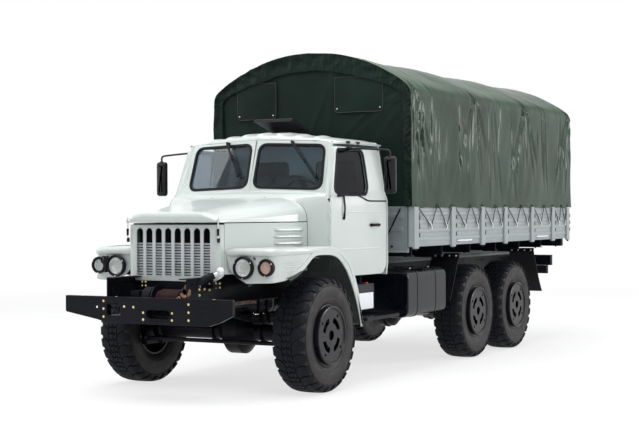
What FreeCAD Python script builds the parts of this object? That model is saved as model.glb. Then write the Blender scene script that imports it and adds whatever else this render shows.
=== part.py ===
"""Long-nosed 6x6 cargo truck with a canvas-covered drop-side bed.

Sizes are millimetres. The front faces -Y, +X is the truck's left side and +Z is up. Lengths along the
truck are counted back from the bumper's front face, then moved forward by half the overall length, so
that the origin lies on the ground under the middle of the overall box.
"""
import FreeCAD, Part
import math
import os
from types import SimpleNamespace
from FreeCAD import Placement, Rotation, Vector
import Sketcher

doc = FreeCAD.newDocument("cargo_truck")


# ---------------------------------------------------------------- driving dimensions
# alias, millimetres (degrees where the alias ends in _angle)
DIMENSIONS = (
    # wheels and axles
    ("tyre_radius", 530), ("tyre_width", 330), ("rim_radius", 254), ("bead_half_width", 118),
    ("half_track", 960), ("front_axle_y", 1315), ("middle_axle_y", 4825), ("rear_axle_y", 6045),
    ("disc_stand_out", 24), ("spindle_radius", 60), ("running_gap", 0.05), ("seat_gap", 0.3),
    ("kingpin_x", 770), ("kingpin_radius", 25), ("steering_arm_y", 1060), ("steering_arm_x", 765),
    ("tie_rod_drop", 110), ("tie_rod_radius", 20), ("diff_offset", 150), ("diff_radius", 205),
    ("axle_tube_radius", 78), ("nose_length", 300),
    # ladder frame
    ("rail_outer", 430), ("rail_bottom", 850), ("rail_height", 240), ("rail_flange", 85),
    ("rail_web", 10), ("rail_rear", 7740), ("member_depth", 60), ("member_height", 130),
    # front end
    ("bumper_half_width", 895), ("bumper_top", 921), ("bumper_plate", 12), ("bumper_flange", 45),
    ("grille_y", 420), ("grille_half_width", 500), ("grille_bottom", 1046), ("grille_top", 1556),
    ("slot_width", 68), ("slot_pitch", 104), ("slot_bottom", 1092), ("slot_top", 1524),
    ("hood_front_y", 340), ("hood_rear_y", 1610), ("hood_seam_z", 1568), ("hood_rear_z", 1812),
    ("hood_front_z", 1660), ("hood_rear_half", 720), ("panel_wall", 14), ("panel_gap", 6),
    ("fender_top", 1335), ("fender_outer", 1060), ("fender_wall", 10), ("fender_gap", 10),
    ("headlamp_x", 695), ("headlamp_radius", 95), ("turn_lamp_x", 905), ("turn_lamp_radius", 74), ("lamp_z", 1172),
    ("lamp_front_y", 520),
    # cab
    ("cab_floor_z", 1035), ("cab_half_width", 1000), ("cab_rear_y", 2830), ("cab_wall", 40),
    ("door_front_y", 1690), ("door_rear_y", 2750), ("door_front_x", 930), ("cowl_rear_half", 870),
    ("door_top", 2300),
    ("belt_z", 1780), ("roof_edge_z", 2340), ("roof_crown_z", 2452), ("roof_front_y", 1880),
    ("glass_thickness", 6), ("door_gap", 6), ("hinge_x", 925), ("hinge_y", 1695), ("hinge_radius", 11),
    ("hatch_open_angle", 16), ("hatch_length", 440),
    ("hatch_half_width", 231), ("hatch_x", -85), ("mirror_x", 1336), ("mirror_y", 2138),
    ("mirror_z", 2015),
    # bed and canvas
    ("bed_front_y", 2970), ("bed_length", 4860), ("bed_half_width", 1180), ("bed_floor_z", 1350),
    ("bed_floor_depth", 50), ("bed_wall", 50), ("bed_wall_top", 1715), ("post_width", 110),
    ("post_depth", 25), ("tailgate_gap", 10), ("canvas_overhang", 70), ("canvas_front_y", 2920),
    ("canvas_stand_out", 25), ("canvas_wall", 29), ("canvas_hem_z", 1722), ("eave_z", 2930),
    ("canvas_peak_z", 3350), ("bow_radius", 20), ("bench_height", 420), ("bench_width", 380),
    # under the body
    ("tank_outer", 1100), ("tank_gap", 70), ("tank_bottom", 560), ("tank_top", 1070),
    ("tank_front_y", 3050), ("tank_length", 960), ("tank_round", 110), ("step_z", 600),
    ("silencer_gap", 30), ("silencer_radius", 100),
    ("beam_half_width", 965), ("beam_bottom", 940), ("hitch_bore_radius", 24), ("hitch_z", 755),
)

sheet = doc.addObject("Spreadsheet::Sheet", "Sizes")


class Size:
    """A length that knows its number and its formula in the spreadsheet's names."""

    def __init__(self, number, formula):
        self.number = float(number)
        self.formula = formula

    def __float__(self):
        return self.number

    def __add__(self, other):
        other = size(other)
        return Size(self.number + other.number, f"({self.formula} + {other.formula})")

    def __radd__(self, other):
        return size(other) + self

    def __sub__(self, other):
        other = size(other)
        return Size(self.number - other.number, f"({self.formula} - {other.formula})")

    def __rsub__(self, other):
        return size(other) - self

    def __mul__(self, factor):
        return Size(self.number * factor, f"({self.formula} * ({factor}))")

    __rmul__ = __mul__

    def __truediv__(self, divisor):
        return Size(self.number / divisor, f"({self.formula} / {divisor})")

    def __neg__(self):
        return self * -1


def size(value):
    """A plain number as a Size; a Size as it is."""
    return value if isinstance(value, Size) else Size(value, f"({float(value)})")


def read_dimensions():
    """Write the table to the sheet and give each alias as a Size."""
    named = SimpleNamespace()
    for row, (alias, number) in enumerate(DIMENSIONS, start=1):
        sheet.set(f"A{row}", alias)
        sheet.set(f"B{row}", str(number))
        sheet.setAlias(f"B{row}", alias)
        setattr(named, alias, Size(number, f"Sizes.{alias}"))
    return named


D = read_dimensions()
doc.recompute()
BED_REAR = D.bed_front_y + D.bed_length
OVERALL = BED_REAR + D.canvas_overhang
HALF = OVERALL / 2
RAIL_TOP = D.rail_bottom + D.rail_height
TYRE_INNER = D.half_track - D.tyre_width / 2
NODES = {}


# ---------------------------------------------------------------- bound building blocks
def bind(item, prop, amount):
    item.setExpression(prop, size(amount).formula)


def place(item, x=0, y=0, z=0, turn=None):
    """Set an object's turn and tie its position, with y counted from the bumper face."""
    item.Placement = Placement(Vector(), turn or Rotation())
    bind(item, "Placement.Base.x", x)
    bind(item, "Placement.Base.y", size(y) - HALF)
    bind(item, "Placement.Base.z", z)
    return item


def box(name, x, y, z):
    """A block between the given (low, high) limits."""
    item = doc.addObject("Part::Box", name)
    for prop, (low, high) in (("Length", x), ("Width", y), ("Height", z)):
        bind(item, prop, size(high) - low)
    return place(item, x[0], y[0], z[0])


TURNS = {"x": Rotation(Vector(0, 1, 0), 90), "y": Rotation(Vector(1, 0, 0), -90), "z": Rotation()}


def rod(name, axis, start, radius, length):
    """A cylinder from the point start along a row axis."""
    item = doc.addObject("Part::Cylinder", name)
    bind(item, "Radius", radius)
    bind(item, "Height", length)
    return place(item, *start, turn=TURNS[axis])


def bulge(name, centre, radius, end_radius):
    """A short drum along X with a cone at each end, as a final drive's case has."""
    x, y, z = (size(value) for value in centre)
    half = radius * 0.35
    flank = radius * 0.6
    parts = [rod(name + "_drum", "x", (x - half, y, z), radius, half * 2)]
    for suffix, start, low, high in (("right", x - half - flank, end_radius, radius),
                                     ("left", x + half, radius, end_radius)):
        cone = doc.addObject("Part::Cone", f"{name}_{suffix}")
        for prop, amount in (("Radius1", low), ("Radius2", high), ("Height", flank)):
            bind(cone, prop, amount)
        parts.append(place(cone, start, y, z, turn=TURNS["x"]))
    return parts


def fuse(name, items):
    item = doc.addObject("Part::MultiFuse", name)
    item.Shapes = items
    return item


def cut(name, base, tools):
    item = doc.addObject("Part::Cut", name)
    item.Base = base
    item.Tool = tools[0] if len(tools) == 1 else fuse(name + "_tools", tools)
    return item


def mirrored(item, name):
    """The same piece on the truck's other side."""
    copy = doc.addObject("Part::Mirroring", name)
    copy.Source = item
    copy.Normal = Vector(1, 0, 0)
    copy.Base = Vector(0, 0, 0)
    return copy


def both_sides(name, item):
    return fuse(name, [item, mirrored(item, name + "_right")])


def node(name, item):
    """Name a finished sub-part after its file."""
    item.Label = name
    NODES[name] = item
    return item


# ---------------------------------------------------------------- sketched building blocks
def new_body(name, x=0, y=0, z=0):
    item = doc.addObject("PartDesign::Body", name)
    return place(item, x, y, z)


def origin_part(body, role):
    return next(part for part in body.Origin.OriginFeatures if part.Role == role)


def sketch(body, role, points):
    """A closed outline on an origin plane, each corner tied to the sheet."""
    item = body.newObject("Sketcher::SketchObject", body.Name + "_sketch")
    item.AttachmentSupport = [(origin_part(body, role), "")]
    item.MapMode = "FlatFace"
    corners = [Vector(float(u), float(v), 0) for u, v in points]
    count = len(corners)
    for index, corner in enumerate(corners):
        item.addGeometry(Part.LineSegment(corner, corners[(index + 1) % count]), False)
    for index in range(count):
        item.addConstraint(Sketcher.Constraint("Coincident", index, 2, (index + 1) % count, 1))
    for index, (u, v) in enumerate(points):
        for kind, amount in (("DistanceX", u), ("DistanceY", v)):
            rule = item.addConstraint(Sketcher.Constraint(kind, -1, 1, index, 1, float(amount)))
            bind(item, f"Constraints[{rule}]", amount)
    return item


def pad(body, outline, length, reverse=False):
    item = body.newObject("PartDesign::Pad", body.Name + "_pad")
    item.Profile = outline
    item.Reversed = reverse
    bind(item, "Length", length)
    return item


def pocket(body, outline, length, reverse=False):
    item = body.newObject("PartDesign::Pocket", body.Name + "_pocket")
    item.Profile = outline
    item.Reversed = reverse
    bind(item, "Length", length)
    return item


def revolved(body, outline):
    """Turn an outline of (along X, radius) once round the body's X axis."""
    item = body.newObject("PartDesign::Revolution", body.Name + "_turned")
    item.Profile = outline
    item.ReferenceAxis = (origin_part(body, "X_Axis"), [""])
    item.Angle = 360
    return item


# ---------------------------------------------------------------- free shapes
def mm(*amounts):
    return [float(amount) for amount in amounts]


def in_plane(axis, level, u, v):
    """The point (u, v) of the plane that stands square to axis at level."""
    spots = {"x": (level, u, v), "y": (u, level, v), "z": (u, v, level)}
    return Vector(*spots[axis])


def round_wire(corners, radius):
    """A closed wire through the corners, each rounded with an arc where radius is over zero."""
    edges = []
    count = len(corners)
    starts = []
    ends = []
    middles = []
    for index, corner in enumerate(corners):
        back = corners[index - 1] - corner
        ahead = corners[(index + 1) % count] - corner
        angle = back.getAngle(ahead)
        reach = min(radius / math.tan(angle / 2), 0.45 * back.Length, 0.45 * ahead.Length)
        bend = reach * math.tan(angle / 2)
        inward = (back.normalize() + ahead.normalize()).normalize()
        starts.append(corner + back * reach)
        ends.append(corner + ahead * reach)
        middles.append(corner + inward * (bend / math.sin(angle / 2) - bend))
    for index in range(count):
        edges.append(Part.Arc(starts[index], middles[index], ends[index]).toShape())
        edges.append(Part.LineSegment(ends[index], starts[(index + 1) % count]).toShape())
    return Part.Wire(edges)


def prism(axis, outline, low, high, radius=0):
    """An outline of (u, v) corners, square to axis, drawn out from low to high."""
    low, high = mm(low, high)
    corners = [in_plane(axis, low, *mm(u, v)) for u, v in outline]
    if radius:
        wire = round_wire(corners, float(radius))
    else:
        wire = Part.makePolygon(corners + corners[:1])
    return Part.Face(wire).extrude(in_plane(axis, high - low, 0, 0))


def parallel(line, wall):
    """An open line's parallel at wall on its right-hand side."""
    points = [Vector(*mm(u, v), 0) for u, v in line]
    wall = float(wall)
    beside = []
    for index, point in enumerate(points):
        sides = []
        for start, end in ((index - 1, index), (index, index + 1)):
            if start >= 0 and end < len(points):
                run = (points[end] - points[start]).normalize()
                sides.append(Vector(run.y, -run.x, 0))
        normal = sides[0] + sides[-1]
        normal = normal.normalize()
        shifted = point + normal * (wall / normal.dot(sides[0]))
        beside.append((shifted.x, shifted.y))
    return beside


def ribbon(line, wall):
    """The closed outline of a strip between an open line and its parallel."""
    return [tuple(mm(u, v)) for u, v in line] + parallel(line, wall)[::-1]


def loft(sections):
    """A ruled solid through closed sections of the same number of corners."""
    wires = [Part.makePolygon([Vector(*mm(*p)) for p in section + section[:1]]) for section in sections]
    return Part.makeLoft(wires, True, True)


def spar(start, end, radius):
    """A round bar between two points."""
    start = Vector(*mm(*start))
    end = Vector(*mm(*end))
    return Part.makeCylinder(float(radius), (end - start).Length, start, end - start)


def block(x, y, z):
    low = Vector(*mm(x[0], y[0], z[0]))
    high = Vector(*mm(x[1], y[1], z[1]))
    side = high - low
    return Part.makeBox(side.x, side.y, side.z, low)


def feature(name, shape):
    """A free shape, counted from the bumper face, as a document object."""
    item = doc.addObject("Part::Feature", name)
    item.Shape = shape
    item.Placement = Placement(Vector(0, -float(HALF), 0), Rotation()).multiply(shape.Placement)
    return item


def other_side(shape):
    return shape.mirror(Vector(0, 0, 0), Vector(1, 0, 0))


def pair(shape):
    return Part.makeCompound([shape, other_side(shape)])


def joined(shapes):
    return shapes[0].multiFuse(shapes[1:]).removeSplitter()


def largest(shape):
    return max(shape.Solids, key=lambda solid: solid.Volume)


# ---------------------------------------------------------------- ladder frame
def frame_rails():
    """Two channel rails, open towards each other."""
    body = new_body("left_rail", y=D.bumper_plate)
    web = D.rail_outer - D.rail_web
    lip = D.rail_outer - D.rail_flange
    low = D.rail_bottom
    profile = ((D.rail_outer, low), (D.rail_outer, RAIL_TOP), (lip, RAIL_TOP),
               (lip, RAIL_TOP - D.rail_web), (web, RAIL_TOP - D.rail_web), (web, low + D.rail_web),
               (lip, low + D.rail_web), (lip, low))
    pad(body, sketch(body, "XZ_Plane", profile), D.rail_rear - D.bumper_plate, reverse=True)
    return both_sides("frame_rails", body)


MEMBER_PLACES = (440, 2350, 3300, 4250, 5405, 6700, 7620)


def crossmembers():
    """Box members between the rail webs."""
    reach = D.rail_outer - D.rail_web
    low = RAIL_TOP - D.rail_web - D.member_height
    members = []
    for index, start in enumerate(MEMBER_PLACES):
        limits_z = (low, low + D.member_height)
        members.append(box(f"member_{index}", (-reach, reach), (start, start + D.member_depth), limits_z))
    return fuse("crossmembers", members)


# ---------------------------------------------------------------- front end
# the bumper's lower edge, from its right end to its left: (x, z)
BUMPER_LOWER = ((-895, 774), (-736, 767), (-400, 688), (560, 692), (895, 780))


def front_bumper():
    """A flat plate with a folded top edge, a square hole and a rope slot."""
    body = new_body("bumper_plate")
    stretch = D.bumper_half_width / 895
    lower = [(stretch * x, z) for x, z in BUMPER_LOWER]
    outline = lower + [(D.bumper_half_width, D.bumper_top), (-D.bumper_half_width, D.bumper_top)]
    pad(body, sketch(body, "XZ_Plane", outline), D.bumper_plate, reverse=True)
    for x_low, x_high, z_low, z_high in ((-420, -274, 757, 859), (12, 258, 742, 808)):
        hole = ((x_low, z_low), (x_high, z_low), (x_high, z_high), (x_low, z_high))
        pocket(body, sketch(body, "XZ_Plane", hole), D.bumper_plate, reverse=True)
    back = (D.bumper_plate, D.bumper_flange)
    half = D.bumper_half_width
    rail_x = D.rail_outer
    folds = [box("fold_left", (rail_x + 5, half), back, (D.bumper_top - 10, D.bumper_top)),
             box("fold_right", (-half, -rail_x - 5), back, (D.bumper_top - 10, D.bumper_top))]
    return fuse("front_bumper", [body] + folds)


def winch():
    """A rope drum on a cross shaft between two side plates."""
    y, z = 235, 890
    parts = [rod("winch_shaft", "x", (-D.rail_outer + D.rail_web, y, z), 28, 2 * (D.rail_outer - D.rail_web)),
             rod("winch_drum", "x", (-60, y, z), 88, 350)]
    for index, x in enumerate((-75, 290)):
        parts.append(rod(f"drum_flange_{index}", "x", (x, y, z), 135, 15))
    parts.append(box("gear_case", (-240, -120), (y - 120, y + 120), (z - 110, z + 110)))
    return fuse("winch", parts)


GRILLE_RETURN = 80


def grille():
    """A pressed panel with eight round-topped slots and side returns."""
    body = new_body("grille_panel", y=D.grille_y)
    half = D.grille_half_width
    outline = ((-half + 120, D.grille_bottom), (half - 120, D.grille_bottom), (half, D.grille_bottom + 75),
               (half, D.grille_top), (-half, D.grille_top), (-half, D.grille_bottom + 75))
    pad(body, sketch(body, "XZ_Plane", outline), D.panel_wall, reverse=True)
    radius = D.slot_width / 2
    slots = []
    for index in range(8):
        x = D.slot_pitch * (index - 3.5)
        limits_y = (D.grille_y - 5, D.grille_y + D.panel_wall + 5)
        limits_z = (D.slot_bottom, D.slot_top - radius)
        slots.append(box(f"slot_{index}", (x - radius, x + radius), limits_y, limits_z))
        depth = D.panel_wall + 10
        slots.append(rod(f"slot_top_{index}", "y", (x, D.grille_y - 5, D.slot_top - radius), radius, depth))
    plate = cut("slotted_panel", body, slots)
    limits_z = (D.grille_bottom + 75, D.grille_top)
    back = (D.grille_y + D.panel_wall, D.grille_y + GRILLE_RETURN)
    returns = [box("return_left", (half - D.panel_wall, half), back, limits_z),
               box("return_right", (-half, -half + D.panel_wall), back, limits_z)]
    notches = []
    gap = D.seat_gap
    for index, (low, high) in enumerate(((D.rail_outer - D.rail_flange, D.rail_outer),
                                         (-D.rail_outer, D.rail_flange - D.rail_outer))):
        limits_y = (D.grille_y - 5, D.grille_y + D.panel_wall + 5)
        notches.append(box(f"rail_notch_{index}", (low - gap, high + gap), limits_y, (D.rail_bottom, RAIL_TOP)))
    return fuse("grille", [cut("notched_panel", plate, notches)] + returns)


def radiator():
    """Core with top and bottom tanks, standing on the front crossmember."""
    member_top = RAIL_TOP - D.rail_web
    core = box("core", (-390, 390), (520, 590), (member_top + 50, 1500))
    parts = [core, box("top_tank", (-400, 400), (515, 600), (1500, 1545)),
             box("bottom_tank", (-400, 400), (515, 600), (member_top + 20, member_top + 60)),
             box("foot", (-300, 300), (450, 600), (member_top, member_top + 20)),
             box("shutter", (-400, 400), (495, 515), (member_top + 20, 1400))]
    return fuse("radiator", parts)


# the engine block's half-width, front and rear, and its height limits
ENGINE_HALF = 270
ENGINE_RUN = (700, 1540)
ENGINE_RISE = (800, 1480)


def engine():
    """A plain block at the engine's place, with its gearbox and feet on the rails."""
    parts = [box("cylinder_block", (-ENGINE_HALF, ENGINE_HALF), ENGINE_RUN, ENGINE_RISE),
             box("gearbox", (-190, 190), (1540, 2240), (790, 1010)),
             box("front_feet", (-D.rail_outer + D.rail_web, D.rail_outer - D.rail_web), (820, 900), (1000, 1070))]
    return fuse("engine", parts)


def hood_section(y, half, seam, top, drop=0.0):
    """Half-widths and heights of the hood at one place along it."""
    shape = ((1.0, 0.0), (0.97, 0.35), (0.90, 0.68), (0.72, 0.90), (0.36, 0.985))
    rise = top - seam
    left = [(half * across, y, seam + rise * up - drop) for across, up in shape]
    right = [(-x, y, z) for x, y, z in reversed(left)]
    return left + [(0, y, top - drop)] + right


def hood():
    """A one-piece bonnet lid: a tapering arched shell with a folded front lip."""
    wall = float(D.panel_wall)
    front, rear, seam = mm(D.hood_front_y, D.hood_rear_y, D.hood_seam_z + D.panel_gap)
    places = ((front, 500, seam + 22), (front + 60, 502, float(D.hood_front_z) - 12),
              (front + 190, 520, float(D.hood_front_z) + 12), (rear, float(D.hood_rear_half), float(D.hood_rear_z)))
    outer = loft([hood_section(y, half, seam, top) for y, half, top in places])
    hollow = []
    for (y, half, top), shift in zip(places[1:], (0, 0, 5)):
        hollow.append(hood_section(y + shift, half - wall, seam - 5, top - wall))
    first = hood_section(front + wall, 500 - wall, seam - 5, seam + 22 - wall)
    inner = loft([first] + hollow)
    return feature("hood", outer.cut(inner))


def hood_sides():
    """The engine bay's fixed side panels with three louvre slots each."""
    front_y = float(D.grille_y + GRILLE_RETURN + D.seat_gap)
    rear_y = float(D.hood_rear_y) - 4
    front_x, rear_x = mm(D.grille_half_width, D.hood_rear_half)
    plan = ribbon(((front_x, front_y), (rear_x, rear_y)), -float(D.panel_wall))
    panel = prism("z", plan, 1110, D.hood_seam_z)
    slope = (rear_x - front_x) / (rear_y - front_y)
    for z in (1378, 1440, 1502):
        middle = front_x + slope * (1350 - front_y)
        panel = panel.cut(block((middle - 80, middle + 80), (1150, 1550), (z, z + 14)))
    pad_x = front_x + slope * (1100 - front_y)
    pad_top = float(D.hood_seam_z + D.panel_gap - D.seat_gap)
    panel = panel.fuse(block((pad_x - 14, pad_x - 2), (1080, 1120), (float(D.hood_seam_z), pad_top)))
    return feature("hood_sides", pair(panel))


# outline of the left front wing seen from the side: (y, z), from its front lip over to its rear foot
FENDER_LINE = ((548, 1050), (535, 1310), (800, 1335), (1450, 1340), (1650, 1304), (1848, 1184), (1991, 910),
               (2093, 556))
# the wheel opening's edge in the wing's side wall: (y, z), from the rear foot forward
FENDER_ARCH = ((2060, 556), (1988, 622), (1846, 918), (1706, 1151), (1488, 1261), (1182, 1270), (1051, 1211),
               (923, 1126), (700, 1050))


def engine_bay_cutter():
    """The room between the hood sides, the cowl and the doors that the wings' decks stop at."""
    gap = float(D.seat_gap)
    half, wide = mm(D.grille_half_width, D.hood_rear_half)
    front_y, cowl_y = mm(D.grille_y + GRILLE_RETURN, D.hood_rear_y + D.panel_gap)
    door_x, door_y = mm(D.door_front_x, D.door_front_y - D.door_gap)
    rear_x, rear_y = mm(D.cab_half_width, D.door_rear_y)
    clear = float(D.door_gap)
    plan = ((half + gap - 40, 300), (half + gap, front_y), (wide + gap, cowl_y - 10), (wide + gap, cowl_y - gap),
            (door_x + gap, door_y - gap), (door_x + clear, door_y), (rear_x + clear, rear_y), (0, rear_y), (0, 300))
    return prism("z", plan, 400, 1900)


def fenders():
    """Front wings: a folded skin over the wheel with a side wall cut to the wheel arch."""
    outer = float(D.fender_outer)
    wall = float(D.fender_wall)
    skin = prism("x", ribbon(FENDER_LINE, wall), float(D.rail_outer + D.fender_gap), outer)
    side = prism("x", FENDER_LINE + FENDER_ARCH, outer - wall, outer)
    wing = skin.fuse(side)
    nose = prism("z", ((outer - 130, 500), (outer + 10, 500), (outer + 10, 1000)), 1000, 1400)
    inner_nose = prism("z", ((outer - 140, 540), (outer - 10, 1010), (outer, 1000), (outer - 130, 500)), 1060, 1325)
    wing = wing.cut(nose).fuse(inner_nose.common(prism("x", FENDER_LINE + FENDER_ARCH, 400, outer)))
    wing = wing.cut(engine_bay_cutter())
    for x, radius in ((D.headlamp_x, D.headlamp_radius), (D.turn_lamp_x, D.turn_lamp_radius)):
        x, radius = mm(x, radius + D.seat_gap)
        wing = wing.cut(Part.makeCylinder(radius, 190, Vector(x, 480, float(D.lamp_z)), Vector(0, 1, 0)))
    return feature("fenders", pair(largest(wing.removeSplitter())))


def front_lamps_and_tail_lamps():
    """Round front lamps on brackets from the wings, and block tail lamps on the rear beam."""
    parts = []
    for name, x, radius in (("headlamp", D.headlamp_x, D.headlamp_radius),
                            ("turn_lamp", D.turn_lamp_x, D.turn_lamp_radius)):
        parts.append(rod(name, "y", (x, D.lamp_front_y, D.lamp_z), radius, 90))
    under = D.beam_bottom - D.seat_gap
    parts.append(box("tail_lamp", (700, 900), (D.rail_rear + 5, D.rail_rear + 75), (under - 118, under)))
    return both_sides("lamps", fuse("left_lamps", parts))


# ---------------------------------------------------------------- engine, driveline and axles
def driveline():
    """Transfer case on its members and the propeller shafts between the noses."""
    z = float(D.tyre_radius)
    offset = float(D.diff_offset)
    front, middle, rear = mm(D.front_axle_y, D.middle_axle_y, D.rear_axle_y)
    nose = float(D.nose_length)
    lift = 30
    gap = float(D.seat_gap)
    coupling = 40
    shapes = [block((-180, 250), (2790, 3200), (600, 950)),
              block((-float(D.rail_outer - D.rail_web), float(D.rail_outer - D.rail_web)), (2940, 3060), (940, 1000)),
              spar((0, 2240, 870), (0, 2790, 870), 45),
              spar((offset, front + nose + gap, z + lift), (offset, front + nose + coupling, z + lift), 52),
              spar((offset, front + nose + coupling - 10, z + lift), (offset, 2790, 680), 45),
              spar((0, middle - nose - coupling, z + lift), (0, middle - nose - gap, z + lift), 52),
              spar((0, 3200, 690), (0, middle - nose - coupling + 10, z + lift), 45),
              spar((0, middle + nose, z + lift), (0, rear - nose, z + lift), 45)]
    return feature("driveline", joined(shapes))


def axle_housing(name, y, offset, reach, noses):
    """A tube with a round final drive case and its shaft noses."""
    z = D.tyre_radius
    parts = [rod(name + "_tube", "x", (-reach, y, z), D.axle_tube_radius, reach * 2)]
    parts += bulge(name + "_case", (offset, y, z), D.diff_radius, D.axle_tube_radius)
    for side in noses:
        start = y if side > 0 else y - D.nose_length
        parts.append(rod(f"{name}_nose_{side + 1}", "y", (offset, start, z + 30), 85, D.nose_length))
    return parts


def front_axle():
    """Driven beam with a ball end and a kingpin at each side."""
    z = D.tyre_radius
    y = D.front_axle_y
    parts = axle_housing("front", y, D.diff_offset, D.kingpin_x - 60, (1,))
    for side in (-1, 1):
        x = D.kingpin_x * side
        parts += bulge(f"joint_case_{side + 1}", (x, y, z), size(92), size(30))
        parts.append(rod(f"kingpin_{side + 1}", "z", (x, y, z - 150), D.kingpin_radius, 300))
    return fuse("front_axle", parts)


def rear_axles():
    """Middle and rear live axles with fixed spindles."""
    axles = []
    tip = D.half_track + 135
    for name, y, noses in (("middle", D.middle_axle_y, (-1, 1)), ("rear", D.rear_axle_y, (-1,))):
        parts = axle_housing(name, y, 0, TYRE_INNER + 100, noses)
        parts.append(rod(name + "_spindles", "x", (-tip, y, D.tyre_radius), D.spindle_radius, tip * 2))
        axles.append(fuse(name + "_axle", parts))
    return fuse("rear_axles", axles)


def suspension():
    """Leaf packs of the front axle and the bogie, the bogie's cross shaft and its thrust rods."""
    gap = float(D.seat_gap)
    radius, top_of_tube = mm(D.axle_tube_radius, D.tyre_radius + D.axle_tube_radius)
    front, middle, rear = mm(D.front_axle_y, D.middle_axle_y, D.rear_axle_y)
    rail_low, rail_outer = mm(D.rail_bottom, D.rail_outer)
    centre = (middle + rear) / 2
    low = top_of_tube + gap
    shapes = []
    pack = ribbon(((front - 780, 800), (front - 500, 735), (front - 120, 700), (front + 120, 700),
                   (front + 500, 735), (front + 780, 800)), 60)
    leaf = prism("x", pack, rail_outer - 85, rail_outer)
    seat = block((rail_outer - 85, rail_outer), (front - 70, front + 70), (low, 641))
    eyes = [block((rail_outer - 85, rail_outer), (front + end - 30, front + end + 30), (745, rail_low))
            for end in (-750, 750)]
    shapes.append(joined([leaf, seat] + eyes))
    x_low, x_high = rail_outer + 30, rail_outer + 130
    thick = 90
    pack = ribbon(((middle - 60, low + 55), (middle + 80, low + 70), (centre - 150, low + thick + 90),
                   (centre + 150, low + thick + 90), (rear - 80, low + 70), (rear + 60, low + 55)), 55)
    bogie_pack = prism("x", pack, x_low, x_high)
    shaft = spar((0, centre, low + 60), (x_high, centre, low + 60), 55)
    hanger = block((rail_outer - 80, rail_outer), (centre - 90, centre + 90), (low, rail_low))
    clamp = block((x_low, x_high), (centre - 80, centre + 80), (low + 20, low + thick + 95))
    half = joined([bogie_pack, shaft, hanger, clamp])
    shapes.append(half)
    for axle_y, side in ((middle, 1), (rear, -1)):
        start = (rail_outer - 60, axle_y + side * (radius + gap), float(D.tyre_radius))
        end = (rail_outer - 60, centre - side * 40, low)
        shapes.append(spar(start, end, 24))
    bogie = joined(shapes[1:])
    for axle_y in (middle, rear):
        bogie = bogie.cut(spar((0, axle_y, float(D.tyre_radius)), (x_high, axle_y, float(D.tyre_radius)), radius + gap))
    whole = bogie.fuse(other_side(bogie))
    return feature("suspension", Part.makeCompound([shapes[0], other_side(shapes[0])] + whole.Solids))


# ---------------------------------------------------------------- steering and wheels
def knuckle():
    """Left steering knuckle: two kingpin ears, a web, the wheel spindle and the steering arm."""
    x, y, z = mm(D.kingpin_x, D.front_axle_y, D.tyre_radius)
    arm_x, arm_y, rod_z = mm(D.steering_arm_x, D.steering_arm_y, D.tyre_radius - D.tie_rod_drop)
    ears = [block((x - 70, x + 135), (y - 70, y + 70), (z + side, z + side + 35)) for side in (-135, 100)]
    web = block((x + 105, x + 135), (y - 120, y + 120), (z - 135, z + 135))
    spindle = spar((x + 120, y, z), (D.half_track + 135, y, z), D.spindle_radius)
    arm = block((arm_x - 35, arm_x + 25), (arm_y - 28, y - 40), (rod_z - 25, rod_z + 10))
    link = block((arm_x - 35, arm_x + 25), (y - 70, y - 40), (rod_z - 25, z - 100))
    pin = spar((arm_x, arm_y, rod_z + 10), (arm_x, arm_y, rod_z + 60), 12)
    bore = Part.makeCylinder(float(D.kingpin_radius + D.running_gap), 400, Vector(x, y, z - 200))
    return joined(ears + [web, spindle, arm, link, pin]).cut(bore)


def tie_rod():
    """Cross tube between the two steering arms, with an eye over each arm's pin."""
    x, y, z = mm(D.steering_arm_x, D.steering_arm_y, D.tyre_radius - D.tie_rod_drop + 36)
    eyes = [Part.makeCylinder(30, 28, Vector(side * x, y, z - 14)) for side in (-1, 1)]
    tube = spar((-x, y, z), (x, y, z), D.tie_rod_radius)
    near_pin = Part.makeCylinder(12 + float(D.running_gap), 60, Vector(x, y, z - 30))
    far_pin = Part.makeCylinder(18, 60, Vector(-x, y, z - 30))
    return feature("tie_rod", joined([tube] + eyes).cut(near_pin).cut(far_pin))


def tyre(name, side, y):
    """A tyre of revolution round its axle."""
    body = new_body(name, x=D.half_track * side, y=y, z=D.tyre_radius)
    half = D.tyre_width / 2
    bead = D.bead_half_width
    seat = D.rim_radius + D.seat_gap
    right = ((bead, seat), (bead + 9, seat + 31), (half - 14, seat + 58), (half, seat + 140),
             (half - 4, D.tyre_radius - 62), (half - 30, D.tyre_radius - 14), (half * 0.5, D.tyre_radius - 2))
    profile = list(right) + [(size(0), D.tyre_radius)] + [(-x, radius) for x, radius in reversed(right)]
    revolved(body, sketch(body, "XZ_Plane", profile))
    return node(name, body)


def rim(name, side, y):
    """Rim barrel, dished disc and hub in one, with a blind bore for the spindle."""
    body = new_body(name, x=D.half_track * side, y=y, z=D.tyre_radius)
    edge = D.bead_half_width + 11
    face = D.tyre_width / 2 + D.disc_stand_out
    barrel = D.rim_radius
    bore = D.spindle_radius + D.running_gap
    profile = ((-edge - 7, barrel + 31), (-edge, barrel + 31), (-edge, barrel), (edge, barrel),
               (edge, barrel + 31), (edge + 7, barrel + 31), (edge + 7, barrel + 19), (face, barrel + 19),
               (face, barrel - 16), (face - 29, barrel - 29), (face - 29, 130), (face - 11, 115),
               (face - 11, 0), (face - 39, 0), (face - 39, bore), (-30, bore), (-30, 130),
               (face - 49, 130), (face - 49, barrel - 40), (edge - 12, barrel - 14), (-edge - 7, barrel - 14))
    outline = [(size(x) * side, radius) for x, radius in profile]
    revolved(body, sketch(body, "XZ_Plane", outline))
    return node(name, body)


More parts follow.
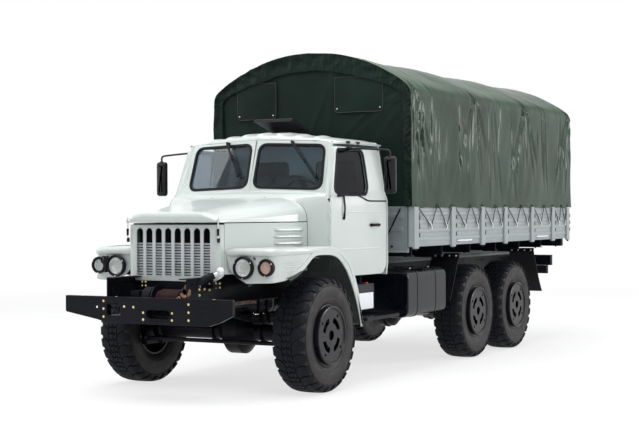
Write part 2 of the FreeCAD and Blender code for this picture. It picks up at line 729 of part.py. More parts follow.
def wheels():
    for side, hand in ((1, "left"), (-1, "right")):
        for place_name, y in (("front", D.front_axle_y), ("middle", D.middle_axle_y), ("rear", D.rear_axle_y)):
            tyre(f"{place_name}_{hand}_tyre", side, y)
            rim(f"{place_name}_{hand}_rim", side, y)


# ---------------------------------------------------------------- cab
def door_turn(shape):
    """Turn a piece drawn along Y so that it follows the cab side's taper."""
    run = float(D.door_rear_y - D.door_front_y)
    widen = float(D.cab_half_width - D.door_front_x)
    angle = -math.degrees(math.atan2(widen, run))
    shape.rotate(Vector(float(D.door_front_x), float(D.door_front_y), 0), Vector(0, 0, 1), angle)
    return shape


# side outline of the left door from its front foot round: (back from the door's front edge, z)
DOOR_LINE = ((0, 1310), (0, 1700), (60, 1800), (217, D.door_top), (1053, D.door_top), (1053, 1110), (983, 1040),
             (290, 1040), (252, 1108), (232, 1150), (205, 1208), (152, 1262), (100, 1288))
# the door window's opening, in the same terms
WINDOW_LINE = ((118, 1840), (275, 2262), (740, 2262), (740, 1840))
# the cab side's section: (inwards from the door's face, z)
SIDE_SECTION = ((12, 1030), (0, 1200), (0, 1790), (28, 1840), (105, 2345))


def side_skin(offset, wall):
    """The cab side's skin: a strip that leans in above the belt line, drawn the door's way."""
    x, y = mm(D.door_front_x, D.door_front_y)
    line = [(x - inwards - offset, z) for inwards, z in SIDE_SECTION]
    return prism("y", ribbon(line, -wall), y - 20, y + 1300)


# height limits of the door's two hinges
DOOR_HINGES = ((1390, 1450), (1600, 1660))


def hinge_barrel(radius, low, high):
    """A length of the left door's hinge barrel."""
    return Part.makeCylinder(float(radius), high - low, Vector(*mm(D.hinge_x, D.hinge_y, low)))


def door_panel():
    """Left door as a slab that follows the cab side, with its window cut."""
    y = float(D.door_front_y)
    outline = [(y + back, z) for back, z in DOOR_LINE]
    window = [(y + back, z) for back, z in WINDOW_LINE]
    slab = side_skin(0, float(D.cab_wall)).common(prism("x", outline, 700, 1100))
    slab = door_turn(slab.cut(prism("x", window, 700, 1100, radius=55)))
    for low, high in DOOR_HINGES:
        slab = slab.cut(hinge_barrel(D.hinge_radius + D.seat_gap, low - 1, high + 1))
    return slab


def door_glass():
    y = float(D.door_front_y)
    line = [(y + back, z) for back, z in WINDOW_LINE]
    pane = side_skin(18, float(D.glass_thickness)).common(prism("x", line, 700, 1100, radius=55))
    return door_turn(pane)


def mirror():
    """Left mirror head on a tube arm from the door's top frame."""
    x, y, z = mm(D.mirror_x, D.mirror_y, D.mirror_z)
    tube = 11
    head = prism("y", ((x - 62, z - 180), (x + 62, z - 180), (x + 62, z + 180), (x - 62, z + 180)),
                 y - 30, y + 20, radius=40)
    bend = (x, y, z + 230)
    root = (885, y, z + 260)
    shapes = [head, spar(root, bend, tube), spar((x, y, z + 150), bend, tube), Part.makeSphere(tube, Vector(*bend)),
              block((868, 905), (y - 48, y + 30), (z + 240, z + 280))]
    return joined(shapes).cut(door_panel())


def cab_floor():
    """Floor sheet on two cross sills that stand on the rails, with the sills beside the doors' feet."""
    rail_top = float(RAIL_TOP)
    rear = float(D.cab_rear_y - D.cab_wall - D.seat_gap)
    front = float(D.door_front_y + COWL_RUN + D.seat_gap)
    outer = float(D.cowl_rear_half) - 2
    shapes = [block((-outer, outer), (front, rear), (rail_top + 20, rail_top + 50))]
    for y in (1800, 2600):
        shapes.append(block((-850, 850), (y, y + 60), (rail_top, rail_top + 20)))
    for side in (-1, 1):
        strip_x = sorted((side * (outer - 68), side * outer))
        plate_x = sorted((side * (outer - 14), side * outer))
        shapes.append(block(strip_x, (front + 65, rear), (float(D.cab_floor_z), rail_top + 50)))
        shapes.append(block(plate_x, (front, front + 265), (rail_top + 20, 1290)))
    return feature("cab_floor", joined(shapes))


# how far behind the doors' front edge the cowl's top runs
COWL_RUN = 105
# half-sections of the cowl at the doors' front edge and at the windscreen's foot: (share of the half-width, z)
COWL_MIDDLE = ((1.0, 1568), (0.995, 1690), (0.973, 1770), (0.90, 1815), (0.43, 1838), (0.0, 1846))
COWL_REAR = ((1.0, 1568), (0.998, 1700), (0.989, 1790), (0.96, 1835), (0.48, 1872), (0.0, 1880))


def cowl_sections(shift=0.0):
    """Closed sections of the cowl, shrunk inwards by shift."""
    hood_y, hood_half, hood_top = mm(D.hood_rear_y + D.panel_gap, D.hood_rear_half, D.hood_rear_z)
    door_x, door_y, rear_half = mm(D.door_front_x, D.door_front_y, D.cowl_rear_half)
    foot = float(RAIL_TOP)
    front = hood_section(hood_y, hood_half, float(D.hood_seam_z), hood_top)
    rows = [(hood_half, front)]
    for half, y, shape in ((door_x, door_y - float(D.door_gap), COWL_MIDDLE), (rear_half, door_y + COWL_RUN, COWL_REAR)):
        left = [(half * across, y, z) for across, z in shape]
        rows.append((half, left + [(-x, y, z) for x, y, z in left[-2::-1]]))
    sections = []
    for half, arch in rows:
        y = arch[0][1]
        ring = [(half, y, foot)] + arch + [(-half, y, foot)]
        sections.append([(x * (1 - shift / half), y, z - (shift if z > foot else -shift)) for x, y, z in ring])
    return sections


def cab_front():
    """Cowl and bulkhead: a shell that widens from the hood to the doors, open to the cab, with the door hinges."""
    wall = float(D.panel_wall)
    inner = [[(x, y + back, z) for x, y, z in section]
             for section, back in zip(cowl_sections(wall), (wall, wall, 1))]
    shell = loft(cowl_sections()).cut(loft(inner))
    tunnel = block((-260, 260), (1500, 1900), (1000, 1180))
    door_x, door_y = mm(D.door_front_x - D.cab_wall - 8, D.door_front_y - D.door_gap)
    beside_door = block((door_x, 1100), (door_y, door_y + 200), (1000, 1900))
    shell = shell.cut(tunnel).cut(beside_door).cut(other_side(beside_door))
    hinge_x, hinge_y, radius = mm(D.hinge_x, D.hinge_y, D.hinge_radius)
    edge = float(D.door_front_y) - 1
    for low, high in DOOR_HINGES:
        leaf = block((hinge_x - 20, hinge_x + 5), (edge - 20, edge), (low, high))
        hinge = leaf.fuse(hinge_barrel(radius, low, high))
        shell = joined([shell, hinge, other_side(hinge)])
    return feature("cab_front", shell)


# corners of the left windscreen half: (x, y, z) at the centre and outer foot and the outer and centre head
SCREEN_CORNERS = ((0, 1722, 1885), (800, 1796, 1845), (775, 1966, 2338), (0, 1868, 2372))


def screen_plane():
    """The left windscreen half's plane: its origin and its across, up and normal directions."""
    origin, outer, head = (Vector(*SCREEN_CORNERS[index]) for index in (0, 1, 3))
    across = (outer - origin).normalize()
    up = head - origin
    up = (up - across * up.dot(across)).normalize()
    return origin, across, up, across.cross(up)


def screen_slab(corners, front, back, radius=0):
    """A slab in the windscreen's plane with corners (across, up), between two depths behind its face."""
    origin, across, up, normal = screen_plane()
    points = [origin + across * u + up * v - normal * front for u, v in corners]
    wire = round_wire(points, radius) if radius else Part.makePolygon(points + points[:1])
    return Part.Face(wire).extrude(-normal * (back - front))


def screen_points():
    origin, across, up, _ = screen_plane()
    spots = [Vector(*corner) - origin for corner in SCREEN_CORNERS]
    return [(spot.dot(across), spot.dot(up)) for spot in spots]


def pane_corners(inset):
    """The pane's corners, set in from the frame's edges."""
    (_, _), (foot_x, foot_z), (head_x, head_z), (_, centre_z) = screen_points()
    rim_width = 42 + inset
    return [(rim_width, rim_width - 12), (foot_x - rim_width, foot_z + rim_width),
            (head_x - rim_width, head_z - rim_width), (rim_width, centre_z - rim_width)]


def windscreen_frame():
    """Two flat frames meeting at the middle, with the posts beside them; its foot follows the cowl."""
    sill = 75
    (_, _), (foot_x, foot_z), head, centre = screen_points()
    corners = [(0, -sill), (foot_x, foot_z - sill), head, centre]
    left = screen_slab(corners, 0, 30).cut(screen_slab(pane_corners(0), -20, 60, radius=70))
    left = left.common(block((0.0, 1200), (1400, 2400), (1500, 2600)))
    foot = ((790, 1797), (886, 1733), (846, 1768), (794, 1835))
    top = ((766, 1966), (811, 1895), (785, 1948), (762, 2004))
    post = loft([[(x, y, z) for x, y in outline] for outline, z in ((foot, 1800), (foot, 1842), (top, 2322))])
    side = left.fuse(post)
    frame = side.fuse(other_side(side)).cut(loft(cowl_sections()))
    return feature("windscreen_frame", largest(frame.removeSplitter()))


def windscreen():
    """Two flat panes in the frames' openings."""
    pane = screen_slab(pane_corners(float(D.seat_gap)), 8, 8 + float(D.glass_thickness), radius=70)
    return feature("windscreen", pair(pane))


def door_posts():
    """The cab's side skins behind the doors."""
    half, wall = mm(D.cab_half_width, D.cab_wall)
    door_rear, rear, gap = mm(D.door_rear_y, D.cab_rear_y, D.door_gap)
    section = [(half - inwards, z) for inwards, z in SIDE_SECTION]
    skin = prism("y", ribbon(section, -wall), door_rear + gap, rear - wall)
    return pair(skin)


# the roof's section: (x, z above the roof's edge)
ROOF_LINE = ((-890, -5), (-850, 12), (-730, 40), (-430, 82), (0, 112), (430, 82), (730, 40), (850, 12), (890, -5))
# the roof's sections from front to rear: (back from its front edge, share of the width, share of the rise, thickness)
ROOF_RUN = ((0, 0.90, 0.60, 60), (90, 0.955, 0.82, 40), (300, 1.0, 1.0, 22), (890, 1.0, 0.95, 22))


def roof_shell():
    """The roof as an arched sheet that stays clear above the doors, its front edge in a flat V."""
    front, edge, floor = mm(D.roof_front_y, D.roof_edge_z, D.door_top + D.door_gap)
    crown = float(D.roof_crown_z - D.roof_edge_z) / 112
    sections = []
    for back, width, rise, thick in ROOF_RUN:
        top = [(x * width, front + back, edge + z * crown * rise) for x, z in ROOF_LINE]
        sections.append(top + [(x, y, max(z - thick, floor)) for x, y, z in reversed(top)])
    nose = prism("z", ((-1000, front - 100), (1000, front - 100), (1000, front + 126), (0, front + 5),
                       (-1000, front + 126)), 2200, 2500)
    return loft(sections).cut(nose)


def cab_roof():
    """An arched lid over the cab with the hatch's collar and hinge ears."""
    x, half, length = mm(D.hatch_x, D.hatch_half_width, D.hatch_length)
    roof = roof_shell().cut(windscreen_frame().Shape.translated(Vector(0, float(HALF), 0)))
    hatch_y = HATCH_HINGE_Y
    opening = block((x - half + 30, x + half - 30), (hatch_y - length + 30, hatch_y - 30), (2300, 2600))
    collar = block((x - half + 15, x + half - 15), (hatch_y - length + 15, hatch_y - 15), (2400, 2466))
    ears = []
    for side in (-1, 1):
        inner, outer = x + side * (HINGE_REACH - 28), x + side * (HINGE_REACH - 4)
        ears.append(spar((inner, hatch_y, HATCH_HINGE_Z), (outer, hatch_y, HATCH_HINGE_Z), 12))
        ears.append(block((min(inner, outer), max(inner, outer)), (hatch_y - 8, hatch_y + 8), (2430, HATCH_HINGE_Z)))
    bore = spar((x - 200, hatch_y, HATCH_HINGE_Z), (x + 200, hatch_y, HATCH_HINGE_Z),
                HINGE_PIN + float(D.running_gap))
    roof = joined([roof.fuse(collar).cut(opening)] + ears).cut(bore)
    return feature("cab_roof", roof)


HATCH_HINGE_Y = 2745
HATCH_HINGE_Z = 2478
HINGE_PIN = 8
HINGE_REACH = 130


def roof_hatch():
    """The hatch lid, standing open on its rear hinge."""
    x, half, length = mm(D.hatch_x, D.hatch_half_width, D.hatch_length)
    y, z = HATCH_HINGE_Y, HATCH_HINGE_Z
    lid = block((x - half, x + half), (y - length, y - 16), (z - 6, z + 16))
    lip = block((x - half, x + half), (y - length - 6, y - length + 4), (z - 20, z + 16))
    hinge_pin = spar((x - HINGE_REACH, y, z), (x + HINGE_REACH, y, z), HINGE_PIN)
    strap = block((x - HINGE_REACH + 40, x + HINGE_REACH - 40), (y - 20, y), (z - 6, z + 8))
    lid = joined([lid, lip, hinge_pin, strap])
    lid.rotate(Vector(0, y, z), Vector(1, 0, 0), -float(D.hatch_open_angle))
    return feature("roof_hatch", lid)


def cab_rear_wall():
    """Rear wall with two windows, its side skins, and notches over the rails, up to the roof's underside."""
    rear, wall = mm(D.cab_rear_y, D.cab_wall)
    section = [(float(D.cab_half_width) - inwards - 1, z) for inwards, z in SIDE_SECTION]
    outline = section + [(430, 2420), (-430, 2420)] + [(-x, z) for x, z in reversed(section)]
    panel = prism("y", outline, rear - wall, rear)
    window = prism("y", ((150, 1880), (640, 1880), (640, 2200), (150, 2200)), rear - 100, rear + 50, radius=60)
    panel = panel.cut(window).cut(other_side(window))
    inner, outer, rail_top = mm(D.rail_outer - D.rail_flange - D.seat_gap, D.rail_outer + D.seat_gap, RAIL_TOP)
    notch = block((inner, outer), (rear - 100, rear + 50), (1000, rail_top))
    whole = joined([panel] + door_posts().Solids).cut(notch).cut(other_side(notch))
    return feature("cab_rear_wall", largest(whole.cut(roof_shell())))


def dashboard():
    line = ((1640, 1480), (1640, 1700), (1700, 1790), (1900, 1790), (1990, 1730), (1990, 1640), (1900, 1480))
    panel = prism("x", line, -840, 840)
    wheel_x, wheel_y, wheel_z = STEERING_CENTRE
    far_end = (wheel_x, wheel_y - 500 * COLUMN_RUN[0], wheel_z - 500 * COLUMN_RUN[1])
    start = 40 + float(D.seat_gap)
    column = spar((wheel_x, wheel_y - start * COLUMN_RUN[0], wheel_z - start * COLUMN_RUN[1]), far_end, 26)
    whole = joined([panel, column])
    for neighbour in (cab_front(), windscreen_frame()):
        whole = whole.cut(neighbour.Shape.translated(Vector(0, float(HALF), 0)))
    return feature("dashboard", largest(whole))


STEERING_CENTRE = (450, 2095, 1815)
COLUMN_RUN = (math.sin(math.radians(50)), math.cos(math.radians(50)))


def steering_wheel():
    """Rim, two spokes and hub, square to the raked column."""
    hub = Part.makeCylinder(36, 40, Vector(0, 0, -40))
    ring = Part.makeTorus(215, 14)
    spokes = [block((-212, 212), (-11, 11), (-18, -4)), block((-11, 11), (-212, 11), (-18, -4))]
    wheel = joined([ring, hub] + spokes)
    wheel.rotate(Vector(), Vector(1, 0, 0), -50)
    wheel.translate(Vector(*STEERING_CENTRE))
    return feature("steering_wheel", wheel)


def seats():
    """Driver's seat and the double passenger seat on their boxes."""
    shapes = []
    floor = float(RAIL_TOP) + 50
    for x_low, x_high in ((210, 700), (-740, 130)):
        base = block((x_low + 40, x_high - 40), (2240, 2660), (floor, 1400))
        cushion = block((x_low, x_high), (2190, 2700), (1400, 1520))
        back = prism("x", ((2590, 1520), (2700, 1520), (2775, 2060), (2695, 2070)), x_low, x_high)
        shapes.append(joined([base, cushion, back]))
    return feature("seats", Part.makeCompound(shapes))


# ---------------------------------------------------------------- bed and canvas
POST_PLACES = (60, 1010, 1850, 2560, 3460, 4220, 4790)


def bed_floor():
    """Floor on cross bearers and two long bearers that lie on the rails, with the front sill."""
    half = D.bed_half_width - D.bed_wall - D.panel_gap
    front = D.bed_front_y + D.bed_wall + D.seat_gap
    rear = BED_REAR - 45
    reach = D.bed_half_width - 10
    low = D.bed_floor_z - D.bed_floor_depth
    parts = [box("bed_sheet", (-half, half), (front, rear), (low, D.bed_floor_z))]
    for side in (-1, 1):
        inner, outer = (D.rail_outer - D.rail_flange) * side, D.rail_outer * side
        limits_x = (inner, outer) if side > 0 else (outer, inner)
        parts.append(box(f"long_bearer_{side + 1}", limits_x, (front, rear), (RAIL_TOP, RAIL_TOP + 110)))
    for index in range(7):
        start = front + 40 + (D.bed_length - 240) * (index / 6)
        parts.append(box(f"bearer_{index}", (-reach, reach), (start, start + 70), (RAIL_TOP + 110, low)))
    parts.append(box("rear_sill", (-half, half), (rear - 50, rear), (RAIL_TOP + 110, low)))
    for index, x in enumerate((-800, -30, 740)):
        limits_z = (low - 60, low - D.seat_gap)
        parts.append(box(f"hinge_lug_{index}", (x, x + 60), (rear - 10, BED_REAR - 5), limits_z))
    return fuse("bed_floor", parts)


def bed_walls():
    """Fixed headboard and the two side boards with their posts."""
    half, wall, gap = mm(D.bed_half_width, D.bed_wall, D.panel_gap)
    front, rear, top = mm(D.bed_front_y, BED_REAR, D.bed_wall_top)
    low = float(D.bed_floor_z - D.bed_floor_depth)
    head = block((-half + wall + gap, half - wall - gap), (front, front + wall), (low - 60, top))
    board = block((half - wall, half), (front, rear), (low, top))
    posts = []
    depth, width = mm(D.post_depth, D.post_width)
    for place_y in POST_PLACES:
        start = front + place_y - width / 2
        posts.append(block((half - 5, half + depth), (max(start, front), start + width), (low - 20, top)))
    side = joined([board] + posts)
    return feature("bed_walls", Part.makeCompound([head, side, other_side(side)]))


def tailgate():
    """Drop board between the rear posts, hinged along its outer lower edge."""
    half = D.bed_half_width - D.bed_wall - D.tailgate_gap
    low = D.bed_floor_z - D.bed_floor_depth
    return box("tailgate", (-half, half), (BED_REAR - 40, BED_REAR), (low, D.bed_wall_top))


def arch_line(half, eave, peak, count=12):
    """Points of the canvas arch from the right eave over the top to the left eave."""
    rise = peak - eave
    radius = (half * half + rise * rise) / (2 * rise)
    sweep = math.asin(half / radius)
    line = []
    for index in range(count + 1):
        angle = -sweep + 2 * sweep * index / count
        line.append((radius * math.sin(angle), peak - radius + radius * math.cos(angle)))
    return line


def canvas_line(foot):
    """The cover's outer section from one lower edge over the top to the other."""
    half, eave, peak = mm(D.bed_half_width + D.canvas_stand_out, D.eave_z, D.canvas_peak_z)
    foot = float(foot)
    return [(-half, foot)] + arch_line(half, eave, peak) + [(half, foot)]


def canvas_top():
    """The cover's roof and hanging sides as one arched wall, open at the rear."""
    cover = prism("y", ribbon(canvas_line(D.canvas_hem_z), D.canvas_wall), D.canvas_front_y, OVERALL)
    return feature("canvas_top", cover)


def canvas_front():
    """The cover's front wall, inside the arch."""
    line = parallel(canvas_line(D.canvas_hem_z), D.canvas_wall + D.seat_gap)
    front = float(D.bed_front_y)
    return feature("canvas_front", prism("y", line, front - 6, front + 4))


def canvas_bows():
    """Four tube bows with legs on the side boards, and a ridge tube between them."""
    inset = float(D.canvas_wall + D.seat_gap)
    radius = float(D.bow_radius)
    line = canvas_line(D.bed_wall_top)
    outline = parallel(line, inset) + parallel(line, inset + 2 * radius)[::-1]
    front, rear = mm(D.bed_front_y, BED_REAR)
    pitch = (rear - front - 2 * radius - 30) / 3
    bows = [prism("y", outline, front + 10 + pitch * index, front + 10 + pitch * index + 2 * radius)
            for index in range(4)]
    ridge_top = float(D.canvas_peak_z) - inset - 6
    ridge = block((-radius, radius), (front + 10, rear - 20), (ridge_top - 2 * radius + 4, ridge_top))
    return feature("canvas_bows", joined(bows + [ridge]))


def benches():
    """Slatted side benches on legs."""
    half, wall, width = mm(D.bed_half_width, D.bed_wall, D.bench_width)
    floor, height = mm(D.bed_floor_z, D.bench_height)
    front, rear = mm(D.bed_front_y + 200, BED_REAR - 250)
    outer = half - wall - 30
    shapes = [block((outer - width, outer), (front, rear), (floor + height, floor + height + 30))]
    count = 5
    for index in range(count):
        y = front + 60 + (rear - front - 180) * index / (count - 1)
        shapes.append(block((outer - width + 60, outer - width + 100), (y, y + 60), (floor, floor + height)))
        shapes.append(block((outer - 60, outer - 20), (y, y + 60), (floor, floor + height)))
    return feature("benches", pair(joined(shapes)))


# ---------------------------------------------------------------- under the body
def fuel_tanks():
    """Round-edged tanks on brackets from the rails, with two straps each."""
    x_low, x_high, low, top = mm(D.rail_outer + D.tank_gap, D.tank_outer, D.tank_bottom, D.tank_top)
    front, length, radius = mm(D.tank_front_y, D.tank_length, D.tank_round)
    outline = ((x_low, low), (x_high, low), (x_high, top), (x_low, top))
    tank = prism("y", outline, front, front + length, radius=radius)
    grown = ((x_low - 5, low - 5), (x_high + 5, low - 5), (x_high + 5, top + 5), (x_low - 5, top + 5))
    shapes = [tank]
    rail_x = float(D.rail_outer)
    for y in (front + 280, front + 780):
        shapes.append(prism("y", grown, y, y + 60, radius=radius + 5))
        shapes.append(block((rail_x, x_low + 30), (y - 10, y + 70), (900, 1040)))
    return feature("fuel_tanks", pair(joined(shapes)))


def battery_box():
    """Battery box on the left rail and the reserve-air box opposite."""
    rail_x = float(D.rail_outer)
    shape = joined([block((rail_x + 60, 950), (2150, 2560), (690, 950)),
                    block((rail_x, rail_x + 70), (2250, 2460), (860, 940))])
    return feature("battery_box", shape)


def side_steps():
    """Foot plates below the doors on hangers from the rails."""
    z = float(D.step_z)
    rail_x = float(D.rail_outer)
    plate = block((690, 1100), (2105, 2850), (z, z + 40))
    hangers = [block((rail_x, 760), (y, y + 50), (z, z + 40)) for y in (2590, 2760)]
    drops = [block((rail_x, rail_x + 25), (y, y + 50), (z, 1000)) for y in (2590, 2760)]
    return feature("side_steps", pair(joined([plate] + hangers + drops)))


def air_tanks():
    """Two reservoirs across the frame behind the bogie."""
    reach = D.rail_outer - D.rail_web
    tanks = [rod(f"reservoir_{index}", "x", (-reach, y, 980), 95, reach * 2) for index, y in enumerate((7080, 7340))]
    return fuse("air_tanks", tanks)


def exhaust():
    """Pipe from the engine's right side to a round silencer and a side outlet."""
    rail_x = float(D.rail_outer)
    x = -float(D.rail_outer + D.silencer_gap + D.silencer_radius)
    shapes = [spar((x, 2150, 790), (x, 2780, 790), float(D.silencer_radius)),
              block((-rail_x - 60, -rail_x), (2300, 2360), (860, 940)),
              block((-rail_x - 60, -rail_x), (2520, 2570), (860, 940)),
              spar((x, 1700, 790), (x, 2150, 790), 38), spar((x, 1720, 790), (-275, 1400, 790), 38),
              spar((x, 2780, 790), (x, 2900, 790), 38), spar((x, 2900, 790), (-980, 2960, 790), 38)]
    block_room = block((-ENGINE_HALF, ENGINE_HALF), ENGINE_RUN, ENGINE_RISE)
    return feature("exhaust", joined(shapes).cut(block_room))


def mudflaps():
    """Rubber flaps before and behind the bogie's wheels, hung from the bed."""
    middle, rear = mm(D.middle_axle_y, D.rear_axle_y)
    hang = float(RAIL_TOP + 110)
    strips = (((middle - 500, hang), (middle - 560, 1080), (middle - 760, 690)),
              ((rear + 640, hang), (rear + 700, 1050), (rear + 940, 640)))
    x_low, x_high = float(TYRE_INNER) - 10, 1120
    flaps = [prism("x", ribbon(line, 8), x_low, x_high) for line in strips]
    bars = [block((float(D.rail_outer), x_high), (line[0][0] - 20, line[0][0] + 28), (hang - 45, hang - 1))
            for line in strips]
    shapes = [flap.fuse(bar).removeSplitter() for flap, bar in zip(flaps, bars)]
    return feature("mudflaps", Part.makeCompound(shapes + [other_side(shape) for shape in shapes]))


def rear_beam():
    """Bumper beam across the rail ends, with a two-eared pintle below it."""
    half = float(D.beam_half_width)
    z = float(D.hitch_z)
    beam_y = float(D.rail_rear)
    end = float(OVERALL) - 5
    ears = [block((-65, 65), (beam_y, end), (z + low, z + low + 25)) for low in (-62, 37)]
    web = block((-65, 65), (beam_y, beam_y + 30), (z - 62, z + 62))
    beam_low = float(D.beam_bottom)
    beam = block((-half, half), (beam_y, beam_y + 80), (beam_low, beam_low + 140))
    hanger = block((-90, 90), (beam_y, beam_y + 30), (z, beam_low))
    bore = Part.makeCylinder(float(D.hitch_bore_radius), 300, Vector(0, end - 55, z - 150))
    return feature("rear_beam", joined([beam, web, hanger] + ears).cut(bore))


# ---------------------------------------------------------------- assembly
def build():
    for name, maker in (("frame_rails", frame_rails), ("crossmembers", crossmembers),
                        ("front_bumper", front_bumper), ("winch", winch), ("grille", grille),
                        ("radiator", radiator), ("engine", engine), ("driveline", driveline),
                        ("front_axle", front_axle), ("rear_axles", rear_axles), ("suspension", suspension),
                        ("tie_rod", tie_rod), ("hood", hood), ("hood_sides", hood_sides),
                        ("fenders", fenders), ("lamps", front_lamps_and_tail_lamps),
                        ("cab_floor", cab_floor), ("cab_front", cab_front),
                        ("windscreen_frame", windscreen_frame), ("windscreen", windscreen),
                        ("cab_roof", cab_roof), ("roof_hatch", roof_hatch),
                        ("cab_rear_wall", cab_rear_wall), ("dashboard", dashboard),
                        ("steering_wheel", steering_wheel), ("seats", seats), ("bed_floor", bed_floor),
                        ("bed_walls", bed_walls), ("tailgate", tailgate), ("canvas_top", canvas_top),
                        ("canvas_front", canvas_front), ("canvas_bows", canvas_bows), ("benches", benches),
                        ("fuel_tanks", fuel_tanks), ("battery_box", battery_box),
                        ("side_steps", side_steps), ("air_tanks", air_tanks), ("exhaust", exhaust),
                        ("mudflaps", mudflaps), ("rear_beam", rear_beam)):
        node(name, maker())
    for name, shape in (("knuckle", knuckle()), ("door", door_panel()), ("door_glass", door_glass()),
                        ("mirror", mirror())):
        node("left_" + name, feature("left_" + name, shape))
        node("right_" + name, feature("right_" + name, other_side(shape)))
    wheels()


def check_and_export():
    """Stop on any failed object, then write each node's solid."""
    doc.recompute()
    failed = [item.Name for item in doc.Objects if "Invalid" in item.State or "Error" in item.State]
    bad = [name for name, item in NODES.items() if item.Shape.isNull() or not item.Shape.isValid()]
    if failed or bad:
        raise RuntimeError(f"failed objects {failed}, bad shapes {bad}")
    os.makedirs("parts", exist_ok=True)
    for name, item in NODES.items():
        item.Shape.exportStep(os.path.join("parts", name + ".step"))


build()
check_and_export()
print(len(NODES), "nodes")
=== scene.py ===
"""Looks of the cargo truck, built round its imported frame. Metres, front towards -Y, +X the truck's left."""
import math
import bmesh
import bpy
import numpy as np
from mathutils import Matrix, Vector, geometry, noise


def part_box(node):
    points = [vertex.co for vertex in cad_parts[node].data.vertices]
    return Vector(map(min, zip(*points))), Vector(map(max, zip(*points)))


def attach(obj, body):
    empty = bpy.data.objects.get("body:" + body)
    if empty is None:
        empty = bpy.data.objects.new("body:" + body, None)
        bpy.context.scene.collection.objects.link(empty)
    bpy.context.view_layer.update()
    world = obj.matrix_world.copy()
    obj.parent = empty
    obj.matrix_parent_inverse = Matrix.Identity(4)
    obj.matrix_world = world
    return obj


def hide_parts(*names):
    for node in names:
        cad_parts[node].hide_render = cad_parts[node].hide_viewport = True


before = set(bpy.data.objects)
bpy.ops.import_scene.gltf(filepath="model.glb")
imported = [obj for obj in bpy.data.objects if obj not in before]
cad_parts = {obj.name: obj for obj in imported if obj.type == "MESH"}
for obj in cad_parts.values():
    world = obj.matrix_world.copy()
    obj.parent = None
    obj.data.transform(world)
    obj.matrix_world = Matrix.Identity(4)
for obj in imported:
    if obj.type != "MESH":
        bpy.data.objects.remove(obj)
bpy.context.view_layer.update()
BUMPER_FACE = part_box("front_bumper")[0].y
SMOOTH_ANGLE = math.radians(38)
LEFTWARDS, BACKWARDS, UPWARDS = (1, 0, 0), (0, 1, 0), (0, 0, 1)
# shared places: the axles and the bogie's pivot in metres back from the bumper's face, the others as x or z
FRONT_AXLE, MIDDLE_AXLE, REAR_AXLE, BOGIE_PIVOT = 1.315, 4.825, 6.045, 5.435
AXLE_Z = 0.53
RAIL_SIDE = 0.43


def yy(back):
    """The y of a place counted in metres back from the bumper's face."""
    return BUMPER_FACE + back


def spots(*places):
    """Points given as (x, back from the bumper, z)."""
    return [(x, yy(back), z) for x, back, z in places]


# ------------------------------------------------------------------ materials
def feed(tree, socket, value):
    """Give a socket a plain value, or link another socket to it."""
    if isinstance(value, bpy.types.NodeSocket):
        tree.links.new(value, socket)
    else:
        socket.default_value = value


def add_node(tree, kind, **inputs):
    """A new shader node; an input's name has _ for each space."""
    node = tree.nodes.new(f"ShaderNode{kind}")
    for name, value in inputs.items():
        feed(tree, node.inputs[name.replace("_", " ")], value)
    return node


def calculate(tree, operation, first, second):
    """The result of a sum on two values or sockets."""
    node = add_node(tree, "Math")
    node.operation = operation
    for socket, value in zip(node.inputs, (first, second)):
        feed(tree, socket, value)
    return node.outputs[0]


def shader(name, **inputs):
    """A new material, its node tree and its Principled shader."""
    mat = bpy.data.materials.new(name)
    mat.use_nodes = True
    tree = mat.node_tree
    bsdf = tree.nodes["Principled BSDF"]
    for key, value in inputs.items():
        feed(tree, bsdf.inputs[key.replace("_", " ")], value)
    return mat, tree, bsdf


def coordinates(tree, scale=(1, 1, 1)):
    place = add_node(tree, "TexCoord").outputs["Object"]
    return add_node(tree, "Mapping", Vector=place, Scale=scale).outputs["Vector"]


def spread(tree, value, **levels):
    """A value carried from one range, From_Min to From_Max, to another."""
    return add_node(tree, "MapRange", Value=value, **levels).outputs["Result"]


def noise_factor(tree, scale, detail=4.0, vector=None, kind="FBM", low=0.35, high=0.65):
    """A noise texture spread between two levels, as a 0 to 1 factor."""
    texture = add_node(tree, "TexNoise")
    texture.noise_type = kind
    for name, value in (("Scale", scale), ("Detail", detail), ("Vector", vector or coordinates(tree))):
        feed(tree, texture.inputs[name], value)
    return spread(tree, texture.outputs["Fac"], From_Min=low, From_Max=high)


def waves(tree, scale, vector):
    return add_node(tree, "TexWave", Scale=scale, Vector=vector)


def mix_colours(tree, factor, first, second):
    """Mix two colours, each a socket or a plain (r, g, b)."""
    node = add_node(tree, "Mix")
    node.data_type = "RGBA"
    feed(tree, node.inputs["Factor"], factor)
    for socket, colour in ((node.inputs[6], first), (node.inputs[7], second)):
        feed(tree, socket, (*colour, 1) if isinstance(colour, tuple) else colour)
    return node.outputs[2]


def add_bump(tree, bsdf, height, strength, distance, previous=None):
    """Bump a shader by a height, on top of an earlier bump if there is one."""
    bump = add_node(tree, "Bump", Strength=strength, Distance=distance, Height=height)
    if previous:
        feed(tree, bump.inputs["Normal"], previous)
    feed(tree, bsdf.inputs["Normal"], bump.outputs["Normal"])
    return bump.outputs["Normal"]


def tinted(colour, amount):
    return tuple(min(1.0, channel * amount) for channel in colour)


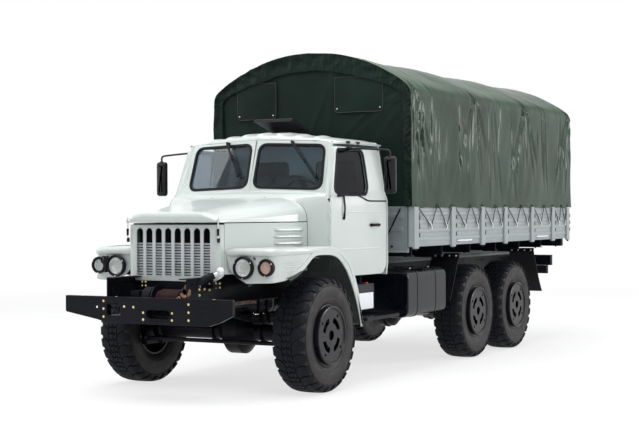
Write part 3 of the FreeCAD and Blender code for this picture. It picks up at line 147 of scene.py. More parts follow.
def surface(name, colour, rough, metal=0.0, coat=0.0, vary=0.08, vary_scale=2.5, grain=0.1,
            grain_scale=250.0, dust=None, dust_top=1.0, rough_vary=0.08, shine=0.5, dust_most=0.3):
    """A finish with uneven tone and roughness, fine grain and, low down, road dust."""
    mat, tree, bsdf = shader(name, Metallic=metal, Coat_Weight=coat, Coat_Roughness=0.08,
                             Specular_IOR_Level=shine)
    tone = mix_colours(tree, noise_factor(tree, vary_scale), tinted(colour, 1 - vary),
                       tinted(colour, 1 + vary))
    if dust:
        height = add_node(tree, "SeparateXYZ", Vector=coordinates(tree)).outputs["Z"]
        fade = spread(tree, height, From_Min=dust_top, From_Max=0.1, To_Max=dust_most)
        specks = noise_factor(tree, 9.0, 8.0, low=0.42, high=0.72)
        tone = mix_colours(tree, calculate(tree, "MULTIPLY", fade, specks), tone, dust)
    feed(tree, bsdf.inputs["Base Color"], tone)
    low, high = max(0.02, rough - rough_vary / 2), rough + rough_vary
    feed(tree, bsdf.inputs["Roughness"],
         spread(tree, noise_factor(tree, 14.0, 6.0), To_Min=low, To_Max=high))
    if grain:
        add_bump(tree, bsdf, noise_factor(tree, grain_scale, 2.0), grain, 0.002)
    return mat


def tarpaulin(name, colour, rough, crease, shine):
    """Coated cloth: a fine weave under sharp creases, with pale streaks, and duller where it faces up."""
    mat, tree, bsdf = shader(name, Specular_IOR_Level=shine)
    ridged = "RIDGED_MULTIFRACTAL"
    tone = mix_colours(tree, noise_factor(tree, 1.6, 6.0), tinted(colour, 0.72), tinted(colour, 1.25))
    pale = noise_factor(tree, 1.6, 7.0, coordinates(tree, (1, 1, 0.6)), ridged, 1.0, 1.9)
    feed(tree, bsdf.inputs["Base Color"], mix_colours(tree, pale, tone, tinted(colour, 1.5)))
    facing = add_node(tree, "SeparateXYZ",
                      Vector=add_node(tree, "NewGeometry").outputs["Normal"]).outputs["Z"]
    weathered = spread(tree, facing, From_Min=0.15, From_Max=0.75, To_Min=rough, To_Max=0.62)
    feed(tree, bsdf.inputs["Roughness"], weathered)
    weave = None
    for axis_scale in ((1, 420, 1), (1, 1, 420)):
        thread = waves(tree, 1.0, coordinates(tree, axis_scale)).outputs["Fac"]
        weave = add_bump(tree, bsdf, thread, 0.05, 0.001, weave)
    folds = noise_factor(tree, 1.7, 5.0, coordinates(tree, (1, 1.3, 0.5)), ridged, 0.3, 1.6)
    folded = add_bump(tree, bsdf, folds, crease, 0.05, weave)
    rumples = noise_factor(tree, 6.0, 3.0, coordinates(tree, (1, 1, 0.7)), ridged, 0.9, 1.8)
    add_bump(tree, bsdf, rumples, crease, 0.012, folded)
    return mat


def glass(name, colour, ior):
    """Clear glass with a slightly uneven tint."""
    mat, tree, bsdf = shader(name, Transmission_Weight=1.0, Roughness=0.0, IOR=ior)
    film = mix_colours(tree, noise_factor(tree, 3.0), tinted(colour, 0.96), tinted(colour, 1.04))
    feed(tree, bsdf.inputs["Base Color"], film)
    return mat


def fluted_glass(name, colour):
    """Lamp glass with upright flutes."""
    mat = glass(name, colour, 1.25)
    tree = mat.node_tree
    flutes = waves(tree, 22.0, coordinates(tree))
    flutes.bands_direction = "X"
    add_bump(tree, tree.nodes["Principled BSDF"], flutes.outputs["Fac"], 0.5, 0.004)
    return mat


DUST = (0.20, 0.17, 0.13)
CAB = surface("cab_paint", (0.49, 0.535, 0.515), 0.30, coat=0.4, vary=0.012, grain=0.02, grain_scale=40.0,
              dust=DUST, dust_top=0.9, rough_vary=0.03)
BED = surface("bed_paint", (0.255, 0.29, 0.295), 0.42, coat=0.1, vary=0.03, grain=0.03, grain_scale=50.0,
              dust=DUST, dust_top=1.2)
# A darker copy of the bed paint: painted shade for the headboard, which stands in the shadow of the cab and
# the cover, and for the rails under the floor.
BED_PAINTED_SHADE = surface("bed_paint_painted_shade", (0.15, 0.175, 0.18), 0.5, vary=0.08, grain=0.05, dust=DUST,
                    dust_top=1.2)
CHASSIS = surface("chassis_paint", (0.0035, 0.004, 0.007), 0.36, vary=0.25, grain=0.08, grain_scale=90.0,
                  dust=DUST, shine=0.12, dust_most=0.05)
TANK = surface("tank_paint", (0.003, 0.004, 0.007), 0.20, coat=0.05, vary=0.2, grain=0.01, grain_scale=8.0,
               shine=0.2)
RIM = surface("rim_paint", (0.004, 0.0045, 0.007), 0.28, coat=0.1, vary=0.2, grain=0.06, grain_scale=90.0,
              dust=DUST, dust_top=0.7, shine=0.2, dust_most=0.05)
TREAD = surface("tread_rubber", (0.006, 0.007, 0.010), 0.60, vary=0.25, vary_scale=9, grain=0.4,
                grain_scale=160, shine=0.12)
WALL = surface("sidewall_rubber", (0.014, 0.0115, 0.012), 0.46, vary=0.3, vary_scale=6, grain=0.25,
               grain_scale=160, shine=0.2)
RUBBER = surface("black_rubber", (0.005, 0.005, 0.007), 0.5, vary=0.2, grain=0.3, shine=0.15)
PLASTIC = surface("black_plastic", (0.007, 0.008, 0.010), 0.35, shine=0.2, vary=0.15, grain=0.25,
                  grain_scale=600)
TRIM = surface("grey_trim", (0.07, 0.075, 0.075), 0.55, vary=0.1, grain=0.4, grain_scale=500)
# The arch liner's own dark colour, also laid on the cab floor and the cowl's foot as painted shade where they
# show inside the wheel arch.
LINER_AND_PAINTED_SHADE = surface("arch_liner_and_painted_shade", (0.030, 0.037, 0.035), 0.6, vary=0.2, grain=0.3, grain_scale=120, dust=DUST,
                shine=0.3)
VINYL = surface("seat_vinyl", (0.05, 0.052, 0.055), 0.45, vary=0.12, grain=0.35, grain_scale=350)
STEEL = surface("bright_steel", (0.62, 0.63, 0.64), 0.22, metal=1.0, vary=0.08, grain=0.05)
BRASS = surface("zinc_bolts", (0.66, 0.58, 0.30), 0.35, metal=1.0, vary=0.2, grain=0.1)
RUST = surface("rusty_iron", (0.20, 0.105, 0.065), 0.75, metal=0.3, vary=0.45, vary_scale=30, grain=0.8)
DRUM = surface("winch_rope", (0.030, 0.010, 0.011), 0.6, shine=0.2, vary=0.3, vary_scale=20, grain=0.6)
CAST = surface("cast_iron", (0.035, 0.036, 0.04), 0.6, metal=0.2, vary=0.25, grain=0.7, grain_scale=120,
               dust=DUST)
MOTOR = surface("motor_paint", (0.055, 0.085, 0.075), 0.42, vary=0.2, grain=0.2, grain_scale=90, dust=DUST)
SHUTTER = surface("shutter_alloy", (0.44, 0.46, 0.50), 0.40, metal=0.3, vary=0.1, grain=0.1)
WOOD = surface("bench_slats", (0.30, 0.25, 0.19), 0.55, vary=0.15, vary_scale=7, grain=0.3, grain_scale=60)
WHITE = surface("white_enamel", (0.78, 0.80, 0.84), 0.35, vary=0.03, grain=0.05)
ROPE = surface("lashing_rope", (0.02, 0.022, 0.024), 0.7, vary=0.3, grain=0.8, grain_scale=900)
RED = surface("red_enamel", (0.45, 0.02, 0.015), 0.3, vary=0.1, grain=0.05)
CANVAS = tarpaulin("cover_canvas", (0.017, 0.038, 0.022), 0.26, 0.90, 0.13)
# A darker copy of the canvas for the faces that look forward into the recess behind the cab: painted shade.
CANVAS_PAINTED_SHADE = tarpaulin("front_canvas_painted_shade", (0.0065, 0.0145, 0.011), 0.50, 0.35, 0.08)
GLASS = glass("window_glass", (0.54, 0.68, 0.78), 1.32)
# Door glass tinted nearly black: painted shade for the dark cab behind it.
DOOR_GLASS_PAINTED_SHADE = glass("door_glass", (0.10, 0.12, 0.14), 1.2)
REFLECTOR = surface("lamp_reflector", (0.88, 0.90, 0.93), 0.18, metal=0.6, vary=0.03, grain=0.0)
LENS = fluted_glass("lamp_glass", (0.95, 0.96, 0.97))
PINK_LENS = fluted_glass("turn_lamp_glass", (0.98, 0.62, 0.50))
MIRROR = surface("mirror_glass", (0.75, 0.78, 0.80), 0.03, metal=1.0, vary=0.02, grain=0.0, rough_vary=0.01)


# ------------------------------------------------------------------ mesh building
class Shape:
    """Points and faces gathered from simple makers, which end as one mesh."""

    def __init__(self):
        self.points = []
        self.faces = []
        self.slots = []

    def add(self, points, faces, slot=0):
        start = len(self.points)
        self.points += [tuple(point) for point in points]
        self.faces += [tuple(start + index for index in face) for face in faces]
        self.slots += [slot] * len(faces)
        return self

    def box(self, low, high, slot=0):
        (x0, y0, z0), (x1, y1, z1) = low, high
        points = [(x, y, z) for x in (x0, x1) for y in (y0, y1) for z in (z0, z1)]
        faces = ((0, 1, 3, 2), (4, 6, 7, 5), (0, 4, 5, 1), (2, 3, 7, 6), (0, 2, 6, 4), (1, 5, 7, 3))
        return self.add(points, faces, slot)

    def block(self, xs, backs, zs, slot=0):
        """A box from its two x, in either order, its distances back from the bumper and its heights."""
        (x0, x1), (back0, back1), (z0, z1) = sorted(xs), backs, zs
        return self.box((x0, yy(back0), z0), (x1, yy(back1), z1), slot)

    def grid(self, rows, slot=0, closed_rows=False, closed=False):
        """A net of faces over rows of points."""
        count = len(rows[0])
        points = [point for row in rows for point in row]
        faces = []
        last = len(rows) if closed else len(rows) - 1
        for i in range(last):
            below = (i + 1) % len(rows)
            for j in range(count if closed_rows else count - 1):
                beside = (j + 1) % count
                faces.append((i * count + j, i * count + beside, below * count + beside, below * count + j))
        return self.add(points, faces, slot)

    def tube(self, path, radius, sides=10, slot=0, loop=False, caps=True):
        """A round bar along a path; radius is one number or one for each point."""
        path = [Vector(point) for point in path]
        radii = radius if hasattr(radius, "__len__") else [radius] * len(path)
        rows = []
        side = None
        for index, point in enumerate(path):
            if loop:
                run = path[(index + 1) % len(path)] - path[index - 1]
            else:
                run = path[min(index + 1, len(path) - 1)] - path[max(index - 1, 0)]
            run.normalize()
            if side is None:
                side = run.orthogonal().normalized()
            side = (side - run * side.dot(run)).normalized()
            other = run.cross(side)
            rows.append([point + (side * math.cos(a) + other * math.sin(a)) * radii[index]
                         for a in whole_turn(sides)])
        self.grid(rows, slot, closed_rows=True, closed=loop)
        if caps and not loop:
            self.add(rows[0], [tuple(reversed(range(sides)))], slot)
            self.add(rows[-1], [tuple(range(sides))], slot)
        return self

    def lathe(self, profile, centre, axis, segments=48, slot=0):
        """A profile of (along, radius) turned round an axis through the centre."""
        axis = Vector(axis).normalized()
        side = axis.orthogonal().normalized()
        other = axis.cross(side)
        centre = Vector(centre)
        rows = []
        for k in range(segments):
            angle = 2 * math.pi * k / segments
            out = side * math.cos(angle) + other * math.sin(angle)
            rows.append([centre + axis * along + out * radius for along, radius in profile])
        return self.grid(rows, slot, closed=True)

    def prism(self, outline, origin, u, v, depth, slot=0):
        """An outline of (u, v) points pushed out by a depth vector."""
        origin, u, v, depth = Vector(origin), Vector(u), Vector(v), Vector(depth)
        base = [origin + u * a + v * b for a, b in outline]
        count = len(base)
        faces = [tuple(range(count)), tuple(range(2 * count - 1, count - 1, -1))]
        faces += [(k, (k + 1) % count, count + (k + 1) % count, count + k) for k in range(count)]
        return self.add(base + [point + depth for point in base], faces, slot)

    def mirror(self):
        """The same again on the other side of the truck's middle plane."""
        count = len(self.points)
        self.points += [(-x, y, z) for x, y, z in self.points]
        self.faces += [tuple(count + index for index in reversed(face)) for face in self.faces]
        self.slots += self.slots
        return self

    def make(self, name, body, materials, slot=None, bevel=0.0, thick=0.0, weld=0.0, node=None):
        """The finished piece: it rides on a body and stands for a CAD node. Its slot argument is not used."""
        mesh = bpy.data.meshes.new(name)
        mesh.from_pydata(self.points, [], self.faces)
        materials = materials if isinstance(materials, (list, tuple)) else [materials]
        for mat in materials:
            mesh.materials.append(mat)
        mesh.polygons.foreach_set("material_index", self.slots)
        work = bmesh.new()
        work.from_mesh(mesh)
        if weld:
            bmesh.ops.remove_doubles(work, verts=work.verts, dist=weld)
        bmesh.ops.recalc_face_normals(work, faces=work.faces)
        work.to_mesh(mesh)
        work.free()
        item = placed_object(name, mesh)
        if thick:
            shell = item.modifiers.new("thickness", "SOLIDIFY")
            shell.thickness = thick
            shell.offset = -1
            shell.use_even_offset = False
        if bevel:
            edge = item.modifiers.new("edge", "BEVEL")
            edge.width = bevel
            edge.segments = 2
            edge.limit_method = "ANGLE"
            edge.angle_limit = math.radians(40)
            edge.harden_normals = False
        settle(item)
        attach(item, body)
        if node:
            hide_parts(node)
        return item


def placed_object(name, data):
    """A new object in the scene."""
    item = bpy.data.objects.new(name, data)
    bpy.context.scene.collection.objects.link(item)
    return item


def settle(item):
    """Apply the modifiers, then shade smooth with area-weighted normals."""
    if item.modifiers:
        graph = bpy.context.evaluated_depsgraph_get()
        settled = bpy.data.meshes.new_from_object(item.evaluated_get(graph))
        item.modifiers.clear()
        item.data = settled
    mesh = item.data
    mesh.polygons.foreach_set("use_smooth", [True] * len(mesh.polygons))
    mesh.set_sharp_from_angle(angle=SMOOTH_ANGLE)
    weighted = item.modifiers.new("weighted", "WEIGHTED_NORMAL")
    weighted.keep_sharp = True


def flowing(points, count):
    """Evenly counted points on a Catmull-Rom curve through the given ones."""
    data = np.array([tuple(point) for point in points], float)
    padded = np.vstack([2 * data[0] - data[1], data, 2 * data[-1] - data[-2]])
    spans = len(data) - 1
    result = []
    for value in np.linspace(0, spans, count):
        k = min(int(value), spans - 1)
        t = value - k
        p0, p1, p2, p3 = padded[k:k + 4]
        result.append(0.5 * (2 * p1 + (p2 - p0) * t + (2 * p0 - 5 * p1 + 4 * p2 - p3) * t * t
                             + (3 * p1 - p0 - 3 * p2 + p3) * t ** 3))
    return result


def oblong(x0, y0, x1, y1):
    """The four corners of an upright rectangle."""
    return ((x0, y0), (x1, y0), (x1, y1), (x0, y1))


def whole_turn(count):
    """Angles spaced evenly round a full turn."""
    return [2 * math.pi * k / count for k in range(count)]


def rounded(corners, radius, steps=5):
    """A closed outline with its corners rounded; radius is one number or one for each corner."""
    count = len(corners)
    radii = radius if hasattr(radius, "__len__") else [radius] * count
    corners = [Vector(corner) for corner in corners]
    outline = []
    for k, corner in enumerate(corners):
        back = corners[k - 1] - corner
        ahead = corners[(k + 1) % count] - corner
        angle = back.angle(ahead)
        if radii[k] <= 0 or angle > math.pi - 0.05:
            outline.append(tuple(corner))
            continue
        reach = min(radii[k] / math.tan(angle / 2), 0.48 * back.length, 0.48 * ahead.length)
        start = corner + back.normalized() * reach
        end = corner + ahead.normalized() * reach
        for step in range(steps + 1):
            t = step / steps
            outline.append(tuple(start * (1 - t) ** 2 + corner * 2 * t * (1 - t) + end * t * t))
    return outline


def inside(point, outline):
    """Whether a 2-D point lies in an outline."""
    x, y = point
    odd = False
    for k, (x1, y1) in enumerate(outline):
        x0, y0 = outline[k - 1]
        if (y0 > y) != (y1 > y) and x < (x1 - x0) * (y - y0) / (y1 - y0) + x0:
            odd = not odd
    return odd


def area_of(outline):
    return 0.5 * sum(outline[k - 1][0] * y - x * outline[k - 1][1] for k, (x, y) in enumerate(outline))


def turned(loop, hand=1):
    """The loop counter-clockwise, or clockwise for a hand of -1."""
    return loop if area_of(loop) * hand > 0 else loop[::-1]


def set_in(outline, distance):
    """The outline moved inwards (for a counter-clockwise one) by a distance."""
    moved = []
    count = len(outline)
    for k, point in enumerate(outline):
        here = Vector(point)
        before = (here - Vector(outline[k - 1])).normalized()
        after = (Vector(outline[(k + 1) % count]) - here).normalized()
        normal = Vector((-before.y - after.y, before.x + after.x))
        scale = max(0.5, normal.length_squared / 2)
        moved.append(tuple(here + normal * (distance / scale)))
    return moved


def resample(outline, cell):
    """The outline with long edges split."""
    fine = []
    for k, point in enumerate(outline):
        start = Vector(outline[k - 1])
        run = Vector(point) - start
        parts = max(1, math.ceil(run.length / cell))
        fine += [tuple(start + run * (step / parts)) for step in range(parts)]
    return fine


def plate(shape, outline, holes, place, thick, cell=0.0, edge=0.004, slot=0):
    """A panel with holes and rounded edges; place(u, v, depth) puts each point in the truck."""
    loops = [turned(outline)] + [turned(hole, -1) for hole in holes]
    if cell:
        loops = [resample(loop, cell) for loop in loops]
    flat = [set_in(loop, edge) for loop in loops]
    points = [Vector(point) for loop in flat for point in loop]
    edges = []
    start = 0
    for loop in flat:
        edges += [(start + k, start + (k + 1) % len(loop)) for k in range(len(loop))]
        start += len(loop)
    if cell:
        us = [u for u, _ in outline]
        vs = [v for _, v in outline]
        grown = [set_in(loop, edge + cell * 0.35) for loop in loops]
        for i in range(1, int((max(us) - min(us)) / cell) + 1):
            for j in range(1, int((max(vs) - min(vs)) / cell) + 1):
                spot = (min(us) + i * cell, min(vs) + j * cell)
                if inside(spot, grown[0]) and not any(inside(spot, hole) for hole in grown[1:]):
                    points.append(Vector(spot))
    placed, _, triangles, *_ = geometry.delaunay_2d_cdt(points, edges, [], 0, 1e-7)
    keep = []
    for triangle in triangles:
        middle = sum((placed[k] for k in triangle), Vector((0, 0))) / 3
        if inside(middle, flat[0]) and not any(inside(middle, hole) for hole in flat[1:]):
            keep.append(tuple(triangle))
    shape.add([place(u, v, 0.0) for u, v in placed], keep, slot)
    shape.add([place(u, v, thick) for u, v in placed], [tri[::-1] for tri in keep], slot)
    for loop in loops:
        rows = []
        for inset, depth in ((1.0, 0.0), (0.5, 0.13), (0.13, 0.5), (0.0, 1.0)):
            rows.append([place(u, v, edge * depth) for u, v in set_in(loop, edge * inset)])
        rows.append([place(u, v, thick - edge * 0.5) for u, v in loop])
        rows.append([place(u, v, thick) for u, v in set_in(loop, edge)])
        shape.grid(rows, slot, closed_rows=True)
    return shape


def flat_place(origin, u, v, normal):
    """A place function for a flat panel; depth goes against the normal."""
    origin, u, v, normal = (Vector(item) for item in (origin, u, v, normal))
    return lambda a, b, depth: origin + u * a + v * b - normal * depth


def circle(centre, radius, count=24, start=0.0, end=2 * math.pi):
    u, v = centre
    return [(u + radius * math.cos(start + (end - start) * k / count),
             v + radius * math.sin(start + (end - start) * k / count)) for k in range(count)]


def hexagon_bolt(shape, centre, axis, radius=0.011, height=0.009, slot=0):
    """A bolt head with a washer."""
    axis = Vector(axis).normalized()
    shape.lathe([(0, 0.0), (0, radius * 1.35), (0.002, radius * 1.3), (0.002, 0.0)], centre, axis, 14, slot)
    start = Vector(centre) + axis * 0.002
    shape.tube([start, start + axis * height * 0.8, start + axis * height], [radius, radius, radius * 0.8],
               6, slot)


# ------------------------------------------------------------------ finishes of the plain nodes
def paint_node(name, mat):
    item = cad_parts[name]
    item.data.materials.clear()
    item.data.materials.append(mat)


def paint_nodes():
    """Chassis paint on the bare running gear, and the liner's dark colour on the cab's floor as painted shade
    where its edge shows in the wheel arch.
    """
    for name in ("frame_rails", "crossmembers", "front_axle", "rear_axles", "left_knuckle", "right_knuckle",
                 "tie_rod"):
        paint_node(name, CHASSIS)
    # painted shade: the floor's edge shows dark inside the wheel arch
    paint_node("cab_floor", LINER_AND_PAINTED_SHADE)


# ------------------------------------------------------------------ wheels
WHEELS = [(place, hand, side) for place in ("front", "middle", "rear")
          for hand, side in (("left", 1), ("right", -1))]
# the tyre's outer section from its bead to the crown's middle: (across, radius)
TYRE_SECTION = ((0.118, 0.255), (0.130, 0.272), (0.150, 0.312), (0.161, 0.355), (0.165, 0.400),
                (0.163, 0.440), (0.158, 0.470), (0.148, 0.494), (0.128, 0.507), (0.095, 0.512),
                (0.050, 0.514), (0.0, 0.515))
LUG_COUNT = 27
TREAD_DEPTH = 0.015


def section_spot(section, share, lift=0.0):
    """A point of the half section and its offset along the outward normal."""
    value = share * (len(section) - 1)
    k = min(int(value), len(section) - 2)
    across, radius = section[k] + (section[k + 1] - section[k]) * (value - k)
    run = section[k + 1] - section[k]
    length = math.hypot(*run)
    return across + run[1] / length * lift, radius - run[0] / length * lift


def lug(shape, section, centre, hand, rows, lift):
    """A raised tread block: rows of (share of the section, low angle, high angle)."""
    top = []
    foot = []
    for share, low, high in rows:
        for row, raised in ((top, lift), (foot, -0.004)):
            across, radius = section_spot(section, share, raised)
            shrink = 0.0035 / radius * (1 if raised > 0 else 0)
            row.append([(centre[0] + hand * across, centre[1] + radius * math.cos(angle),
                         centre[2] + radius * math.sin(angle))
                        for angle in np.linspace(low + shrink, high - shrink, 4)])
    shape.grid(top, 1)
    rings = [rows[0] + [row[-1] for row in rows[1:-1]] + rows[-1][::-1] + [row[0] for row in rows[-2:0:-1]]
             for rows in (top, foot)]
    shape.grid(rings, 1, closed_rows=True)


def tyre(place, hand):
    """A bias-pattern tyre with zig-zag middle blocks and long shoulder lugs."""
    centre = wheel_centre(place, hand)
    section = flowing(TYRE_SECTION, 41)
    shape = Shape()
    half = [tuple(point) for point in section]
    whole = half + [(-across, radius) for across, radius in reversed(half[:-1])]
    shape.lathe(whole, centre, LEFTWARDS, 96, 0)
    for ring_radius, height in ((0.335, 0.0025), (0.452, 0.004), (0.462, 0.004)):
        share = min(range(len(half)), key=lambda k: abs(half[k][1] - ring_radius)) / (len(half) - 1)
        for flank in (1, -1):
            rows = [section_spot(section, share + shift, lift) for shift, lift in
                    ((-0.012, 0), (-0.004, height), (0.004, height), (0.012, 0))]
            shape.lathe([(flank * across, radius) for across, radius in rows], centre, LEFTWARDS, 96, 0)
    pitch = 2 * math.pi / LUG_COUNT
    for flank in (1, -1):
        for k in range(LUG_COUNT):
            base = k * pitch + (0.5 * pitch if flank < 0 else 0)
            wide, narrow = 0.47 * pitch, 0.36 * pitch
            lean = 0.16 * pitch
            rows = [(0.56, base - 0.20 * pitch, base + 0.20 * pitch), (0.63, base - narrow, base + narrow),
                    (0.72, base - narrow, base + narrow), (0.78, base - wide, base + wide),
                    (0.86, base - wide + lean, base + wide + lean),
                    (0.905, base - wide + 2.2 * lean, base + wide + 2.2 * lean)]
            lug(shape, section, centre, flank, rows, TREAD_DEPTH)
            start = base + 0.55 * pitch
            rows = [(0.918, start - 0.44 * pitch, start + 0.02 * pitch),
                    (0.96, start - 0.30 * pitch, start + 0.16 * pitch),
                    (0.997, start - 0.46 * pitch, start)]
            lug(shape, section, centre, flank, rows, TREAD_DEPTH)
            rows = [(0.918, start + 0.08 * pitch, start + 0.50 * pitch),
                    (0.96, start + 0.22 * pitch, start + 0.64 * pitch),
                    (0.997, start + 0.06 * pitch, start + 0.48 * pitch)]
            lug(shape, section, centre, flank, rows, TREAD_DEPTH)
    shape.make(f"{place}_{hand}_tyre_tread", f"{place}_{hand}_wheel", [WALL, TREAD], "rubber_tyre",
               node=f"{place}_{hand}_tyre")


def wheel_centre(place, hand):
    low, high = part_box(f"{place}_{hand}_tyre")
    return (low + high) / 2


# the rim's outside from the tyre's bead to the disc's recessed face: (across, radius)
RIM_SECTION = ((-0.125, 0.258), (-0.136, 0.285), (-0.128, 0.286), (-0.120, 0.262), (0.105, 0.258),
               (0.120, 0.262), (0.128, 0.286), (0.137, 0.287), (0.139, 0.274), (0.176, 0.273),
               (0.184, 0.270), (0.188, 0.263), (0.187, 0.254), (0.181, 0.248), (0.174, 0.244))


def rim(place, hand, side):
    """A black wheel: deep barrel, rounded lip and a recessed disc with four curved slots."""
    centre = wheel_centre(place, hand)
    shape = Shape()
    outer = [(side * across, radius) for across, radius in RIM_SECTION]
    inner = [(side * 0.166, 0.240), (side * 0.10, 0.243), (-side * 0.125, 0.243)]
    shape.lathe(outer + inner + outer[:1], centre, LEFTWARDS, 72)
    slots = []
    for k in range(4):
        middle = math.pi / 4 + k * math.pi / 2 + 0.05
        band = circle((0, 0), 0.166, 12, middle - 0.56, middle + 0.56)
        band += circle((0, 0), 0.116, 12, middle + 0.52, middle - 0.52)
        slots.append(rounded(band, 0.006, 2))
        angle = middle + 0.13
        slots.append(circle((0.208 * math.cos(angle), 0.208 * math.sin(angle)), 0.014, 12))
    slots.append(circle((0, 0), 0.046, 24))
    face = flat_place(centre + Vector((side * 0.175, 0, 0)), (0, side, 0), UPWARDS, (side, 0, 0))
    plate(shape, circle((0, 0), 0.245, 72), slots, face, 0.010, edge=0.003)
    hub = [(side * 0.150, 0.0), (side * 0.150, 0.035), (side * 0.138, 0.060), (side * 0.10, 0.085),
           (side * 0.06, 0.18), (side * 0.05, 0.235), (side * 0.02, 0.238)]
    if place == "front":
        hub += [(side * 0.015, 0.20), (side * 0.015, 0.0)]
    else:
        hub += [(-side * 0.06, 0.21), (-side * 0.10, 0.205), (-side * 0.10, 0.0)]
    shape.lathe(hub, centre, LEFTWARDS, 48)
    for k in range(10):
        angle = 2 * math.pi * k / 10
        spot = centre + Vector((side * 0.085, 0.125 * math.cos(angle), 0.125 * math.sin(angle)))
        hexagon_bolt(shape, spot, (side, 0, 0), 0.016, 0.026)
    valve = centre + Vector((side * 0.14, 0.252 * math.cos(1.1), 0.252 * math.sin(1.1)))
    shape.tube([valve, valve + Vector((side * 0.03, 0, 0))], 0.006, 8, 1)
    shape.make(f"{place}_{hand}_wheel_disc", f"{place}_{hand}_wheel", [RIM, STEEL], "rim_paint",
               node=f"{place}_{hand}_rim")


# ------------------------------------------------------------------ sheet metal helpers
def skin(shape, rows, across, along, change=None):
    """A smooth sheet through rows of points; change(point) may shift each finished one."""
    wide = [flowing(row, across) for row in rows]
    columns = [flowing([row[k] for row in wide], along) for k in range(across)]
    fine = [[columns[k][j] for k in range(across)] for j in range(along)]
    if change:
        fine = [[change(point) for point in row] for row in fine]
    return shape.grid(fine)


def ease(value, low, high):
    """An eased climb from 0 at low to 1 at high, for one value or an array."""
    t = np.clip((value - low) / (high - low), 0.0, 1.0)
    return t * t * (3 - 2 * t)


def bead(value, centre, half):
    """A rounded bump of height 1 round a centre."""
    t = abs(value - centre) / half
    return 0.0 if t >= 1 else 0.5 + 0.5 * math.cos(math.pi * t)


def edging(shape, loop, place, steps, slot=0):
    """Rings that follow a loop; each step is (inset, depth)."""
    rows = [[place(u, v, depth) for u, v in set_in(turned(loop), inset)] for inset, depth in steps]
    shape.grid(rows, slot, closed_rows=True)


def gasket(shape, loop, place, width, proud):
    """A rubber seal round a window's edge."""
    edging(shape, loop, place, ((0.008, 0.006), (0.004, -proud * 0.6), (-width * 0.3, -proud),
                                (-width * 0.8, -proud * 0.7), (-width, 0.001)))


def rim_band(shape, loop, place, near, far, proud, slot=0):
    """A raised band that runs round inside an outline, between two insets."""
    step = min(0.004, (far - near) / 4)
    steps = ((near, 0.001), (near + step * 0.4, -proud * 0.8), (near + step, -proud), (far - step, -proud),
             (far - step * 0.4, -proud * 0.8), (far, 0.001))
    edging(shape, loop, place, steps, slot)


def pressed_rib(shape, start, end, across, out, width, proud, slot=0):
    """A raised, round-ended rib along a line; across is its width direction, out its height."""
    start, end = Vector(start), Vector(end)
    across, out = Vector(across).normalized(), Vector(out).normalized()
    run = (end - start).normalized()
    rows = []
    for share, size in ((1.0, 0.0), (0.93, 0.35), (0.78, 0.72), (0.5, 0.95), (0.25, 1.0)):
        ring = []
        for centre, first in ((start, math.pi / 2), (end, -math.pi / 2)):
            for angle in (first + math.pi * k / 8 for k in range(9)):
                ring.append(centre + (run * math.cos(angle) + across * math.sin(angle)) * width / 2 * share
                            + out * proud * size)
        rows.append(ring)
    shape.grid(rows, slot, closed_rows=True)
    return shape.add(rows[-1], [tuple(range(18))], slot)


# ------------------------------------------------------------------ hood and nose
SEAM_Z = 1.574
# the hood's section at its front and rear: (share of the half-width, share of the rise)
HOOD_FRONT = ((1, 0), (0.99, 0.22), (0.93, 0.40), (0.80, 0.76), (0.66, 0.97), (0.59, 1.0), (0.30, 1.0),
              (0, 1.0))
HOOD_REAR = ((1, 0), (0.988, 0.30), (0.945, 0.55), (0.84, 0.79), (0.68, 0.925), (0.58, 0.965), (0.30, 0.99),
             (0, 1.0))
# the hood's stations: (back from the bumper, half-width, rise over the seam)
HOOD_RUN = ((0.382, 0.500, -0.002), (0.374, 0.503, 0.002), (0.370, 0.505, 0.032), (0.374, 0.505, 0.062),
            (0.394, 0.507, 0.084), (0.44, 0.512, 0.093), (0.60, 0.532, 0.108), (0.90, 0.588, 0.150),
            (1.25, 0.652, 0.196), (1.50, 0.698, 0.226), (1.585, 0.712, 0.235), (1.604, 0.715, 0.234),
            (1.609, 0.715, 0.226))


def arch_row(back, half, rise):
    """The hood's section at one station, from its left seam over to the right one."""
    blend = ease(back, 0.35, 1.6)
    left = [(half * (fx * (1 - blend) + rx * blend), yy(back),
             SEAM_Z + rise * (fz * (1 - blend) + rz * blend))
            for (fx, fz), (rx, rz) in zip(HOOD_FRONT, HOOD_REAR)]
    return left + [(-x, y, z) for x, y, z in left[-2::-1]]


def nose_round(x, back):
    """How far the hood's nose falls back towards its rounded corners."""
    corner, start = 0.090, 0.415
    over = min(max(abs(x) - start, 0.0), corner - 0.001)
    fall = corner - math.sqrt(corner ** 2 - over ** 2)
    return 0.75 * fall * (1 - ease(back, 0.37, 0.62))


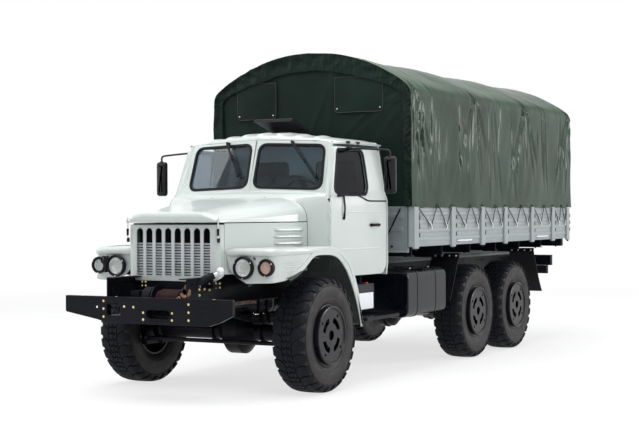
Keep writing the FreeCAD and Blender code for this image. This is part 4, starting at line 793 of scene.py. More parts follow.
def hood():
    """The bonnet lid with its rolled lip, raised middle and inner ribs."""
    rows = [arch_row(back, half, rise) for back, half, rise in HOOD_RUN]

    def raise_middle(point):
        x, y, z = point
        back = y - BUMPER_FACE
        share = abs(x) / (0.30 + 0.11 * ease(back, 0.35, 1.6))
        lift = 0.006 * (1 - ease(share, 0.93, 1.05))
        lift = lift * ease(back, 0.38, 0.55) * (1 - ease(back, 1.48, 1.58))
        return (x, y + nose_round(x, back), z + lift)

    shape = skin(Shape(), rows, 97, 70, change=raise_middle)
    shape.make("hood_lid", "hood", CAB, "cab_paint", thick=0.010, node="hood")
    ribs = Shape()
    for back in (0.75, 1.15, 1.45):
        backs, halves, rises = zip(*HOOD_RUN)
        half, rise = np.interp(back, backs, halves), np.interp(back, backs, rises)
        outer = flowing(arch_row(back, half - 0.03, rise - 0.022), 31)
        ribs.tube(outer, 0.011, 6)
    ribs.make("hood_ribs", "hood", CAB, "cab_paint")
    trim = Shape()
    for side in (-1, 1):
        trim.lathe([(0, 0.0), (0, 0.012), (0.006, 0.010), (0.012, 0.004), (0.013, 0.0)],
                   (side * 0.30, yy(1.52), 1.794), (0, -0.25, 1), 16)
    trim.make("washer_nozzles", "hood", PLASTIC, "black_rubber")


def hood_flank(along, z, depth):
    """A point of the left engine side panel, counted back from its front edge."""
    front, rear = Vector((0.500, yy(0.502))), Vector((0.7195, yy(1.606)))
    run = (rear - front).normalized()
    spot = front + run * along - Vector((run.y, -run.x)) * depth
    return (spot.x, spot.y, z)


def hood_sides():
    """Side panels with three blown louvres and the hood's latch strap each."""
    shape = Shape()
    length = math.hypot(0.2195, 1.104)
    louvres = (1.378, 1.441, 1.504)
    slots = [rounded(oblong(0.655, z - 0.014, 1.06, z + 0.010), 0.01, 3) for z in louvres]
    outline = rounded(oblong(0, 1.11, length, 1.566), 0.006, 2)
    plate(shape, outline, slots, hood_flank, 0.012, edge=0.004)
    for z in louvres:
        rows = []
        for share in np.linspace(0, 1, 25):
            along = 0.645 + 0.425 * share
            swell = 0.020 * min(1.0, math.sin(math.pi * share) * 3.2)
            rows.append([hood_flank(along, z + 0.021, 0.002), hood_flank(along, z + 0.015, -swell * 0.45),
                         hood_flank(along, z + 0.004, -swell * 0.9), hood_flank(along, z - 0.012, -swell),
                         hood_flank(along, z - 0.014, -swell + 0.003),
                         hood_flank(along, z + 0.002, -swell * 0.8 + 0.003)])
        shape.grid(rows)
    pressed_rib(shape, hood_flank(0.08, 1.19, 0), hood_flank(0.98, 1.19, 0), UPWARDS, (1, -0.2, 0), 0.03,
                0.004)
    shape.mirror()
    shape.make("engine_side_panels", "chassis", CAB, "cab_paint", node="hood_sides")
    latch = Shape()
    for side in (-1, 1):
        x, back = side * 0.492, 0.418
        hook = spots((x, back - 0.012, 1.575), (x, back - 0.030, 1.600), (x, back - 0.010, 1.612),
                     (x, back - 0.008, 1.590), (x, back - 0.010, 1.47), (x, back - 0.008, 1.43))
        latch.tube(flowing(hook, 20), 0.006, 8, 1)
        latch.lathe([(-0.03, 0.0), (-0.03, 0.010), (0.03, 0.012), (0.035, 0.0)],
                    (x, yy(back - 0.010), 1.485), UPWARDS, 12, 0)
        latch.block((x - 0.010, x + 0.010), (back - 0.012, back + 0.008), (1.395, 1.435), 0)
    latch.make("hood_latches", "chassis", [RUBBER, STEEL], "black_rubber", bevel=0.002)


GRILLE_FACE = 0.42
GRILLE_BEND = 0.055


def grille_wrap(w, z, depth):
    """A point of the grille shell, w metres round it from its middle, wrapped over rounded corners."""
    half = 0.500 - GRILLE_BEND
    side = 1 if w >= 0 else -1
    run = abs(w)
    arc = GRILLE_BEND * math.pi / 2
    if run <= half:
        return (w, yy(GRILLE_FACE + depth), z)
    if run <= half + arc:
        angle = (run - half) / GRILLE_BEND
        reach = GRILLE_BEND - depth
        return (side * (half + reach * math.sin(angle)),
                yy(GRILLE_FACE + GRILLE_BEND - reach * math.cos(angle)), z)
    return (side * (0.500 - depth), yy(GRILLE_FACE + GRILLE_BEND + run - half - arc), z)


def grille():
    """The pressed grille shell: eight round-topped slots with rolled edges, before the shutter."""
    slots = []
    for k in range(8):
        x = (k - 3.5) * 0.104
        arch = circle((x, 1.487), 0.036, 10, 0, math.pi)
        slots.append([(x - 0.036, 1.095), (x + 0.036, 1.095), (x + 0.036, 1.487)] + arch
                     + [(x - 0.036, 1.487)])
        slots[-1] = [point for i, point in enumerate(slots[-1]) if point != slots[-1][i - 1]]
    edge = 0.500 - GRILLE_BEND + GRILLE_BEND * math.pi / 2 + 0.020
    outline = rounded(((-edge, 1.10), (-0.44, 1.046), (0.44, 1.046), (edge, 1.10), (edge, 1.554),
                       (-edge, 1.554)), (0.03, 0.05, 0.05, 0.03, 0.012, 0.012), 5)
    shape = Shape()
    plate(shape, outline, slots, grille_wrap, 0.008, cell=0.034, edge=0.003)
    for slot in slots:
        edging(shape, slot, grille_wrap, ((-0.008, 0.001), (-0.006, -0.002), (-0.003, -0.003),
                                          (0.000, -0.001), (0.001, 0.007)))
    shape.make("grille_shell", "chassis", CAB, "cab_paint", node="grille")
    bolts = Shape()
    for x in (-0.43, 0.43):
        hexagon_bolt(bolts, (x, yy(GRILLE_FACE), 1.083), (0, -1, 0), 0.008, 0.006)
    bolts.make("grille_bolts", "chassis", STEEL)
    core = Shape()
    for k in range(12):
        z = 1.104 + k * 0.0245
        core.prism(((0, 0), (0.012, 0.002), (0.014, 0.016), (0.002, 0.014)), (-0.42, yy(0.446), z),
                   BACKWARDS, UPWARDS, (0.84, 0, 0), 1)
    core.block((-0.40, 0.40), (0.475, 0.60), (1.085, 1.54))
    for k in range(90):
        x = -0.395 + k * 0.79 / 89
        core.block((x - 0.0012, x + 0.0012), (0.469, 0.476), (1.09, 1.535))
    core.block((-0.415, 0.415), (0.465, 0.61), (1.52, 1.55))
    core.block((-0.415, 0.415), (0.465, 0.61), (1.08, 1.10))
    core.make("radiator_core", "chassis", [CHASSIS, SHUTTER], "chassis_paint", node="radiator")


# the wing's outline seen from the side, from its front lip over to its rear foot, and back round the arch
WING_TOP = ((0.535, 1.325), (0.62, 1.333), (0.80, 1.337), (1.10, 1.341), (1.45, 1.338), (1.56, 1.322),
            (1.65, 1.296), (1.76, 1.236), (1.848, 1.165), (1.92, 1.05), (1.991, 0.91), (2.045, 0.74),
            (2.093, 0.556))
WING_ARCH = ((2.050, 0.556), (2.020, 0.66), (1.965, 0.79), (1.89, 0.93), (1.79, 1.07), (1.706, 1.151),
             (1.60, 1.222), (1.488, 1.255), (1.33, 1.266), (1.182, 1.264), (1.11, 1.245), (1.04, 1.200),
             (0.94, 1.135), (0.82, 1.085), (0.70, 1.054))
# the wing's plan: x and back from the inner front corner round to the side
WING_PLAN = ((0.505, 0.528), (0.70, 0.528), (0.88, 0.532), (0.935, 0.545), (0.968, 0.585), (0.990, 0.65),
             (1.015, 0.78), (1.040, 0.92), (1.054, 1.06), (1.060, 1.20), (1.060, 1.70), (1.060, 2.10))


def wing_path():
    """The plan's fine points with their running lengths."""
    points = [Vector(point) for point in flowing(WING_PLAN, 111)]
    lengths = [0.0]
    for before, after in zip(points, points[1:]):
        lengths.append(lengths[-1] + (after - before).length)
    return points, lengths


def wing():
    """Both front wings: a wall wrapped round the corner, deck, raised band, ribs and inner apron."""
    points, lengths = wing_path()
    xs = [point.x for point in points]
    ys = [point.y for point in points]
    # the plan's first point past the corner, and how far back it is
    bend, corner = 25, 0.535

    def along(back):
        return float(np.interp(back, ys[bend:], lengths[bend:])) if back > corner else lengths[bend]

    def wall(w, z, depth):
        x, y = np.interp(w, lengths, xs), np.interp(w, lengths, ys)
        ahead_x, ahead_y = np.interp(w + 0.004, lengths, xs), np.interp(w + 0.004, lengths, ys)
        back_x, back_y = np.interp(w - 0.004, lengths, xs), np.interp(w - 0.004, lengths, ys)
        run = Vector((ahead_x - back_x, ahead_y - back_y)).normalized()
        return (float(x) - run.y * depth, yy(float(y) + run.x * depth), z)

    top = [(along(back), z) for back, z in flowing(WING_TOP, 49)]
    arch = [(along(back), z) for back, z in flowing(WING_ARCH, 49)]
    outline = [(0.205, 1.032), (0.105, 1.085), (0.022, 1.165), (0.0, 1.26), (0.0, 1.322)] + top[1:] + arch
    outline += [(lengths[bend] + 0.05, 1.040)]
    outline = [point for k, point in enumerate(outline)
               if (Vector(point) - Vector(outline[k - 1])).length > 0.004]
    shape = Shape()
    plate(shape, outline, [], wall, 0.006, cell=0.045, edge=0.003)
    rim_band(shape, outline, wall, 0.001, 0.044, 0.007)
    visor = []
    for w in np.linspace(0.0, along(1.50), 60):
        z = 1.328 if w < lengths[bend] else float(np.interp(w, [point[0] for point in top],
                                                          [point[1] for point in top]))
        proud = 0.016 * (1 - ease(w, along(0.9), along(1.5))) + 0.002
        visor.append([wall(w, z - 0.056, 0.001), wall(w, z - 0.050, -proud * 0.7),
                      wall(w, z - 0.030, -proud), wall(w, z - 0.010, -proud * 0.85),
                      wall(w, z + 0.001, -proud * 0.35), wall(w, z + 0.0045, 0.006)])
    shape.grid([flowing(row, 14) for row in visor])
    for z in (1.140, 1.178, 1.216):
        w0, w1 = along(0.66), along(0.86 + (z - 1.140) * 1.7)
        rows = []
        for w in np.linspace(w0, w1, 12):
            taper = min(1.0, 6 * min(w - w0, w1 - w) / (w1 - w0) + 0.05)
            rows.append([wall(w, z + 0.011, 0.001), wall(w, z + 0.005, -0.007 * taper),
                         wall(w, z - 0.005, -0.007 * taper), wall(w, z - 0.011, 0.001)])
        shape.grid(rows)
    # deck over the wheel, laid out by the running length of the top line
    top_line = flowing(((0.54, 1.337), (0.62, 1.345)) + tuple((b, z + 0.009) for b, z in WING_TOP[2:]), 121)
    runs = [0.0]
    for before, after in zip(top_line, top_line[1:]):
        runs.append(runs[-1] + float(np.linalg.norm(after - before)))
    line_y = [float(p[0]) for p in top_line]
    line_z = [min(float(p[1]), 1.340) for p in top_line]

    def deck(x, s, depth):
        y, z = np.interp(s, runs, line_y), np.interp(s, runs, line_z)
        dy = np.interp(s + 0.01, runs, line_y) - np.interp(s - 0.01, runs, line_y)
        dz = np.interp(s + 0.01, runs, line_z) - np.interp(s - 0.01, runs, line_z)
        length = math.hypot(dy, dz)
        return (x, yy(float(y + depth * dz / length)), float(z - depth * dy / length))

    def run_of(back):
        return float(np.interp(back, line_y, runs))

    outer = [(float(np.interp(back, ys[bend:], xs[bend:])), run_of(back))
             for back in np.linspace(0.60, 2.09, 40)]
    inner = [(0.935, run_of(2.09)), (0.935, run_of(1.70)), (0.74, run_of(1.625)), (0.515, run_of(0.51))]
    front = [(0.88, run_of(0.541)), (0.935, run_of(0.552)), (0.962, run_of(0.575))]
    plate(shape, inner + front + outer, [], deck, 0.024, cell=0.05, edge=0.018)
    shape.mirror()
    shape.make("wings", "chassis", CAB, "cab_paint", node="fenders")
    liner = Shape()
    rows = []
    for back, z in flowing(WING_ARCH, 40):
        z = min(z + 0.02, 1.295)
        rows.append(spots((1.050, back + 0.012, z - 0.02), (1.046, back + 0.012, z),
                          (0.80, back + 0.015, z + 0.010), (0.66, back + 0.012, z + 0.006),
                          (0.625, back + 0.010, z - 0.02), (0.620, back + 0.006, min(z - 0.05, 1.16)),
                          (0.620, back, min(1.035, z - 0.08))))
    liner.grid(rows)
    liner.mirror()
    liner.make("wing_liners", "chassis", LINER_AND_PAINTED_SHADE, "black_rubber", thick=0.004)


# ------------------------------------------------------------------ cowl, screen and roof
COWL_MIDDLE = ((1.0, 1.568), (0.997, 1.66), (0.988, 1.74), (0.955, 1.795), (0.88, 1.822), (0.62, 1.835),
               (0.32, 1.842), (0.0, 1.846))
COWL_REAR = ((1.0, 1.568), (0.999, 1.66), (0.997, 1.75), (0.985, 1.805), (0.95, 1.838), (0.65, 1.862),
             (0.35, 1.875), (0.0, 1.880))


def cowl():
    """Cowl that widens from the hood to the doors, with the bulkhead's flange and the hinges."""
    rear_hood = [(share, SEAM_Z - 0.006 + 0.240 * rise) for share, rise in HOOD_REAR]

    def row(back, half, mix, shape):
        arch = [(half * (a0 * (1 - mix) + a1 * mix), yy(back), z0 * (1 - mix) + z1 * mix)
                for (a0, z0), (a1, z1) in zip(rear_hood, shape)]
        side = [(half, yy(back), z) for z in (1.10, 1.25, 1.42)]
        left = side + arch
        return left + [(-x, y, z) for x, y, z in left[-2::-1]]

    rows = [row(1.6165, 0.716, 0, COWL_MIDDLE), row(1.622, 0.734, 0.05, COWL_MIDDLE),
            row(1.640, 0.795, 0.35, COWL_MIDDLE), row(1.660, 0.866, 0.7, COWL_MIDDLE),
            row(1.673, 0.908, 0.9, COWL_MIDDLE), row(1.681, 0.926, 1.0, COWL_MIDDLE),
            row(1.6845, 0.924, 1.0, COWL_MIDDLE)]
    shape = skin(Shape(), rows, 121, 36)
    cap = [row(1.684, 0.905, 1, COWL_MIDDLE), row(1.70, 0.882, 1, COWL_MIDDLE),
           row(1.74, 0.878, 1, COWL_REAR), row(1.795, 0.868, 1, COWL_REAR)]
    cap = [[point for point in line if point[2] > 1.70] for line in cap]
    skin(shape, cap, 81, 12)
    skin(shape,
         [row(1.6845, 0.924, 1, COWL_MIDDLE), row(1.686, 0.90, 1, COWL_MIDDLE),
          row(1.690, 0.884, 1, COWL_MIDDLE)], 121, 6)
    # its foot stands inside the wheel arch: painted shade, in the liner's dark colour
    for k, face in enumerate(shape.faces):
        if max(shape.points[index][2] for index in face) < 1.225:
            shape.slots[k] = 1
    shape.make("cowl", "chassis", [CAB, LINER_AND_PAINTED_SHADE], "cab_paint", thick=0.008, node="cab_front")
    bulk = Shape()
    bulk.block((-0.86, -0.27), (1.70, 1.712), (1.12, 1.70)).block((0.27, 0.86), (1.70, 1.712), (1.12, 1.70))
    bulk.block((-0.27, 0.27), (1.70, 1.712), (1.19, 1.70))
    bulk.make("bulkhead", "chassis", TRIM, "cab_paint", bevel=0.003)
    hinges = Shape()
    for low, high in ((1.390, 1.450), (1.600, 1.660)):
        for side in (-1, 1):
            hinges.tube(spots((side * 0.925, 1.6945, low - 0.004), (side * 0.925, 1.6945, high + 0.004)),
                        0.0108, 14)
            hinges.block((side * 0.905, side * 0.929), (1.668, 1.688), (low, high))
            for z in (low - 0.005, high + 0.002):
                hinges.lathe([(0, 0), (0, 0.007), (0.003, 0.006), (0.003, 0)],
                             (side * 0.925, yy(1.6945), z), UPWARDS, 10)
    hinges.make("door_hinges", "chassis", CAB, "cab_paint", bevel=0.002)


SCREEN_CORNERS = ((0, 1.722, 1.885), (0.800, 1.796, 1.845), (0.775, 1.966, 2.338), (0, 1.868, 2.372))


def screen_frame():
    """Origin and directions of the left screen half's plane."""
    origin, outer, head = (Vector((x, yy(back), z))
                           for x, back, z in (SCREEN_CORNERS[k] for k in (0, 1, 3)))
    across = (outer - origin).normalized()
    up = head - origin
    up = (up - across * up.dot(across)).normalized()
    return origin, across, up, across.cross(up)


def screen():
    """Two flat frames in a shallow V with their posts, seals, panes and wipers."""
    origin, across, up, normal = screen_frame()
    corners = [Vector((x, yy(back), z)) - origin for x, back, z in SCREEN_CORNERS]
    (_, _), (foot_u, foot_v), (head_u, head_v), (_, centre_v) = [(s.dot(across), s.dot(up))
                                                                 for s in corners]
    place = flat_place(origin, across, up, normal)
    rim_width = 0.047
    hole = rounded(((rim_width, rim_width - 0.012), (foot_u - rim_width, foot_v + rim_width),
                    (head_u - rim_width, head_v - rim_width), (rim_width, centre_v - rim_width)), 0.075, 8)
    outline = [(0.0, -0.060), (foot_u, foot_v - 0.060), (head_u + 0.02, head_v), (0.0, centre_v)]
    shape = Shape()
    plate(shape, outline, [hole], place, 0.028, edge=0.006)
    posts = [(1.790,
              ((0.772, 1.772), (0.845, 1.716), (0.884, 1.722), (0.890, 1.752), (0.85, 1.80),
               (0.794, 1.828))),
             (1.842,
              ((0.775, 1.794), (0.84, 1.742), (0.872, 1.744), (0.878, 1.772), (0.845, 1.812),
               (0.794, 1.84))),
             (2.08,
              ((0.765, 1.876), (0.815, 1.842), (0.846, 1.846), (0.852, 1.868), (0.825, 1.900),
               (0.78, 1.930))),
             (2.330,
              ((0.755, 1.956), (0.786, 1.925), (0.812, 1.922), (0.820, 1.940), (0.802, 1.966),
               (0.762, 2.004)))]
    rows = [[(x, yy(back), z) for x, back in rounded(foot, 0.014, 3)] for z, foot in posts]
    columns = list(zip(*rows))
    fine = [flowing(column, 14) for column in columns]
    shape.grid([[column[k] for column in fine] for k in range(14)], closed_rows=True)
    shape.mirror()
    shape.make("windscreen_surround", "chassis", CAB, "cab_paint", node="windscreen_frame")
    seal = Shape()
    gasket(seal, hole, place, 0.024, 0.009)
    seal.mirror()
    seal.make("windscreen_seals", "chassis", RUBBER, "black_rubber")
    pane = Shape()
    plate(pane, set_in(hole, 0.001), [], flat_place(origin - normal * 0.010, across, up, normal), 0.005,
          edge=0.001)
    pane.mirror()
    pane.make("windscreen_panes", "chassis", GLASS, "glass", weld=0.00005, node="windscreen")
    wipers = Shape()
    for side, reach, tip in ((1, 0.395, 0.70), (-1, 0.325, 0.145)):
        def spot(u, v, out):
            point = origin + across * u + up * v + normal * out
            return (side * point.x, point.y, point.z)
        head = centre_v - 0.022
        wipers.tube([spot(reach, head + 0.012, 0.0), spot(reach, head + 0.008, 0.042)], 0.014, 12)
        middle = (reach + tip) / 2
        wipers.tube([spot(reach, head + 0.006, 0.038), spot(middle, head - 0.17, 0.042)], [0.014, 0.011], 8)
        wipers.tube([spot(reach * 0.62 + tip * 0.38, head - 0.12, 0.020), spot(tip, head - 0.345, 0.020)],
                    0.014, 8)
        wipers.tube([spot(middle, head - 0.17, 0.040),
                     spot(middle + (tip - reach) * 0.06, head - 0.20, 0.020)], 0.007, 6)
    wipers.make("wipers", "chassis", RUBBER, "black_rubber")


ROOF_LINE = ((-0.890, -0.004), (-0.872, 0.006), (-0.845, 0.020), (-0.79, 0.038), (-0.70, 0.054),
             (-0.43, 0.084), (-0.2, 0.105), (0.0, 0.112), (0.2, 0.105), (0.43, 0.084), (0.70, 0.054),
             (0.79, 0.038), (0.845, 0.020), (0.872, 0.006), (0.890, -0.004))
ROOF_RUN = ((0.012, 0.885, 0.10), (0.002, 0.895, 0.22), (0.0, 0.90, 0.42), (0.015, 0.905, 0.62),
            (0.05, 0.925, 0.76), (0.12, 0.96, 0.88), (0.30, 0.995, 1.0), (0.60, 1.0, 1.0),
            (0.80, 1.0, 0.98), (0.87, 0.998, 0.94), (0.905, 0.99, 0.80), (0.915, 0.98, 0.50))


HATCH_X, HATCH_HALF = -0.085, 0.231
HATCH_HINGE, HATCH_HINGE_Z = 2.745, 2.478
# how far the lid stands open at rest, in degrees
HATCH_OPEN = 16


def roof():
    """Arched roof with a rolled front edge, seven pressed ribs, rain gutters and the hatch's collar."""
    rows = []
    for back, width, rise in ROOF_RUN:
        fade = max(0.0, 1 - back / 0.35)
        rows.append([(x * width, yy(1.884 + 0.121 * abs(x) * fade + back), 2.338 + z * rise)
                     for x, z in ROOF_LINE])

    def ribs(point):
        x, y, z = point
        back = y - yy(1.884) - 0.10 * abs(x)
        run = ease(back, 0.012, 0.045) * (1 - ease(back, 0.24, 0.36))
        lift = sum(bead(x, (k - 3) * 0.200, 0.045) for k in range(7))
        return (x, y, z + 0.015 * run * min(1.0, lift))

    shape = skin(Shape(), rows, 161, 60, change=ribs)
    shape.make("roof_skin", "chassis", CAB, "cab_paint", thick=0.012, node="cab_roof")
    trim = Shape()
    for side in (-1, 1):
        gutter = spots((side * 0.800, 1.93, 2.322), (side * 0.850, 1.965, 2.330),
                       (side * 0.889, 2.05, 2.333), (side * 0.897, 2.20, 2.334),
                       (side * 0.905, 2.50, 2.334), (side * 0.912, 2.78, 2.333))
        rows = []
        for x, y, z in flowing(gutter, 30):
            rows.append([(x - side * 0.022, y, z + 0.012), (x, y, z - 0.004),
                         (x + side * 0.008, y, z + 0.006), (x + side * 0.011, y, z + 0.004),
                         (x + side * 0.003, y, z - 0.011), (x - side * 0.024, y, z - 0.004)])
        trim.grid(rows, 0, closed_rows=True)
    trim.make("rain_gutters", "chassis", CAB, "cab_paint")
    brackets = Shape()
    for side in (-1, 1):
        for back in (2.07, 2.27):
            brackets.block((side * 0.890, side * 0.925), (back, back + 0.035), (2.325, 2.350))
    brackets.make("gutter_brackets", "chassis", PLASTIC, "black_rubber", bevel=0.003)
    collar = Shape()
    x = HATCH_X
    outer = rounded(oblong(x - HATCH_HALF + 0.012, 2.317, x + HATCH_HALF - 0.012, 2.733), 0.04, 5)
    inner = set_in(outer, 0.03)
    rows = [[(a, yy(b), z) for a, b in loop]
            for loop, z in ((outer, 2.42), (outer, 2.462), (set_in(outer, 0.004), 2.467),
                            (set_in(outer, 0.026), 2.467), (inner, 2.462), (inner, 2.42))]
    collar.grid(rows, closed_rows=True)
    for side in (-1, 1):
        collar.tube(spots(*((x + side * reach, HATCH_HINGE, HATCH_HINGE_Z) for reach in (0.102, 0.126))),
                    0.012, 14)
        collar.block((x + side * 0.102, x + side * 0.126), (2.737, 2.753), (2.42, 2.478))
    collar.make("hatch_collar", "chassis", CAB, "cab_paint")


def hatch():
    """The black hatch lid, standing open, with a raised band, two pressed ribs and its hinge."""
    x, half, length = HATCH_X, HATCH_HALF, 0.440
    hinge = Vector((0, yy(HATCH_HINGE), HATCH_HINGE_Z))
    outline = rounded(oblong(x - half, -length - 0.004, x + half, -0.016), 0.035, 5)
    shape = Shape()
    flat = lambda u, v, depth: (u, hinge.y + v, hinge.z + 0.016 - depth)
    plate(shape, outline, [], flat, 0.022, cell=0.05, edge=0.009)
    rim_band(shape, outline, flat, 0.03, 0.07, 0.004)
    for k in (-1, 1):
        pressed_rib(shape, (x + k * 0.09, hinge.y - 0.36, hinge.z + 0.015),
                    (x + k * 0.09, hinge.y - 0.10, hinge.z + 0.015), LEFTWARDS, UPWARDS, 0.03, 0.004)
    shape.box((x - half + 0.01, hinge.y - length - 0.004, hinge.z - 0.019),
              (x + half - 0.01, hinge.y - length + 0.004, hinge.z - 0.002))
    shape.tube([(x - 0.13, hinge.y, hinge.z), (x + 0.13, hinge.y, hinge.z)], 0.0078, 12)
    shape.box((x - 0.088, hinge.y - 0.022, hinge.z - 0.005), (x + 0.088, hinge.y, hinge.z + 0.006))
    turn = Matrix.Rotation(math.radians(-HATCH_OPEN), 4, "X")
    shape.points = [tuple(hinge + turn @ (Vector(point) - hinge)) for point in shape.points]
    shape.make("hatch_lid", "roof_hatch", PLASTIC, "chassis_paint", node="roof_hatch")


# ------------------------------------------------------------------ doors
DOOR_TURN = math.atan2(0.070, 1.060)
DOOR_LINE = ((0, 1.310), (0, 1.700), (0.060, 1.800), (0.217, 2.300), (1.053, 2.300), (1.053, 1.110),
             (0.983, 1.040), (0.290, 1.040), (0.252, 1.108), (0.232, 1.150), (0.205, 1.208), (0.152, 1.262),
             (0.100, 1.288))
DOOR_ROUND = (0.03, 0.05, 0.08, 0.05, 0.06, 0.06, 0.04, 0.02, 0.02, 0.02, 0.02, 0.02, 0.02)
DOOR_WINDOW = ((0.112, 1.840), (0.268, 2.266), (0.735, 2.266), (0.745, 2.10), (0.745, 1.900),
               (0.690, 1.838), (0.40, 1.832))
SIDE_Z = (1.030, 1.120, 1.200, 1.45, 1.700, 1.775, 1.805, 1.835, 1.860, 2.10, 2.345)
SIDE_IN = (0.012, 0.004, 0.0, 0.0, 0.0, 0.003, 0.011, 0.024, 0.032, 0.068, 0.105)


def door_place(back, z, depth):
    """A point of the left door, counted back from its front edge, in the truck."""
    inwards = -float(np.interp(z, SIDE_Z, SIDE_IN)) - depth
    return (0.930 + inwards * math.cos(DOOR_TURN) + back * math.sin(DOOR_TURN),
            yy(1.690) - inwards * math.sin(DOOR_TURN) + back * math.cos(DOOR_TURN), z)


def flipped(shape, side):
    if side < 0:
        shape.points = [(-x, y, z) for x, y, z in shape.points]
    return shape


def door(hand, side):
    """A door with its pressed skin, window seal, pane, handle and inner card."""
    body = f"{hand}_door"
    outline = rounded(DOOR_LINE, DOOR_ROUND, 5)
    window = rounded(DOOR_WINDOW, (0.06, 0.05, 0.06, 0.1, 0.12, 0.12, 0.2), 7)
    shape = Shape()
    plate(shape, outline, [window], door_place, 0.036, cell=0.045, edge=0.006)
    for z in (1.30, 1.66):
        rows = []
        for back in np.linspace(0.16, 0.96, 20):
            taper = min(1.0, 8 * min(back - 0.16, 0.96 - back) / 0.8 + 0.02)
            rows.append([door_place(back, z + 0.012, 0.001), door_place(back, z + 0.004, -0.0025 * taper),
                         door_place(back, z - 0.004, -0.0025 * taper), door_place(back, z - 0.012, 0.001)])
        shape.grid(rows)
    flipped(shape, side).make(f"{hand}_door_skin", body, CAB, "cab_paint", node=f"{hand}_door")
    trim = Shape()
    gasket(trim, window, door_place, 0.020, 0.007)
    belt = [door_place(back, z, -0.003) for back, z in ((0.503, 1.826), (0.60, 1.800), (0.696, 1.772),
                                                        (0.85, 1.769), (1.045, 1.769))]
    trim.tube(flowing(belt, 24), 0.0075, 6)
    handle = [door_place(0.74, 1.530, 0.0), door_place(0.745, 1.531, -0.028),
              door_place(0.80, 1.531, -0.034), door_place(0.865, 1.531, -0.028),
              door_place(0.87, 1.530, 0.0)]
    trim.tube(flowing(handle, 16), [0.016] * 3 + [0.014] * 10 + [0.016] * 3, 10)
    spot = door_place(0.905, 1.53, 0.0)
    trim.lathe([(0, 0), (0, 0.013), (0.006, 0.012), (0.007, 0.0)], spot, (1, -0.066, 0), 16)
    stalk = [door_place(0.225, 1.595, -0.010), door_place(0.230, 1.70, -0.016),
             door_place(0.238, 1.812, -0.014)]
    trim.tube(flowing(stalk, 12), [0.011] * 3 + [0.0085] * 9, 8)
    trim.tube([door_place(0.130, 1.815, -0.016), door_place(0.310, 1.828, -0.012)], 0.011, 8)
    trim.tube([door_place(0.226, 1.60, 0.0), door_place(0.226, 1.60, -0.014)], 0.014, 10)
    flipped(trim, side).make(f"{hand}_door_trim", body, RUBBER, "black_rubber")
    pane = Shape()
    plate(pane, set_in(turned(window), 0.0015), [],
          lambda u, v, depth: door_place(u, v, depth + 0.016), 0.005, cell=0.08, edge=0.001)
    flipped(pane, side).make(f"{hand}_door_pane", body, DOOR_GLASS_PAINTED_SHADE, "glass", weld=0.00005,
                             node=f"{hand}_door_glass")
    card = Shape()
    inner = rounded(((0.10, 1.32), (0.10, 1.70), (0.16, 1.80), (0.99, 1.80), (0.99, 1.13), (0.94, 1.09),
                     (0.33, 1.09), (0.26, 1.22)), 0.04, 4)
    plate(card, inner, [], lambda u, v, depth: door_place(u, v, 0.046 - depth), 0.010, cell=0.07,
          edge=0.004)
    card.tube(flowing([door_place(0.45, 1.62, 0.048), door_place(0.46, 1.62, 0.085),
                       door_place(0.66, 1.66, 0.085), door_place(0.67, 1.66, 0.048)], 14), 0.011, 8)
    crank = door_place(0.40, 1.42, 0.048)
    card.tube([crank, door_place(0.40, 1.42, 0.07), door_place(0.50, 1.46, 0.072),
               door_place(0.50, 1.46, 0.10)], 0.008, 8)
    flipped(card, side).make(f"{hand}_door_card", body, TRIM, "interior")
    mirror(hand, side, body)


def mirror(hand, side, body):
    """A tall outside mirror on its tube arm."""
    x, y, z = 1.336, yy(2.138), 2.015
    shape = Shape()
    face = rounded(oblong(-0.062, -0.180, 0.062, 0.180), 0.035, 6)
    rows = []
    for inset, depth in ((0.052, -0.027), (0.030, -0.026), (0.012, -0.020), (0.003, -0.008), (0.0, 0.006),
                         (0.0, 0.017), (0.004, 0.020), (0.010, 0.018), (0.011, 0.014)):
        rows.append([(x + u, y + depth, z + v) for u, v in set_in(face, inset)])
    shape.grid(rows, closed_rows=True)
    shape.add(rows[0], [tuple(range(len(rows[0])))])
    glass_face = [(px, y + 0.0145, pz) for px, _, pz in rows[-1]]
    shape.add(glass_face, [tuple(reversed(range(len(glass_face))))], 1)
    arm = [(0.905, y, z + 0.262), (1.00, y, z + 0.262), (1.20, y, z + 0.250), (1.31, y, z + 0.240),
           (1.334, y, z + 0.222), (x, y, z + 0.19), (x, y, z + 0.13)]
    shape.tube(flowing(arm, 34), 0.010, 10)
    shape.tube([(x, y - 0.004, z + 0.185), (x, y - 0.004, z + 0.155)], 0.016, 10)
    shape.box((0.880, y - 0.030, z + 0.243), (0.912, y + 0.028, z + 0.279))
    for bolt_y in (y - 0.018, y + 0.016):
        hexagon_bolt(shape, (0.912, bolt_y, z + 0.261), LEFTWARDS, 0.006, 0.005)
    flipped(shape, side).make(f"{hand}_mirror_head", body, [PLASTIC, MIRROR], "mirror_plastic",
                              node=f"{hand}_mirror")


# ------------------------------------------------------------------ bumper, winch and lamps
BUMPER_LINE = ((-0.885, 0.921), (-0.885, 0.775), (-0.530, 0.715), (-0.425, 0.689), (0.650, 0.689),
               (0.760, 0.722), (0.895, 0.785), (0.895, 0.921))


